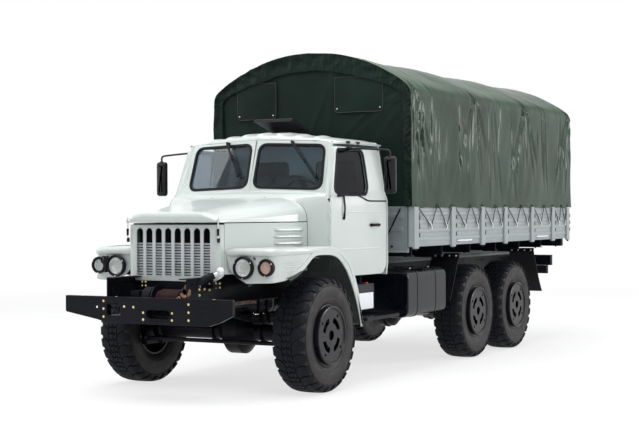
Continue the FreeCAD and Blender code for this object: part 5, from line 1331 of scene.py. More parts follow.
def bumper():
    """Deep channel bumper with the crank opening, the winch's fairlead and its bolts."""
    face = lambda u, v, depth: (u, yy(depth), v)
    holes = [rounded(oblong(-0.42, 0.755, -0.274, 0.86), 0.012, 3),
             rounded(oblong(0.012, 0.742, 0.258, 0.811), 0.032, 6),
             circle((-0.533, 0.825), 0.011, 12), circle((0.589, 0.81), 0.011, 12)]
    outline = rounded(BUMPER_LINE, (0.008, 0.02, 0.05, 0.05, 0.05, 0.03, 0.02, 0.008), 4)
    shape = Shape()
    plate(shape, outline, holes, face, 0.010, edge=0.004)
    edging(shape, outline, face, ((0.0, 0.004), (0.0, 0.045), (0.010, 0.045), (0.010, 0.008)))
    rim_band(shape, holes[1], face, -0.014, -0.001, 0.010)
    for hole, reach in ((holes[0], 0.06), (holes[1], 0.075)):
        rows = [[face(u, v, depth) for u, v in hole] for depth in (0.004, reach)]
        shape.grid(rows, closed_rows=True)
    shape.make("bumper_channel", "chassis", CHASSIS, "chassis_paint", node="front_bumper")
    bolts = Shape()
    for x, zs in ((-0.457, (0.881, 0.812, 0.741)), (-0.23, (0.837,)), (-0.13, (0.834,)),
                  (-0.025, (0.789, 0.729)), (0.28, (0.792, 0.731)), (0.453, (0.873, 0.804, 0.736))):
        for z in zs:
            hexagon_bolt(bolts, (x, yy(0.001), z), (0, -1, 0), 0.0085, 0.0)
    for x in (-0.70, -0.33, 0.33, 0.70):
        hexagon_bolt(bolts, (x, yy(0.024), 0.921), UPWARDS, 0.008, 0.0)
    bolts.points = [(x, max(y, BUMPER_FACE - 0.0045), z) for x, y, z in bolts.points]
    bolts.make("bumper_bolts", "chassis", BRASS)
    tray = Shape()
    tray.block((-0.425, 0.425), (0.06, 0.41), (0.745, 0.755))
    tray.make("winch_tray", "chassis", CHASSIS, "chassis_paint", bevel=0.002)
    brackets = Shape()
    for side, places in ((1, ((0.20, 0.99), (0.28, 0.99), (0.20, 0.94), (0.36, 1.03), (0.36, 0.98))),
                         (-1, ((0.20, 0.99), (0.28, 0.99), (0.36, 0.97)))):
        for back, z in places:
            hexagon_bolt(brackets, (side * RAIL_SIDE, yy(back), z), (side, 0, 0), 0.009, 0.007)
    for x in (-0.33, -0.29, 0.47, 0.51):
        for z in (1.00, 1.035):
            hexagon_bolt(brackets, (x, yy(0.405), z), (0, -1, 0), 0.008, 0.006)
    brackets.make("bracket_bolts", "chassis", BRASS, "chassis_paint")


def coil(shape, low, high, centre, core, wire, slot=0):
    """Rope laid in turns round a drum along X, with a second, looser layer."""
    for layer in range(2):
        path = []
        span = (high - low) * (1.0 if layer == 0 else 0.72)
        start = low + (high - low - span) / 2
        turns = int(span / (wire * 2.05))
        for k in range(turns * 14):
            angle = 2 * math.pi * k / 14
            radius = core + wire * (1 + 1.75 * layer)
            path.append((start + span * k / (turns * 14), centre[1] + radius * math.cos(angle),
                         centre[2] + radius * math.sin(angle)))
        shape.tube(path, wire, 6, slot)


def winch():
    """Winch drum with its rope, end flanges and gear case, and the hook on its rope."""
    shape = Shape()
    centre = (0.13, yy(0.235), 0.895)
    shape.lathe([(-0.16, 0.0), (-0.16, 0.125), (-0.150, 0.128), (-0.148, 0.05), (0.148, 0.05),
                 (0.150, 0.128), (0.16, 0.125), (0.16, 0.0)], centre, LEFTWARDS, 40, 0)
    coil(shape, centre[0] - 0.143, centre[0] + 0.143, centre, 0.064, 0.0075, 1)
    shape.lathe([(0, 0.0), (0, 0.085), (0.02, 0.105), (0.10, 0.105), (0.125, 0.07), (0.13, 0.0)],
                (-0.165, yy(0.235), 0.895), LEFTWARDS, 32, 0)
    shape.block((-0.26, -0.17), (0.14, 0.33), (0.765, 0.97), 0)
    shape.tube(spots((-0.38, 0.235, 0.895), (-0.16, 0.235, 0.895)), 0.022, 14, 0)
    shape.tube(spots((0.29, 0.235, 0.895), (0.37, 0.235, 0.895)), 0.030, 14, 0)
    shape.block((0.345, 0.375), (0.15, 0.32), (0.765, 0.985), 0)
    for x in (-0.395, 0.395):
        shape.block((x, x + (0.02 if x > 0 else -0.02)), (0.06, 0.37), (0.87, 1.02), 0)
    for back in (0.17, 0.30):
        hexagon_bolt(shape, (0.375, yy(back), 0.965), LEFTWARDS, 0.010, 0.008, 2)
    shape.make("winch_drum", "chassis", [CHASSIS, DRUM, STEEL], "chassis_paint", bevel=0.002, node="winch")
    hook = Shape()
    throat = [(0.400, 0.060, 1.000), (0.428, 0.046, 0.985), (0.432, 0.034, 0.958), (0.408, 0.026, 0.937),
              (0.376, 0.026, 0.942), (0.362, 0.030, 0.966)]
    fine = [(float(x), yy(float(back)), float(z)) for x, back, z in flowing(throat, 20)]
    hook.tube(fine, [0.012 + 0.006 * math.sin(math.pi * k / 19) for k in range(20)], 10, 0)
    eye = [(0.398 + 0.021 * math.cos(a), yy(0.065), 1.016 + 0.021 * math.sin(a)) for a in whole_turn(18)]
    hook.tube(eye, 0.009, 8, 0, loop=True)
    line = [(0.398, 0.065, 1.034), (0.396, 0.10, 1.030), (0.392, 0.16, 1.018), (0.388, 0.21, 1.010)]
    hook.tube([(float(x), yy(float(back)), float(z)) for x, back, z in flowing(line, 12)], 0.013, 10, 1)
    line = [(0.375, 0.020, 0.885), (0.350, 0.012, 0.935), (0.335, 0.016, 0.926), (0.30, 0.05, 0.92)]
    hook.tube([(float(x), yy(float(back)), float(z)) for x, back, z in flowing(line, 12)], 0.007, 8, 0)
    ring = [(0.392 + 0.030 * math.cos(a), yy(0.215), 1.018 + 0.030 * math.sin(a)) for a in whole_turn(18)]
    hook.tube(ring, 0.010, 8, 1, loop=True)
    hook.tube(spots((0.405, 0.22, 1.040), (0.430, 0.27, 1.075), (0.500, 0.33, 1.110)),
              [0.022, 0.034, 0.030], 14, 3)
    hook.tube(spots((0.500, 0.33, 1.110), (0.532, 0.35, 1.130)), [0.022, 0.018], 12, 1)
    ball = [(-0.034 * math.cos(math.pi * k / 12), 0.034 * math.sin(math.pi * k / 12)) for k in range(13)]
    hook.lathe(ball, (0.548, yy(0.36), 1.148), UPWARDS, 24, 2)
    hook.tube(spots((0.47, 0.34, 1.02), (0.475, 0.33, 1.10)), 0.014, 10, 3)
    hook.block((0.43, 0.51), (0.30, 0.40), (1.00, 1.03), 3)
    hook.make("winch_hook", "chassis", [RUST, STEEL, WHITE, CHASSIS], "chassis_paint")


def lamp(shape, centre, radius, lens_radius, lens_slot):
    """A round lamp in its black bowl: bezel, bright reflector, clips and fluted lens."""
    x, y, z = centre
    back = 0.088
    shape.lathe([(back, 0.0), (back, radius * 0.62), (back * 0.6, radius * 0.88), (0.024, radius * 0.98),
                 (0.010, radius), (0.0, radius * 0.975), (-0.006, radius * 0.93),
                 (-0.004, lens_radius * 1.10), (0.002, lens_radius * 1.03), (0.012, lens_radius * 1.02)],
                centre, BACKWARDS, 48, 0)
    shape.lathe([(0.010, lens_radius * 1.03), (0.025, lens_radius * 0.93), (0.05, lens_radius * 0.6),
                 (0.062, lens_radius * 0.2), (0.063, 0.0)], centre, BACKWARDS, 48, 1)
    shape.lathe([(0.012, lens_radius * 1.01), (0.006, lens_radius * 0.99), (-0.002, lens_radius * 0.8),
                 (-0.008, lens_radius * 0.45), (-0.010, 0.0)], centre, BACKWARDS, 48, lens_slot)
    shape.lathe([(0.030, 0.0), (0.032, 0.010), (0.058, 0.012), (0.060, 0.0)], centre, BACKWARDS, 16, 4)
    for angle in (0.5, 2.64, 4.71):
        spot = Vector((x + radius * 0.90 * math.cos(angle), y - 0.004, z + radius * 0.90 * math.sin(angle)))
        shape.lathe([(0, 0), (0, 0.006), (0.004, 0.005), (0.005, 0.0)], spot, (0, -1, 0), 10, 1)


def lamps():
    """Head and turn lamps on the wings, a small side lamp, and the tail lamps under the rear beam."""
    shape = Shape()
    for side in (-1, 1):
        lamp(shape, (side * 0.695, yy(0.486), 1.172), 0.104, 0.076, 2)
        lamp(shape, (side * 0.912, yy(0.512), 1.174), 0.080, 0.053, 3 if side > 0 else 2)
        shape.tube(spots((side * 0.80, 0.545, 1.24), (side * 0.80, 0.50, 1.262)), 0.006, 8, 0)
    shape.lathe([(0.055, 0.0), (0.055, 0.02), (0.03, 0.036), (0.0, 0.038), (0.0, 0.030)],
                (-0.80, yy(0.45), 1.225), BACKWARDS, 24, 0)
    shape.lathe([(0.004, 0.031), (-0.004, 0.02), (-0.006, 0.0)], (-0.80, yy(0.45), 1.225), BACKWARDS, 24, 2)
    shape.block((-0.808, -0.792), (0.47, 0.52), (1.11, 1.215), 0)
    for side in (-1, 1):
        for place_x, slot in ((0.730, 5), (0.800, 3), (0.865, 5)):
            x = side * place_x
            shape.lathe([(0.0, 0.0), (0.0, 0.026), (0.010, 0.029), (0.016, 0.024), (0.020, 0.0)],
                        (x, yy(7.811), 0.885), BACKWARDS, 24, slot)
        shape.block((side * 0.695, side * 0.905), (7.748, 7.812), (0.832, 0.9385), 0)
    shape.make("lamp_set", "chassis", [RUBBER, REFLECTOR, LENS, PINK_LENS, BRASS, RED], "lamp_glass",
               node="lamps")


# ------------------------------------------------------------------ bed
POST_BACKS = (0.060, 1.010, 1.850, 2.560, 3.460, 4.220, 4.790)
# two rope hooks in each bay between posts
HOOKS = [start + share * (end - start) for start, end in zip(POST_BACKS, POST_BACKS[1:])
         for share in (0.38, 0.80)]
BED_FRONT = 2.970


def bed_walls():
    """Side boards with pressed ribs, posts, clips, pins, hooks and handles, and the headboard in darker paint
    that stands for painted shade.
    """
    low, top, half = 1.300, 1.715, 1.180
    shape = Shape()
    face = lambda u, v, depth: (half - depth, yy(BED_FRONT + u), v)
    board = rounded(oblong(0.0, low, 4.860, top), 0.012, 3)
    plate(shape, board, [], face, 0.048, edge=0.008)
    edges = [post + 0.055 for post in POST_BACKS]
    for start, end in zip(edges, POST_BACKS[1:]):
        for z in (1.375, 1.465, 1.555, 1.640):
            pressed_rib(shape, (half - 0.001, yy(BED_FRONT + start + 0.035), z),
                        (half - 0.001, yy(BED_FRONT + end - 0.055 - 0.035), z), UPWARDS, LEFTWARDS, 0.048,
                        0.011)
    for z in (1.322, 1.700):
        shape.tube(spots((half - 0.001, BED_FRONT + 0.01, z), (half - 0.001, BED_FRONT + 4.85, z)), 0.008,
                   8)
    for place in POST_BACKS:
        start = max(place - 0.055, 0.0)
        corners = rounded(oblong(half - 0.005, start, half + 0.025, start + 0.11), 0.009, 3)
        rows = [[(x, yy(BED_FRONT + b), z) for x, b in (corners if k else set_in(corners, 0.006))]
                for k, z in ((0, low - 0.020), (1, low - 0.014), (1, top - 0.006))]
        rows.append([(x, yy(BED_FRONT + b), top) for x, b in set_in(corners, 0.006)])
        shape.grid(rows, closed_rows=True)
        shape.add(rows[-1], [tuple(range(len(corners)))])
        shape.add(rows[0], [tuple(reversed(range(len(corners))))])
    shape.mirror()
    # The headboard and its ribs take the second slot, the darker bed paint that stands for painted shade.
    for z in (1.48, 1.62):
        pressed_rib(shape, (-1.05, yy(BED_FRONT + 0.001), z), (1.05, yy(BED_FRONT + 0.001), z), UPWARDS,
                    (0, -1, 0), 0.06, 0.009, 1)
    head = rounded(oblong(-1.123, 1.240, 1.123, top), 0.012, 3)
    plate(shape, head, [], lambda u, v, depth: (u, yy(BED_FRONT + depth), v), 0.048, edge=0.008, slot=1)
    shape.prism(((0.0, 1.245), (-0.022, 1.245), (-0.022, 1.252), (-0.007, 1.262), (-0.007, 1.352),
                 (0.0, 1.356)), (-1.12, yy(BED_FRONT + 0.002), 0), BACKWARDS, UPWARDS, (2.24, 0, 0), 1)
    shape.make("bed_boards", "chassis", [BED, BED_PAINTED_SHADE], "bed_paint", node="bed_walls")
    fittings = Shape()
    for side in (-1, 1):
        for place in POST_BACKS:
            back = BED_FRONT + place + 0.045
            for z in (1.42, 1.51, 1.60):
                fittings.block((side * (half + 0.004), side * 1.2045), (back + 0.014, back + 0.032),
                               (z - 0.022, z + 0.022), 0)
            fittings.tube(spots((side * (half + 0.012), BED_FRONT + place, 1.262),
                                (side * (half + 0.012), BED_FRONT + place, 1.300)), 0.013, 10, 0)
        for place in HOOKS:
            back = BED_FRONT + place
            path = spots((side * 1.186, back - 0.030, 1.560), (side * 1.199, back - 0.022, 1.548),
                         (side * 1.2025, back + 0.004, 1.510), (side * 1.2000, back + 0.020, 1.482),
                         (side * 1.190, back + 0.014, 1.478))
            fittings.tube(flowing(path, 12), 0.0065, 8, 1)
        for place in (1.34, 3.83):
            line = spots((side * 1.184, BED_FRONT + place - 0.20, 1.345),
                         (side * 1.196, BED_FRONT + place - 0.18, 1.345),
                         (side * 1.196, BED_FRONT + place + 0.18, 1.345),
                         (side * 1.184, BED_FRONT + place + 0.20, 1.345))
            fittings.tube(line, 0.0085, 10, 1)
            fittings.block((side * 1.181, side * 1.189),
                           (BED_FRONT + place - 0.15, BED_FRONT + place + 0.15), (1.325, 1.362), 2)
    for x in np.linspace(-0.95, 0.95, 7):
        hexagon_bolt(fittings, (float(x), yy(BED_FRONT - 0.007), 1.305), (0, -1, 0), 0.010, 0.007, 0)
    for side in (-1, 1):
        fittings.tube(spots((side * 0.86, BED_FRONT - 0.012, 1.340),
                            (side * 1.05, BED_FRONT - 0.012, 1.690)), 0.008, 8, 0)
    fittings.make("bed_fittings", "chassis", [RUBBER, WHITE, BED], "bed_paint", bevel=0.002)
    lashing()


def lashing():
    """Dark rope laced in a zig-zag from the cover's hem to the boards' hooks, tied up at the front."""
    shape = Shape()
    for side in (-1, 1):
        path = [(side * 1.2045, yy(BED_FRONT + 0.03), 1.735)]
        for first, second, post in zip(HOOKS[::2], HOOKS[1::2], POST_BACKS[1:]):
            for place, low in ((first, True), ((first + second) / 2 - 0.03, False), (second, True),
                               (post - 0.02, False)):
                path.append((side * (1.2005 if low else 1.2045), yy(BED_FRONT + place),
                             1.500 if low else 1.738))
        fine = []
        for before, after in zip(path, path[1:]):
            for share in (0.0, 0.33, 0.67):
                x = before[0] + (after[0] - before[0]) * share
                fine.append((x, before[1] + (after[1] - before[1]) * share,
                             before[2] + (after[2] - before[2]) * share
                             + 0.012 * math.sin(math.pi * share)))
        fine.append(path[-1])
        shape.tube(fine, 0.0062, 6)
        for k in range(5):
            back = 3.035 + 0.012 * k
            loop = [(side * (1.197 + 0.006 * math.sin(3 * a + k)), yy(back + 0.020 * math.cos(a)),
                     1.62 - 0.014 * k + 0.085 * math.sin(a)) for a in whole_turn(20)]
            shape.tube(loop, 0.0055, 6, loop=True)
    shape.points = [(max(-1.2049, min(1.2049, x)), y, z) for x, y, z in shape.points]
    shape.make("cover_lashing", "chassis", ROPE, "black_rubber")


def tailgate():
    """Drop board with pressed ribs, straps and latches."""
    shape = Shape()
    rear = BED_FRONT + 4.860
    face = lambda u, v, depth: (-u, yy(rear - (depth + 0.006)), v)
    board = rounded(oblong(-1.118, 1.302, 1.118, 1.714), 0.012, 3)
    plate(shape, board, [], face, 0.033, edge=0.006)
    for x0, x1 in ((-1.06, -0.58), (-0.50, 0.50), (0.58, 1.06)):
        for z in (1.375, 1.465, 1.555, 1.640):
            pressed_rib(shape, (x0, yy(rear - 0.007), z), (x1, yy(rear - 0.007), z), UPWARDS, BACKWARDS,
                        0.048, 0.006)
    for x in (-0.54, 0.54, -1.09, 1.09):
        shape.block((x - 0.022, x + 0.022), (rear - 0.008, rear - 0.001), (1.305, 1.712))
    shape.make("tailgate_board", "tailgate", BED, "bed_paint", node="tailgate")
    fittings = Shape()
    for x in (-1.09, 1.09):
        fittings.tube(spots((x, rear - 0.020, 1.690), (x, rear - 0.004, 1.690)), 0.010, 10)
        fittings.block((x - 0.016, x + 0.016), (rear - 0.006, rear - 0.0005), (1.60, 1.66))
    fittings.make("tailgate_latches", "tailgate", CHASSIS, "chassis_paint", bevel=0.002)


# ------------------------------------------------------------------ canvas
HEM_Z = 1.722
COVER_FRONT, COVER_REAR = 2.920, 7.900
BOW_BACKS = (3.000, 4.597, 6.193, 7.790)
# the cover's left half section, from its hem up to the crown: (x, z)
COVER_HALF = ((1.2035, 1.722), (1.2005, 2.10), (1.199, 2.50), (1.198, 2.80), (1.192, 2.880), (1.170, 2.940),
              (1.115, 2.993), (0.98, 3.081), (0.70, 3.217), (0.36, 3.314), (0.0, 3.346))


def cover_line(count):
    """The cover's whole section, from the left hem over the crown to the right one."""
    left = [Vector(point) for point in flowing(COVER_HALF, count)]
    return left + [Vector((-point.x, point.y)) for point in left[-2::-1]]


def inner_line(section, distance):
    """The section moved inwards by a distance, as an array, and its inward directions."""
    line = np.array([tuple(point) for point in section])
    tangent = np.gradient(line, axis=0)
    tangent /= np.linalg.norm(tangent, axis=1)[:, None]
    inwards = np.stack((-tangent[:, 1], tangent[:, 0]), axis=1)
    return line + inwards * distance, inwards


def thinned(section):
    """Fewer points of a fine section: close together round the eaves, wider apart elsewhere."""
    kept = [section[0]]
    for point in section[1:-1]:
        gap = 0.018 if 2.82 < point.y < 3.02 else 0.062
        if (point - kept[-1]).length >= gap:
            kept.append(point)
    return kept + [section[-1]]


def bows():
    """Four tube bows inside the cover, joined by ridge and eave rails, in sockets at their feet."""
    shape = Shape()
    inner, _ = inner_line(cover_line(50), 0.028 + 0.018)
    for back in BOW_BACKS:
        shape.tube([(x, yy(back), max(z, 1.7165)) for x, z in inner], 0.018, 12)
        for side in (-1, 1):
            shape.lathe([(0, 0.0), (0, 0.024), (0.055, 0.024), (0.06, 0.018)],
                        (side * inner[0][0], yy(back), 1.7155), UPWARDS, 20)
    eave = min(range(50), key=lambda k: abs(inner[k][1] - 2.90))
    for spot in (inner[eave], inner[49], (-inner[eave][0], inner[eave][1])):
        shape.tube(spots((spot[0], BOW_BACKS[0], spot[1] - 0.01), (spot[0], BOW_BACKS[-1], spot[1] - 0.01)),
                   0.013, 10)
    shape.make("bow_frame", "chassis", CHASSIS, "chassis_paint", node="canvas_bows")


def fold_list(rng):
    """One side's creases: (back at the eave, back at the hem, width, depth, start, end below the eave)."""
    folds = []
    for bow in BOW_BACKS:
        for reach in np.linspace(-0.62, 0.62, 6):
            lean = reach + rng.uniform(-0.08, 0.08)
            folds.append((bow + 0.06 * reach, bow + lean, rng.uniform(0.010, 0.024),
                          rng.uniform(0.010, 0.020), 0.0, rng.uniform(0.75, 1.25)))
    for _ in range(34):
        start = rng.uniform(2.98, 7.84)
        folds.append((start, start + rng.uniform(-0.30, 0.30), rng.uniform(0.009, 0.026),
                      rng.uniform(0.005, 0.014), rng.uniform(-0.05, 0.6), rng.uniform(0.7, 1.3)))
    return folds


def cover():
    """The cover, stretched over the bows: it sags between them and creases fan down from the eaves."""
    section = thinned(cover_line(600))
    steps = np.array([0.0] + [(b - a).length for a, b in zip(section, section[1:])])
    run = np.cumsum(steps)
    total = float(run[-1])
    line, inwards = inner_line(section, 0.0)
    from_hem = np.minimum(run, total - run)
    eave = 1.215
    drop = np.maximum(0.0, eave - from_hem)
    up = np.maximum(0.0, from_hem - eave)
    left = np.arange(len(section)) < len(section) / 2
    rng = np.random.default_rng(11)
    folds = {True: fold_list(rng), False: fold_list(rng)}
    backs = np.linspace(COVER_FRONT + 0.004, COVER_REAR - 0.004, 340)
    rows = []
    for back in backs:
        near = min(abs(back - bow) for bow in BOW_BACKS)
        between = 1 - math.exp(-(near / 0.35) ** 2)
        depth = 0.006 + 0.016 * between * ease(up, 0.0, 0.35) + 0.008 * between * ease(drop, 0.05, 0.6)
        for hand in (True, False):
            mine = left == hand
            for top, foot, width, deep, start, end in folds[hand]:
                centre = top + (foot - top) * drop / 1.2
                t = (back - centre) / (width * (1 + 0.7 * drop))
                strength = deep * ease(drop, start - 0.12, start + 0.10) * (1 - ease(drop, end - 0.45, end))
                strength = strength * (1 - ease(up, 0.0, 0.10))
                depth = depth + mine * strength * (np.exp(-1.2 * np.abs(t))
                                                   - 0.6 * np.exp(-1.2 * np.abs(t - 1.9)))
                over = (back - top - 0.25 * up) / (width * 1.2)
                depth = depth + (mine * 0.45 * deep * np.exp(-over ** 2) * (up > 0)
                                 * (1 - ease(up, 0.0, 0.22)))
        ripple = np.array([noise.noise(Vector((back * 2.1 + float(r) * 0.8, float(r) * 1.3, 2.0)))
                           + 0.5 * noise.noise(Vector((back * 6.0 - float(r) * 3.0, float(r) * 3.0, 3.0)))
                           for r in run])
        depth = depth + 0.008 * ripple
        hem = 1 - ease(from_hem, 0.0, 0.12)
        wave = 0.5 - 0.5 * math.cos(2 * math.pi * (back - COVER_FRONT) / 0.41)
        depth = depth * (1 - 0.6 * hem) + hem * 0.004 * wave
        most = 0.024 + 0.021 * ease(near, 0.03, 0.16)
        most = 0.025 + (most - 0.025) * ease(np.abs(line[:, 0]), 0.03, 0.16)
        depth = np.clip(depth, -0.003, most)
        spot = line + inwards * depth[:, None]
        rows.append([(float(x), yy(float(back)), float(z) - float(h) * (0.014 + 0.012 * wave))
                     for (x, z), h in zip(spot, hem)])
    skirt = []
    fine = cover_line(420)
    fine_run = np.cumsum([0.0] + [(b - a).length for a, b in zip(fine, fine[1:])])
    fine_line, fine_in = inner_line(fine, 0.0)
    above = np.maximum(0.0, np.minimum(fine_run, fine_run[-1] - fine_run) - eave)
    for share in np.linspace(1.0, 0.0, 14):
        width = 0.100 + 0.075 * ease(above, 0.0, 0.7)
        pleat = np.array([0.55 - abs(noise.noise(Vector((float(r) * 6.5, share * 1.1, 1.0))))
                          - 0.5 * abs(noise.noise(Vector((float(r) * 17.0 + share, share * 2.5, 6.0))))
                          for r in fine_run])
        reach = width * (share + 0.14 * pleat * share)
        spot = fine_line + fine_in * (0.006 + reach)[:, None]
        puff = 0.046 * (0.4 - pleat) * math.sin(math.pi * (0.12 + 0.88 * share) ** 0.8)
        back = COVER_FRONT + 0.004 + 0.022 * share + np.maximum(puff, -0.004)
        skirt.append([(float(x), yy(float(b)), max(float(z), HEM_Z + 0.002))
                      for (x, z), b in zip(spot, back)])
    tail = []
    for share in (0.3, 0.7, 1.0):
        spot = line + inwards * (0.006 + 0.04 * share)
        tail.append([(float(x), yy(COVER_REAR - 0.004 + 0.002 * share), max(float(z), HEM_Z - 0.01))
                     for x, z in spot])
    # The skirt's front band takes the second slot, the darker canvas that stands for painted shade.
    shape = Shape().grid(rows + tail).grid(skirt, 1)
    item = shape.make("bed_cover", "chassis", [CANVAS, CANVAS_PAINTED_SHADE], "canvas", thick=0.0025, weld=0.0001,
                      node="canvas_top")
    cover_front()


def cover_front():
    """The cover's recessed front wall, drawn into wrinkles below the arch, and its two piped flaps, in canvas
    darkened as painted shade.
    """
    section = cover_line(60)
    section += [Vector((x, HEM_Z)) for x in np.linspace(-1.2035, 1.2035, 41)[1:-1]]
    rng = np.random.default_rng(5)
    creases = []
    for _ in range(26):
        start = section[int(rng.integers(8, 112))]
        end = Vector((start.x * rng.uniform(0.1, 0.7) + rng.uniform(-0.25, 0.25), rng.uniform(1.9, 2.75)))
        creases.append((start, end, rng.uniform(0.015, 0.035), rng.uniform(0.004, 0.010)))
    rows = []
    for share in np.linspace(0.0, 1.0, 60):
        row = []
        for point in section:
            spot = Vector((point.x * 0.975 * share, 2.30 + (point.y * 0.997 - 2.30) * share))
            depth = 0.012 + 0.008 * noise.noise(Vector((spot.x * 1.6, spot.y * 1.3, 4.0)))
            for start, end, width, deep in creases:
                run = end - start
                along = (spot - start).dot(run) / run.length_squared
                off = abs((spot - start).cross(run)) / run.length
                if 0 < along < 1 and off < 3 * width:
                    depth -= deep * (1 - along) * min(1.0, along * 8) * math.exp(-(off / width) ** 2)
            row.append((spot.x, yy(2.960 + max(depth, 0.0)), spot.y))
        rows.append(row)
    shape = Shape().grid(rows, closed_rows=True)
    item = shape.make("cover_front_wall", "chassis", CANVAS_PAINTED_SHADE, "canvas", thick=0.0025, weld=0.0001,
                      node="canvas_front")
    piping = Shape()
    for hand, x0, x1, z0, z1 in (("right", -0.906, -0.42, 2.66, 3.05), ("left", 0.296, 0.857, 2.70, 3.07)):
        flaps = Shape()
        outline = rounded(oblong(x0, z0, x1, z1), (0.05, 0.05, 0.004, 0.004), 6)
        belly = lambda u, v, depth, x0=x0, x1=x1, z0=z0, z1=z1: (
            u, yy(2.966 - 0.006 - 0.014 * math.sin(math.pi * (u - x0) / (x1 - x0)) * (z1 - v) / (z1 - z0)
                  + 0.004 * noise.noise(Vector((u * 8, v * 8, 0))) + depth), v)
        plate(flaps, outline, [], belly, 0.004, cell=0.03, edge=0.0015)
        piping.tube([belly(u, v, -0.001) for u, v in resample(outline, 0.03)], 0.004, 6, loop=True)
        for u in (x0 + 0.03, x1 - 0.03):
            piping.lathe([(0, 0.0), (0, 0.009), (0.006, 0.007), (0.007, 0.0)], belly(u, z0 + 0.04, -0.004),
                         (0, -1, 0), 12, 1)
        flap = flaps.make(f"cover_flap_{hand}", "chassis", CANVAS_PAINTED_SHADE, "canvas", weld=0.00005)
    piping.make("flap_piping", "chassis", [ROPE, STEEL], "canvas")


# ------------------------------------------------------------------ cab inside
# the power that rounds a cushion: 2 would give an egg, more a squarer block
SOFTNESS = 5.0


def cushion(shape, low, high):
    """A soft block with rounded edges and swollen faces."""
    low, high = Vector(low), Vector(high)
    middle, size = (low + high) / 2, (high - low) / 2
    rows = []
    for i in range(25):
        v = -math.pi / 2 + math.pi * i / 24
        row = []
        for j in range(48):
            u = 2 * math.pi * j / 48
            direction = (math.cos(v) * math.cos(u), math.cos(v) * math.sin(u), math.sin(v))
            reach = sum(abs(part) ** SOFTNESS for part in direction) ** (-1 / SOFTNESS)
            spot = Vector([part * reach for part in direction])
            row.append(middle + Vector([spot[k] * size[k] for k in range(3)]))
        rows.append(row)
    return shape.grid(rows, closed_rows=True)


def seats():
    """Driver's and double passenger seats: stitched cushions and backs on dark frames."""
    shape = Shape()
    for x0, x1 in ((0.20, 0.69), (-0.73, -0.28), (-0.28, 0.12)):
        cushion(shape, (x0, yy(2.20), 1.345), (x1, yy(2.66), 1.475))
        cushion(shape, (x0 + 0.01, yy(2.60), 1.45), (x1 - 0.01, yy(2.735), 2.045))
    item = shape.make("seat_cushions", "chassis", VINYL, "seat_cloth", node="seats")
    frames = Shape()
    for x0, x1 in ((0.22, 0.67), (-0.71, 0.10)):
        frames.block((x0, x1), (2.22, 2.66), (1.30, 1.355))
        for x in (x0 + 0.03, x1 - 0.06):
            frames.block((x, x + 0.035), (2.26, 2.30), (1.142, 1.31))
            frames.block((x, x + 0.035), (2.58, 2.62), (1.142, 1.31))
    frames.make("seat_frames", "chassis", CHASSIS, "seat_cloth", bevel=0.004)


def cockpit():
    """Dashboard with dials, and the steering wheel."""
    shape = Shape()
    rows = []
    for x in np.linspace(-0.82, 0.82, 30):
        bulge = 0.03 * math.exp(-((x - 0.45) / 0.25) ** 2)
        line = spots((x, 1.80, 1.80), (x, 1.90, 1.795 + bulge), (x, 2.00, 1.775 + bulge), (x, 2.045, 1.73),
                     (x, 2.05, 1.64), (x, 2.02, 1.55), (x, 1.95, 1.50), (x, 1.80, 1.485))
        rows.append(flowing(line, 24))
    shape.grid(rows)
    shape.make("dash_panel", "chassis", TRIM, "interior", thick=0.006, node="dashboard")
    dials = Shape()
    for x, z, radius in ((0.36, 1.70, 0.048), (0.47, 1.71, 0.055), (0.57, 1.70, 0.040),
                         (0.28, 1.69, 0.030)):
        spot = (x, yy(2.049), z)
        dials.lathe([(0, radius * 1.08), (0.008, radius * 1.08), (0.010, radius), (0.004, radius * 0.96)],
                    spot, (0, 1, 0.1), 24, 0)
        dials.lathe([(0.003, radius * 0.96), (0.003, 0.0)], spot, (0, 1, 0.1), 24, 1)
    dials.block((-0.62, -0.20), (2.048, 2.055), (1.60, 1.73), 0)
    dials.tube(spots((0.45, 1.78, 1.75), (0.45, 1.84, 1.80)), 0.03, 12, 0)
    dials.make("dash_dials", "chassis", [PLASTIC, WHITE], "interior", bevel=0.002)
    wheel = Shape()
    centre = Vector((0.45, yy(2.095), 1.815))
    axis = Vector((0, 0.766, 0.643)).normalized()
    flat_x = Vector(LEFTWARDS)
    flat_y = axis.cross(flat_x)
    ring = [centre + (flat_x * math.cos(a) + flat_y * math.sin(a)) * 0.215 for a in whole_turn(56)]
    wheel.tube(ring, 0.0135, 10, loop=True)
    for angle in (0.15, math.pi - 0.15, 1.5 * math.pi):
        out = flat_x * math.cos(angle) + flat_y * math.sin(angle)
        wheel.tube([centre + out * 0.03 - axis * 0.03, centre + out * 0.12 - axis * 0.02,
                    centre + out * 0.208], 0.009, 8)
    wheel.lathe([(-0.055, 0.0), (-0.055, 0.03), (-0.02, 0.045), (0.0, 0.042), (0.008, 0.02), (0.01, 0.0)],
                centre, axis, 24)
    wheel.make("wheel_rim_and_spokes", "steering_wheel", PLASTIC, "interior", node="steering_wheel")


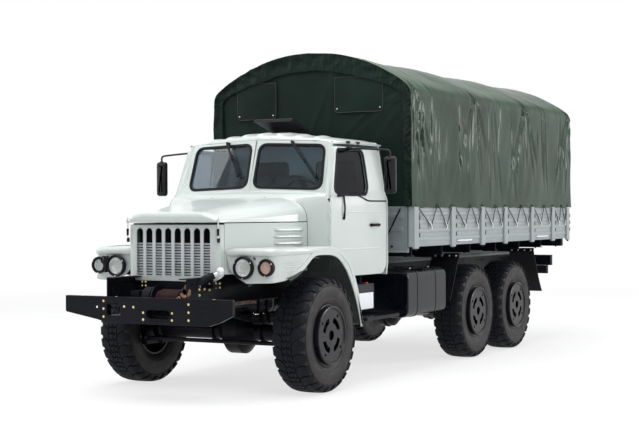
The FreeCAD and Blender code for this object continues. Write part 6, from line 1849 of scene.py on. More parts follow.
# ------------------------------------------------------------------ chassis sides
def tanks():
    """Fuel tanks with pressed ends, straps, beads and a cap; battery box with its blank plate."""
    shape = Shape()
    front, rear = 3.050, 4.008
    corners = rounded(oblong(0.50, 0.565, 1.095, 1.065), 0.105, 9)
    upright = lambda x, z, back: (x, yy(back), z)
    for side in (-1, 1):
        loop = turned([(side * x, z) for x, z in corners])
        rows = []
        for back, inset in ((front + 0.020, 0.09), (front + 0.020, 0.045), (front + 0.012, 0.040),
                            (front + 0.006, 0.025), (front, 0.014), (front + 0.003, 0.003),
                            (front + 0.014, 0.0), (rear - 0.014, 0.0), (rear - 0.003, 0.003), (rear, 0.014),
                            (rear - 0.006, 0.025), (rear - 0.012, 0.040), (rear - 0.020, 0.045),
                            (rear - 0.020, 0.09)):
            rows.append([(x, yy(back), z) for x, z in set_in(loop, inset)])
        shape.grid(rows, closed_rows=True)
        shape.add(rows[0], [tuple(range(len(loop)))])
        shape.add(rows[-1], [tuple(reversed(range(len(loop))))])
        for back in (3.30, 3.76):
            edging(shape, loop, upright, ((0.0, back - 0.028), (-0.004, back - 0.027),
                                          (-0.004, back + 0.027), (0.0, back + 0.028)))
            bolt = (side * 0.99, yy(back), 1.068)
            hexagon_bolt(shape, bolt, UPWARDS, 0.009, 0.004, 1)
            shape.block((side * 0.431, side * 0.52), (back - 0.03, back + 0.03), (0.86, 1.06))
        for back in (3.14, 3.22, 3.40, 3.50, 3.60, 3.88):
            edging(shape, loop, upright, ((0.0, back - 0.010), (0.003, back - 0.004),
                                          (0.003, back + 0.004), (0.0, back + 0.010)))
    shape.lathe([(0, 0.0), (0, 0.05), (0.006, 0.052), (0.010, 0.05), (0.010, 0.0)], (0.78, yy(3.48), 1.062),
                UPWARDS, 24)
    shape.points = [(max(-1.105, min(1.105, x)), y, min(z, 1.075)) for x, y, z in shape.points]
    shape.make("tank_set", "chassis", [TANK, STEEL], "chassis_paint", node="fuel_tanks")
    box = Shape()
    outline = rounded(oblong(2.150, 0.69, 2.560, 0.95), 0.015, 3)
    side_face = lambda u, v, depth: (0.948 - depth, yy(u), v)
    plate(box, outline, [], side_face, 0.50, edge=0.006, slot=0)
    rim_band(box, outline, side_face, 0.012, 0.030, 0.0015, 0)
    plate(box, rounded(oblong(2.168, 0.700, 2.538, 0.860), 0.012, 4), [],
          lambda u, v, depth: (0.9500 - depth, yy(u), v), 0.004, edge=0.0015, slot=1)
    box.block((0.905, 0.935), (2.415, 2.450), (0.945, 0.962), 2)
    box.make("battery_case", "chassis", [TANK, WHITE, RED], "chassis_paint", node="battery_box")


def leaf_pack(shape, x0, x1, middle_back, reach, low, rise, thick, flip=1):
    """A stack of spring leaves, each shorter than the last, with gaps between them."""
    leaves = 7
    for k in range(leaves):
        half = reach * (1 - 0.78 * k / leaves)
        rows = []
        for share in np.linspace(-1, 1, 21):
            z = low + flip * (rise * (share * half / reach) ** 2 - k * thick)
            rows.append(spots((x0, middle_back + share * half, z), (x1, middle_back + share * half, z),
                              (x1, middle_back + share * half, z + thick * 0.86),
                              (x0, middle_back + share * half, z + thick * 0.86)))
        shape.grid(rows, closed_rows=True)
        shape.add(rows[0], [(0, 1, 2, 3)]).add(rows[-1], [(3, 2, 1, 0)])
    return shape


def u_bolt(shape, x0, x1, back, low, high):
    """A U-bolt over a spring with its nuts below."""
    path = spots((x0 - 0.010, back, low), (x0 - 0.010, back, high - 0.01), (x0, back, high),
                 (x1, back, high), (x1 + 0.010, back, high - 0.01), (x1 + 0.010, back, low))
    shape.tube(path, 0.009, 8)
    for x in (x0 - 0.010, x1 + 0.010):
        hexagon_bolt(shape, (x, yy(back), low + 0.012), (0, 0, -1), 0.015, 0.018)


def springs():
    """Front leaf springs with their shackles, and the bogie's springs, trunnions and thrust rods."""
    front_reach, front_drop = 0.765, 0.098
    trunnion_z, nut_ring = 0.668, 0.052
    shape = Shape()
    for side in (-1, 1):
        x0, x1 = sorted((side * 0.347, side * 0.428))
        leaf_pack(shape, x0, x1, FRONT_AXLE, front_reach, 0.6915, front_drop, 0.0085)
        for back in (1.255, 1.375):
            u_bolt(shape, x0, x1, back, 0.625, 0.715)
        shape.block((x0 - 0.012, x1 + 0.012), (1.24, 1.39), (0.6085, 0.632))
        for back in (0.565, 2.065):
            shape.tube(spots((x0 - 0.006, back, 0.795), (x1 + 0.006, back, 0.795)), 0.026, 18)
            shape.prism(((-0.045, 0.055), (0.045, 0.055), (0.022, -0.03), (-0.022, -0.03)),
                        (x0, yy(back), 0.81), BACKWARDS, UPWARDS, (0.014, 0, 0))
            shape.prism(((-0.045, 0.055), (0.045, 0.055), (0.022, -0.03), (-0.022, -0.03)),
                        (x1 - 0.014, yy(back), 0.81), BACKWARDS, UPWARDS, (0.014, 0, 0))
        for back in (0.86, 1.06, 1.57, 1.77):
            drop = front_drop * ((back - FRONT_AXLE) / front_reach) ** 2
            shape.block((x0 - 0.004, x1 + 0.004), (back - 0.012, back + 0.012),
                        (0.668 + drop, 0.704 + drop))
        x0, x1 = sorted((side * 0.462, side * 0.558))
        leaf_pack(shape, x0, x1, BOGIE_PIVOT, 0.665, 0.737, 0.118, 0.0082, flip=-1)
        for back in (5.375, 5.495):
            u_bolt(shape, x0, x1, back, 0.645, 0.806)
        shape.block((x0 - 0.012, x1 + 0.012), (5.35, 5.52), (0.792, 0.804))
        shape.block((x0 - 0.012, x1 + 0.012), (5.35, 5.52), (0.66, 0.736))
        shape.lathe([(-0.10, 0.0), (-0.10, 0.075), (-0.06, 0.082), (0.11, 0.082), (0.13, 0.068),
                     (0.138, 0.064), (0.142, 0.03), (0.142, 0.0)],
                    (side * RAIL_SIDE, yy(BOGIE_PIVOT), 0.668), (side, 0, 0), 32)
        for k in range(6):
            angle = math.pi * k / 3
            hexagon_bolt(shape,
                         (side * 0.568, yy(5.435 + 0.052 * math.cos(angle)),
                          trunnion_z + nut_ring * math.sin(angle)), (side, 0, 0), 0.008, 0.006)
        shape.prism(((-0.13, 0.0), (0.13, 0.0), (0.07, -0.20), (-0.07, -0.20)),
                    (side * 0.35, yy(BOGIE_PIVOT), 0.85), BACKWARDS, UPWARDS, (side * 0.08, 0, 0))
        for axle, hand in ((MIDDLE_AXLE, 1), (REAR_AXLE, -1)):
            rod = spots((side * 0.37, axle + hand * 0.079, 0.530),
                        (side * 0.37, BOGIE_PIVOT - hand * 0.05, 0.600))
            shape.tube(rod, 0.022, 14)
            shape.block((x0, x1), (axle - 0.075, axle + 0.075), (0.6085, 0.622))
    shape.tube(spots((-RAIL_SIDE, BOGIE_PIVOT, trunnion_z), (RAIL_SIDE, BOGIE_PIVOT, trunnion_z)), 0.052,
               24)
    shape.make("spring_set", "chassis", CHASSIS, "chassis_paint", bevel=0.0015, node="suspension")


def motor():
    """Inline six with its sump, head, covers, manifolds, fan and drives; gearbox behind it and its feet."""
    shape = Shape()
    shape.block((-0.17, 0.18), (0.80, 1.50), (0.94, 1.215))
    shape.prism(((-0.15, 0.94), (0.15, 0.94), (0.11, 0.802), (-0.11, 0.802)), (0, yy(0.86), 0), LEFTWARDS,
                UPWARDS, (0, 0.60, 0), 1)
    shape.block((-0.165, 0.165), (0.84, 1.48), (0.932, 0.944), 1)
    shape.block((-0.135, 0.135), (0.81, 1.49), (1.217, 1.330))
    cover = rounded(((-0.085, 1.333), (0.085, 1.333), (0.070, 1.418), (-0.070, 1.418)), 0.022, 5)
    shape.prism(cover, (0, yy(0.83), 0), LEFTWARDS, UPWARDS, (0, 0.64, 0), 1)
    for back in np.linspace(0.87, 1.43, 9):
        shape.block((-0.072, 0.072), (back - 0.004, back + 0.004), (1.414, 1.424), 1)
    shape.lathe([(0, 0.0), (0, 0.03), (0.024, 0.034), (0.032, 0.028), (0.034, 0.0)], (0, yy(1.02), 1.420),
                UPWARDS, 24, 2)
    for back in np.linspace(0.86, 1.44, 6):
        shape.tube(flowing(spots((-0.135, back, 1.27), (-0.175, back, 1.275), (-0.205, back, 1.245)), 6),
                   0.024, 12)
        shape.tube(flowing(spots((0.135, back, 1.29), (0.170, back, 1.305), (0.195, back, 1.30)), 6), 0.022,
                   12, 1)
        for side, x in ((1, 0.19), (-1, -0.18)):
            shape.lathe([(0, 0.0), (0, 0.026), (0.008, 0.026), (0.009, 0.0)],
                        (side * abs(x), yy(back), 1.08), (side, 0, 0), 18)
        for z in (0.975, 1.185):
            hexagon_bolt(shape, (0.18, yy(back + 0.05), z), LEFTWARDS, 0.010, 0.008, 2)
            hexagon_bolt(shape, (-0.17, yy(back + 0.05), z), (-1, 0, 0), 0.010, 0.008, 2)
    shape.tube(spots((-0.205, 0.84, 1.245), (-0.205, 1.46, 1.245)), 0.036, 16, 3)
    shape.tube(flowing(spots((-0.205, 1.15, 1.24), (-0.215, 1.25, 1.14), (-0.23, 1.36, 1.02)), 12), 0.034,
               14, 3)
    shape.tube(spots((0.20, 0.84, 1.30), (0.20, 1.46, 1.30)), 0.034, 16, 1)
    shape.tube(flowing(spots((0.20, 1.10, 1.30), (0.19, 1.12, 1.37), (0.165, 1.16, 1.40)), 10), 0.034, 14,
               4)
    shape.lathe([(0, 0.0), (0, 0.085), (0.01, 0.092), (0.075, 0.092), (0.08, 0.098), (0.095, 0.098),
                 (0.103, 0.09), (0.108, 0.02), (0.120, 0.016), (0.120, 0.0)], (0.165, yy(1.24), 1.352),
                UPWARDS, 40, 1)
    for x, z, radius, back in ((0, 1.02, 0.085, 0.790), (0, 1.20, 0.065, 0.790),
                               (0.165, 1.16, 0.042, 0.790)):
        shape.lathe([(0.028, 0.0), (0.028, radius), (0.020, radius), (0.015, radius - 0.012),
                     (0.010, radius), (0, radius), (0, 0.0)], (x, yy(back - 0.028), z), BACKWARDS, 36, 2)
    belt = [(0.088, 1.02), (0.198, 1.14), (0.200, 1.18), (0.16, 1.203), (0.0, 1.268), (-0.066, 1.20),
            (-0.087, 1.02), (0.0, 0.932)]
    belt = flowing(belt + belt[:1], 60)[:-1]
    shape.tube([(p.x, yy(0.778), p.y) for p in map(Vector, belt)], 0.006, 6, 4, loop=True)
    shape.lathe([(0, 0.0), (0, 0.055), (0.11, 0.062), (0.13, 0.055), (0.13, 0.0)], (0.165, yy(0.795), 1.16),
                BACKWARDS, 28, 2)
    shape.lathe([(-0.03, 0.0), (-0.03, 0.045), (0.02, 0.05), (0.02, 0.0)], (0, yy(0.745), 1.20), BACKWARDS,
                24, 2)
    for k in range(6):
        turn = 2 * math.pi * k / 6
        run, lift = Vector((math.cos(turn), 0, math.sin(turn))), Vector((-math.sin(turn), 0,
                                                                         math.cos(turn)))
        rows = []
        for share in np.linspace(0.15, 1.0, 6):
            centre = Vector((0, yy(0.728), 1.20)) + run * 0.235 * share
            chord = (lift * 0.8 + Vector((0, 0.5, 0))) * (0.035 + 0.02 * share)
            rows.append([centre - chord, centre + chord])
        back_rows = [[b + Vector((0, 0.003, 0)), a + Vector((0, 0.003, 0))] for a, b in rows]
        shape.grid([front + rear for front, rear in zip(rows, back_rows)], 1, closed_rows=True)
    hose = spots((-0.10, 0.60, 1.50), (-0.09, 0.66, 1.495), (-0.04, 0.74, 1.43), (0.0, 0.80, 1.36),
                 (0.0, 0.84, 1.32))
    shape.tube(flowing(hose, 20), 0.027, 14, 4)
    for spot in (hose[1], hose[3]):
        shape.lathe([(-0.008, 0.028), (-0.008, 0.031), (0.008, 0.031), (0.008, 0.028)], spot,
                    (0.3, 1, -0.6), 20, 2)
    for side in (-1, 1):
        shape.block((side * 0.15, side * 0.418), (0.822, 0.898), (1.012, 1.030))
        shape.block((side * 0.38, side * 0.419), (0.822, 0.898), (1.001, 1.068), 4)
    shape.lathe([(0, 0.0), (0, 0.105), (0.12, 0.105), (0.13, 0.09), (0.14, 0.0)], (0, yy(1.50), 0.90),
                BACKWARDS, 36)
    shape.block((-0.13, 0.13), (1.64, 2.06), (0.805, 1.000))
    shape.lathe([(0, 0.0), (0, 0.085), (0.10, 0.07), (0.16, 0.055), (0.178, 0.055), (0.178, 0.0)],
                (0, yy(2.06), 0.87), BACKWARDS, 32)
    for back in np.linspace(1.70, 2.0, 5):
        shape.block((-0.136, 0.136), (back - 0.006, back + 0.006), (0.812, 0.992))
        hexagon_bolt(shape, (-0.09, yy(back + 0.03), 1.0), UPWARDS, 0.010, 0.007, 2)
        hexagon_bolt(shape, (0.09, yy(back + 0.03), 1.0), UPWARDS, 0.010, 0.007, 2)
    shape.make("motor_block", "chassis", [CAST, MOTOR, STEEL, RUST, RUBBER], "cast", bevel=0.004,
               node="engine")


def shaft(shape, start, end, radius):
    """A propeller shaft with a yoke, cross and flange at each end."""
    start, end = Vector(start), Vector(end)
    run = (end - start).normalized()
    shape.tube([start + run * 0.10, end - run * 0.10], radius, 24)
    for spot, way in ((start, 1), (end, -1)):
        shape.lathe([(0, 0.0), (0, radius + 0.016), (0.014, radius + 0.016), (0.014, radius - 0.010),
                     (0.045, radius - 0.016), (0.045, 0.0)], spot, run * way, 28)
        side = run.orthogonal().normalized()
        for k in range(6):
            out = side * math.cos(k * math.pi / 3) + run.cross(side) * math.sin(k * math.pi / 3)
            hexagon_bolt(shape, spot + out * (radius + 0.004) + run * way * 0.014, run * way, 0.007, 0.006)
        centre = spot + run * way * 0.062
        for arm in (side, run.cross(side)):
            shape.tube([centre - arm * (radius - 0.002), centre + arm * (radius - 0.002)], 0.015, 12)
        shape.lathe([(0.06, radius - 0.014), (0.075, radius - 0.006), (0.11, radius + 0.004),
                     (0.12, radius + 0.001)], spot, run * way, 24)


def running_gear():
    """Transfer case on its member, and the shafts to the three axles."""
    shape = Shape()
    outline = rounded(((-0.175, 0.605), (0.245, 0.605), (0.245, 0.80), (0.15, 0.945), (-0.12, 0.945),
                       (-0.175, 0.86)), 0.04, 6)
    shape.prism(outline, (0, yy(2.86), 0), LEFTWARDS, UPWARDS, (0, 0.27, 0))
    for back in (2.845, 3.122):
        shape.prism(set_in(outline, -0.004), (0, yy(back), 0), LEFTWARDS, UPWARDS, (0, 0.016, 0))
    for k in range(5):
        back = 2.885 + 0.045 * k
        shape.prism(set_in(outline, -0.004), (0, yy(back), 0), LEFTWARDS, UPWARDS, (0, 0.007, 0))
    for x, z, low, high in ((0, 0.87, 2.795, 2.86), (0.15, 0.70, 2.795, 2.86), (0, 0.69, 3.13, 3.197)):
        shape.lathe([(low, 0.0), (low, 0.062), (low + 0.02, 0.066), (high - 0.01, 0.075), (high, 0.075)],
                    (x, yy(0), z), BACKWARDS, 32)
    for x, z in resample(set_in(outline, 0.012), 0.075):
        hexagon_bolt(shape, (x, yy(2.845), z), (0, -1, 0), 0.008, 0.007)
        hexagon_bolt(shape, (x, yy(3.138), z), BACKWARDS, 0.008, 0.007)
    shape.block((-0.419, 0.419), (2.945, 3.055), (0.941, 0.953))
    shape.block((-0.419, 0.419), (2.945, 3.055), (0.988, 0.9995))
    shape.block((-0.419, 0.419), (2.995, 3.005), (0.953, 0.988))
    shaft(shape, (0, yy(2.241), 0.87), (0, yy(2.794), 0.87), 0.040)
    shaft(shape, (0.15, yy(1.617), 0.562), (0.15, yy(2.792), 0.682), 0.040)
    shaft(shape, (0, yy(3.199), 0.690), (0, yy(4.523), 0.562), 0.042)
    shaft(shape, (0, yy(5.127), 0.560), (0, yy(5.743), 0.560), 0.040)
    shape.make("running_gear", "chassis", CHASSIS, "chassis_paint", bevel=0.002, node="driveline")


def exhaust_pipe():
    """Downpipe, a seamed silencer in straps, and a side outlet, all scaled with light rust."""
    x, z = -0.56, 0.79
    shape = Shape()
    shape.lathe([(0.0, 0.036), (0.004, 0.06), (0.012, 0.088), (0.020, 0.099), (0.032, 0.099),
                 (0.036, 0.095), (0.594, 0.095), (0.598, 0.099), (0.610, 0.099), (0.618, 0.088),
                 (0.626, 0.06), (0.63, 0.036)], (x, yy(2.15), z), BACKWARDS, 48)
    for back in (2.33, 2.545):
        shape.lathe([(-0.018, 0.095), (-0.017, 0.099), (0.017, 0.099), (0.018, 0.095)],
                    (x, yy(back), z), BACKWARDS, 48, 1)
        shape.block((-0.485, -0.431), (back - 0.018, back + 0.018), (0.872, 0.936), 1)
    shape.tube(flowing(spots((-0.28, 1.405, z), (-0.42, 1.555, z), (-0.545, 1.70, z),
                             (x, 1.80, z), (x, 2.16, z)), 30), 0.034, 20)
    shape.tube(flowing(spots((x, 2.77, z), (x, 2.86, z), (-0.60, 2.915, z),
                             (-0.70, 2.925, z), (-0.98, 2.960, z)), 30), 0.034, 20, caps=False)
    for spot, way in (((x, yy(1.98), z), BACKWARDS), ((-0.80, yy(2.937), z), (-1, 0.12, 0))):
        shape.lathe([(-0.02, 0.034), (-0.02, 0.0375), (0.02, 0.0375), (0.02, 0.034)], spot, way, 28, 1)
    shape.make("exhaust_set", "chassis", [RUST, CHASSIS], "cast", node="exhaust")


def steps():
    """Perforated steel steps below the doors on angle hangers."""
    shape = Shape()
    for side in (-1, 1):
        def place(u, v, depth, side=side):
            return (side * u, yy(v), 0.6385 - depth)
        outline = rounded(oblong(0.70, 2.110, 1.095, 2.845), 0.02, 4)
        holes = [circle((x, back), 0.016, 12) for x in np.arange(0.745, 1.06, 0.062)
                 for back in np.arange(2.155, 2.82, 0.0572)]
        plate(shape, outline, holes, place, 0.004, edge=0.001)
        for hole in holes:
            edging(shape, hole, place, ((-0.006, 0.0005), (-0.002, -0.0012), (0.0, 0.0)))
        edging(shape, outline, place, ((0.0, 0.0), (0.0, 0.036), (0.003, 0.036), (0.003, 0.003)))
        for back in (2.595, 2.765):
            shape.block((side * 0.431, side * 0.76), (back, back + 0.04), (0.602, 0.608))
            shape.block((side * 0.431, side * 0.76), (back, back + 0.006), (0.602, 0.634))
            shape.block((side * 0.431, side * 0.437), (back, back + 0.04), (0.602, 0.995))
            shape.block((side * 0.431, side * 0.454), (back, back + 0.006), (0.602, 0.995))
            for z in (0.885, 0.960):
                hexagon_bolt(shape, (side * 0.437, yy(back + 0.024), z), (side, 0, 0), 0.011, 0.009)
    shape.make("step_set", "chassis", CHASSIS, "chassis_paint", node="side_steps")


def reservoirs():
    """Two air reservoirs with domed ends, weld beads, straps and drain taps."""
    shape = Shape()
    end = 0.418
    half = [(-end, 0.0), (-end, 0.03), (-end + 0.012, 0.065), (-end + 0.035, 0.088), (-end + 0.06, 0.0935),
            (-end + 0.065, 0.095), (-end + 0.071, 0.0935)]
    for back in (7.08, 7.34):
        shape.lathe(half + [(-along, radius) for along, radius in reversed(half)], (0, yy(back), 0.98),
                    LEFTWARDS, 40)
        for x in (-0.22, 0.22):
            shape.lathe([(-0.02, 0.0935), (-0.019, 0.097), (0.019, 0.097), (0.02, 0.0935)],
                        (x, yy(back), 0.98), LEFTWARDS, 40)
            hexagon_bolt(shape, (x, yy(back), 1.074), UPWARDS, 0.009, 0.008, 1)
        shape.lathe([(0, 0.0), (0, 0.012), (0.012, 0.012), (0.012, 0.005), (0.026, 0.005), (0.026, 0.0)],
                    (0, yy(back), 0.888), (0, 0, -1), 12, 1)
        shape.tube(flowing(spots((0.30, back, 1.07), (0.30, back, 1.10), (0.34, back - 0.05, 1.11),
                                 (0.415, back - 0.07, 1.11)), 14), 0.006, 8, 2)
    shape.make("reservoir_pair", "chassis", [CHASSIS, BRASS, RUBBER], "chassis_paint", node="air_tanks")


def tail_beam():
    """Folded rear beam with bolted gussets, and the two-eared pintle with its web."""
    low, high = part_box("rear_beam")
    shape = Shape()
    front, rear = low.y + 0.001, low.y + 0.079
    channel = ((front, 0.942), (rear, 0.942), (rear, 0.949), (front + 0.008, 0.949), (front + 0.008, 1.071),
               (rear, 1.071), (rear, 1.078), (front, 1.078))
    shape.prism(channel, (-0.963, 0, 0), BACKWARDS, UPWARDS, (1.926, 0, 0))
    for x in (-0.963, -0.44, -0.36, 0.352, 0.432, 0.955):
        shape.box((x, front, 0.944), (x + 0.008, rear - 0.004, 1.076))
    for x in (-0.90, -0.62, -0.40, -0.14, 0.14, 0.40, 0.62, 0.90):
        for z in (0.975, 1.045):
            hexagon_bolt(shape, (x, front + 0.008, z), BACKWARDS, 0.012, 0.009, 1)
    shape.box((-0.09, low.y + 0.001, 0.70), (0.09, low.y + 0.028, 0.944))
    ear_end = high.y - 0.002
    centre = high.y - 0.055
    ear = rounded(oblong(-0.064, low.y + 0.02, 0.064, ear_end), 0.055, 8)
    ear = [(-0.064, low.y + 0.004), (0.064, low.y + 0.004)] + [p for p in ear if p[1] > low.y + 0.08]
    bore = circle((0, centre), 0.0242, 28)
    for z in (0.755 - 0.062, 0.755 + 0.037):
        plate(shape, ear, [bore], lambda u, v, depth, z=z: (u, v, z + 0.025 - depth), 0.025, edge=0.003)
        shape.grid([[(u, v, z + h) for u, v in turned(bore)] for h in (0.025, 0.0)], closed_rows=True)
    for side in (-1, 1):
        shape.prism(((0.0, 0.944), (0.07, 0.944), (0.0, 0.80)), (side * 0.07 - 0.005, low.y + 0.028, 0),
                    BACKWARDS, UPWARDS, (0.010, 0, 0))
        for z in (0.86, 0.91):
            hexagon_bolt(shape, (side * 0.035, low.y + 0.028, z), BACKWARDS, 0.011, 0.009, 1)
    shape.make("tail_beam", "chassis", [CHASSIS, STEEL], "chassis_paint", bevel=0.0015, node="rear_beam")


def wheel_flaps():
    """Thick ribbed rubber flaps before and behind the bogie, on bolted angle hangers."""
    low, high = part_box("mudflaps")
    shape = Shape()
    for line in (((4.325, 1.198), (4.318, 1.15), (4.268, 1.08), (4.16, 0.86), (4.070, 0.692)),
                 ((6.685, 1.198), (6.690, 1.15), (6.742, 1.05), (6.86, 0.82), (6.980, 0.642))):
        for side in (-1, 1):
            rows = []
            for back, z in flowing(line, 24):
                rib = [0.0 if k % 6 else 0.003 for k in range(31)]
                rows.append([(side * (0.787 + 0.330 * k / 30), yy(back - 0.003 - rib[k]), z)
                             for k in range(31)] + [(side * (1.117 - 0.330 * k / 30), yy(back + 0.004), z)
                                                    for k in range(31)])
            shape.grid(rows, closed_rows=True)
            shape.add(rows[-1], [tuple(range(62))])
            back = line[0][0]
            shape.block((side * 0.432, side * 1.117), (back - 0.012, back - 0.005), (1.152, 1.199), 1)
            shape.block((side * 0.432, side * 1.117), (back - 0.012, back + 0.026), (1.190, 1.198), 1)
            for x in np.linspace(0.83, 1.08, 4):
                hexagon_bolt(shape, (side * x, yy(back - 0.012), 1.17), (0, -1, 0), 0.011, 0.008, 2)
    shape.points = [(x, min(max(y, low.y - 0.004), high.y + 0.004), z) for x, y, z in shape.points]
    shape.make("wheel_flaps", "chassis", [RUBBER, CHASSIS, STEEL], "rubber_tyre", node="mudflaps")


def axle_fittings():
    """Bolted flanges and collars round the final drives, and brake backing plates."""
    shape = Shape()
    for x, back in ((0.15, FRONT_AXLE), (0.0, MIDDLE_AXLE), (0.0, REAR_AXLE)):
        centre = (x, yy(back), AXLE_Z)
        edge = 0.190 if back < 2 else 0.218
        shape.lathe([(-0.012, edge - 0.02), (-0.012, edge), (0.012, edge), (0.012, edge - 0.02)], centre,
                    LEFTWARDS, 48)
        for k in range(14):
            angle = 2 * math.pi * k / 14 + 0.1
            spot = Vector(centre) + Vector((0.012, (edge - 0.007) * math.cos(angle),
                                            (edge - 0.007) * math.sin(angle)))
            hexagon_bolt(shape, spot, LEFTWARDS, 0.007, 0.007)
        for side in (-1, 1):
            shape.lathe([(0.0, 0.075), (0.0, 0.100), (0.018, 0.100), (0.018, 0.075)],
                        (x + side * 0.26, yy(back), AXLE_Z), (side, 0, 0), 32)
    for back in (MIDDLE_AXLE, REAR_AXLE):
        for side in (-1, 1):
            shape.lathe([(0.0, 0.06), (0.0, 0.19), (0.008, 0.198), (0.016, 0.198), (0.018, 0.07)],
                        (side * 0.805, yy(back), AXLE_Z), (side, 0, 0), 40)
    shape.make("axle_flanges", "chassis", CHASSIS, "chassis_paint")


def cab_back():
    """Rear wall with pressed ribs and two sealed windows, wrapped round the cab's rear corners."""
    def place(u, v, depth):
        return (u, yy(2.795 - depth), v)
    windows = [rounded(oblong(side * 0.395 - 0.235, 1.89, side * 0.395 + 0.235, 2.19), 0.06, 6)
               for side in (-1, 1)]
    inset = [(1.0 - inwards - 0.020, z) for z, inwards in zip(SIDE_Z, SIDE_IN)]
    top = [(0.86, 2.360), (0.55, 2.405), (0.0, 2.420)]
    half = inset + top
    outline = half + [(-x, z) for x, z in half[-2::-1]]
    shape = Shape()
    plate(shape, outline, windows, place, 0.012, edge=0.004)
    for side in (-1, 1):
        rows = []
        for inwards, back in ((0.020, 2.795), (0.006, 2.788), (0.001, 2.774), (0.0, 2.758), (0.006, 2.754),
                              (0.012, 2.758)):
            rows.append([(side * (1.0 - more - inwards), yy(back), z) for z, more in zip(SIDE_Z, SIDE_IN)])
        shape.grid(rows)
        for z in (1.16, 1.30, 1.44, 1.58, 1.72):
            pressed_rib(shape, place(side * 0.12, z, 0), place(side * 0.86, z, 0), UPWARDS, BACKWARDS,
                        0.05, 0.010)
    shape.block((-0.95, 0.95), (2.765, 2.783), (1.035, 1.085))
    shape.make("cab_back_wall", "chassis", CAB, "cab_paint", node="cab_rear_wall")
    seals, panes = Shape(), Shape()
    for window in windows:
        gasket(seals, window, place, 0.026, 0.008)
        plate(panes, set_in(window, -0.004), [], lambda u, v, depth: place(u, v, depth - 0.002), 0.006,
              edge=0.001)
    seals.make("back_window_seals", "chassis", RUBBER, "black_rubber")
    panes.make("back_window_panes", "chassis", GLASS, "glass", weld=0.00005)


def bed_inside():
    """Floor planks on bearers, slatted benches on folded legs."""
    floor = Shape()
    for k in range(11):
        x = -1.115 + k * 0.2032
        floor.block((x, x + 0.198), (3.03, 7.78), (1.322, 1.3495))
    floor.block((-1.120, 1.120), (3.026, 7.782), (1.302, 1.322), 1)
    # The rails under the floor take the fourth slot, the darker bed paint that stands for painted shade.
    for side in (-1, 1):
        floor.block((side * 0.350, side * RAIL_SIDE), (3.03, 7.78), (1.0905, 1.118), 3)
        floor.block((side * 0.350, side * RAIL_SIDE), (3.03, 7.78), (1.172, 1.200), 3)
        floor.block((side * 0.380, side * 0.400), (3.03, 7.78), (1.118, 1.172), 3)
    for k in range(7):
        back = 3.063 + 4.62 * k / 6
        for z0, z1, depth in ((1.2005, 1.209, 0.07), (1.292, 1.3015, 0.07), (1.209, 1.292, 0.010)):
            floor.block((-1.125, 1.125), (back, back + depth), (z0, z1), 2)
        for side in (-1, 1):
            for x in (0.46, 1.04):
                hexagon_bolt(floor, (side * x, yy(back + 0.045), 1.2005), (0, 0, -1), 0.012, 0.008, 2)
    floor.block((-1.120, 1.120), (7.735, 7.783), (1.2005, 1.3015), 2)
    for x in (-0.8, -0.03, 0.74):
        floor.block((x, x + 0.06), (7.785, 7.818), (1.242, 1.298), 2)
    floor.make("bed_floor_frame", "chassis", [WOOD, BED, CHASSIS, BED_PAINTED_SHADE], "bed_paint", bevel=0.0015,
               node="bed_floor")
    benches = Shape()
    for side in (-1, 1):
        for k in range(5):
            benches.block((side * (0.722 + 0.077 * k), side * (0.722 + 0.077 * k + 0.068)), (3.17, 7.58),
                          (1.778, 1.799), 0)
        for index in range(5):
            back = 3.23 + (4.86 - 0.45 - 0.18) * index / 4
            benches.block((side * 0.725, side * 1.098), (back, back + 0.05), (1.745, 1.778), 1)
            for x in (0.80, 1.05):
                benches.block((side * x, side * (x + 0.035)), (back + 0.005, back + 0.04), (1.354, 1.75), 1)
    benches.make("bench_slats", "chassis", [WOOD, CHASSIS], "wood", bevel=0.003, node="benches")


def bolted_frame():
    """Bolt heads along the frame rails, and brake chambers by the rear axles."""
    shape = Shape()
    for side in (-1, 1):
        for back in (0.10, 0.16, 0.62, 0.70, 1.02, 1.10, 1.55, 1.63, 2.25, 2.33, 3.10, 3.18, 3.62, 3.70,
                     4.22, 4.30, 4.98, 5.06, 5.36, 5.50, 5.80, 5.88, 6.60, 6.68, 7.30, 7.38):
            for z in (0.895, 1.045):
                hexagon_bolt(shape, (side * RAIL_SIDE, yy(back), z), (side, 0, 0), 0.009, 0.008)
    shape.make("frame_bolts", "chassis", CHASSIS, "chassis_paint")
    gear = Shape()
    for side in (-1, 1):
        for back in (MIDDLE_AXLE, REAR_AXLE):
            gear.lathe([(0, 0.0), (0, 0.06), (0.015, 0.078), (0.03, 0.082), (0.045, 0.078), (0.07, 0.06),
                        (0.09, 0.03), (0.095, 0.0)], (side * 0.62, yy(back - 0.22), 0.66), (0, -1, 0.2), 28)
            gear.tube(spots((side * 0.62, back - 0.22, 0.66), (side * 0.62, back - 0.06, 0.60)), 0.018, 10)
    gear.make("brake_chambers", "chassis", CHASSIS, "chassis_paint", bevel=0.002)


# ------------------------------------------------------------------ stage
CAMERA_PLACE = (7.2015, -13.844, 1.6651)
CAMERA_YAW = math.radians(28.90)
CAMERA_PITCH = math.radians(-0.056)
CAMERA_ROLL = math.radians(-0.249)
LENS_MM = 78.38


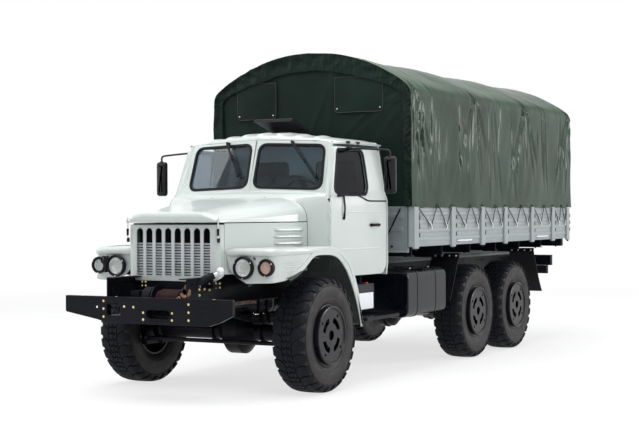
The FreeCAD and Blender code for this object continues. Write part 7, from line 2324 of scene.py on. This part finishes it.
def camera():
    ahead = Vector((-math.sin(CAMERA_YAW) * math.cos(CAMERA_PITCH),
                    math.cos(CAMERA_YAW) * math.cos(CAMERA_PITCH), math.sin(CAMERA_PITCH)))
    right = Vector((math.cos(CAMERA_YAW), math.sin(CAMERA_YAW), 0))
    up = right.cross(ahead)
    rolled_right = right * math.cos(CAMERA_ROLL) + up * math.sin(CAMERA_ROLL)
    rolled_up = up * math.cos(CAMERA_ROLL) - right * math.sin(CAMERA_ROLL)
    data = bpy.data.cameras.new("camera")
    data.lens = LENS_MM
    data.sensor_width = 36
    data.clip_end = 200
    item = placed_object("camera", data)
    turn = Matrix((rolled_right, rolled_up, -ahead)).transposed().to_4x4()
    item.matrix_world = Matrix.Translation(CAMERA_PLACE) @ turn
    bpy.context.scene.camera = item


def softbox(name, place, target, size, power):
    """An oblong lamp at a place, turned to a target."""
    data = bpy.data.lights.new(name, "AREA")
    data.shape = "RECTANGLE"
    data.size, data.size_y = size
    data.energy = power
    item = placed_object(name, data)
    item.location = place
    item.rotation_euler = (Vector(target) - Vector(place)).to_track_quat("-Z", "Y").to_euler()


def seen_white(tree, shader_socket, output, share):
    """Show a shader partly as plain white to the camera, in reflections and through glass."""
    path = add_node(tree, "LightPath").outputs
    rays = calculate(tree, "MAXIMUM", path["Is Camera Ray"], path["Is Glossy Ray"])
    rays = calculate(tree, "MAXIMUM", rays, path["Is Transmission Ray"])
    kind = "Emission" if output.type == "OUTPUT_MATERIAL" else "Background"
    white = add_node(tree, kind, Color=(1, 1, 1, 1)).outputs[0]
    mix = add_node(tree, "MixShader")
    for socket, value in zip(mix.inputs, (calculate(tree, "MULTIPLY", rays, share), shader_socket, white)):
        feed(tree, socket, value)
    feed(tree, output.inputs["Surface"], mix.outputs[0])


FLOOR_REACH = 120.0
# the lamps: (name, place, target, size, power)
LAMPS = (("key", (9, -9, 9), (0, 0, 1.2), (7, 7), 650), ("top", (0, -2, 11), (0, -1, 0), (7, 12), 1350),
         ("fill", (-10, -6, 5), (0, 0, 1.2), (6, 6), 450),
         ("sheen", (13, 10, 5), (1.2, 1.5, 2.2), (4, 5), 1000),
         ("back", (-4, 12, 7), (0, 0, 1.2), (7, 5), 450))


def stage():
    """A pale floor, a white surround and soft lamps."""
    scene = bpy.context.scene
    scene.view_settings.view_transform = "Standard"
    floor = bpy.data.meshes.new("floor")
    corners = [(x, y, 0) for x, y in oblong(-FLOOR_REACH, -FLOOR_REACH, FLOOR_REACH, FLOOR_REACH)]
    floor.from_pydata(corners, [], [(0, 1, 2, 3)])
    item = placed_object("floor", floor)
    item.location.z = -0.001
    paper = (0.85, 0.85, 0.85, 1)
    mat, tree, bsdf = shader("floor_paper", Base_Color=paper, Roughness=0.95, Specular_IOR_Level=0.0)
    length = add_node(tree, "VectorMath")
    length.operation = "LENGTH"
    feed(tree, length.inputs[0], coordinates(tree))
    far = spread(tree, length.outputs["Value"], From_Min=6.0, From_Max=16.0, To_Min=0.70)
    seen_white(tree, bsdf.outputs[0], tree.nodes["Material Output"], far)
    floor.materials.append(mat)
    world = bpy.data.worlds.new("world")
    scene.world = world
    world.use_nodes = True
    sky = world.node_tree
    background = sky.nodes["Background"]
    background.inputs["Color"].default_value = (0.93, 0.96, 1.0, 1)
    background.inputs["Strength"].default_value = 0.38
    seen_white(sky, background.outputs[0], sky.nodes["World Output"], 1.0)
    for lamp_row in LAMPS:
        softbox(*lamp_row)


# ------------------------------------------------------------------ the truck
camera()
stage()
paint_nodes()
for wheel_place, wheel_hand, wheel_side in WHEELS:
    tyre(wheel_place, wheel_hand)
    rim(wheel_place, wheel_hand, wheel_side)
for build in (hood, hood_sides, grille, wing, cowl, screen, roof, hatch):
    build()
door("left", 1)
door("right", -1)
for build in (bumper, winch, lamps, bed_walls, tailgate, cover, seats, cockpit, tanks, springs,
              axle_fittings, cab_back, bed_inside, bolted_frame, motor, running_gear, exhaust_pipe, steps,
              reservoirs, tail_beam, wheel_flaps, bows):
    build()
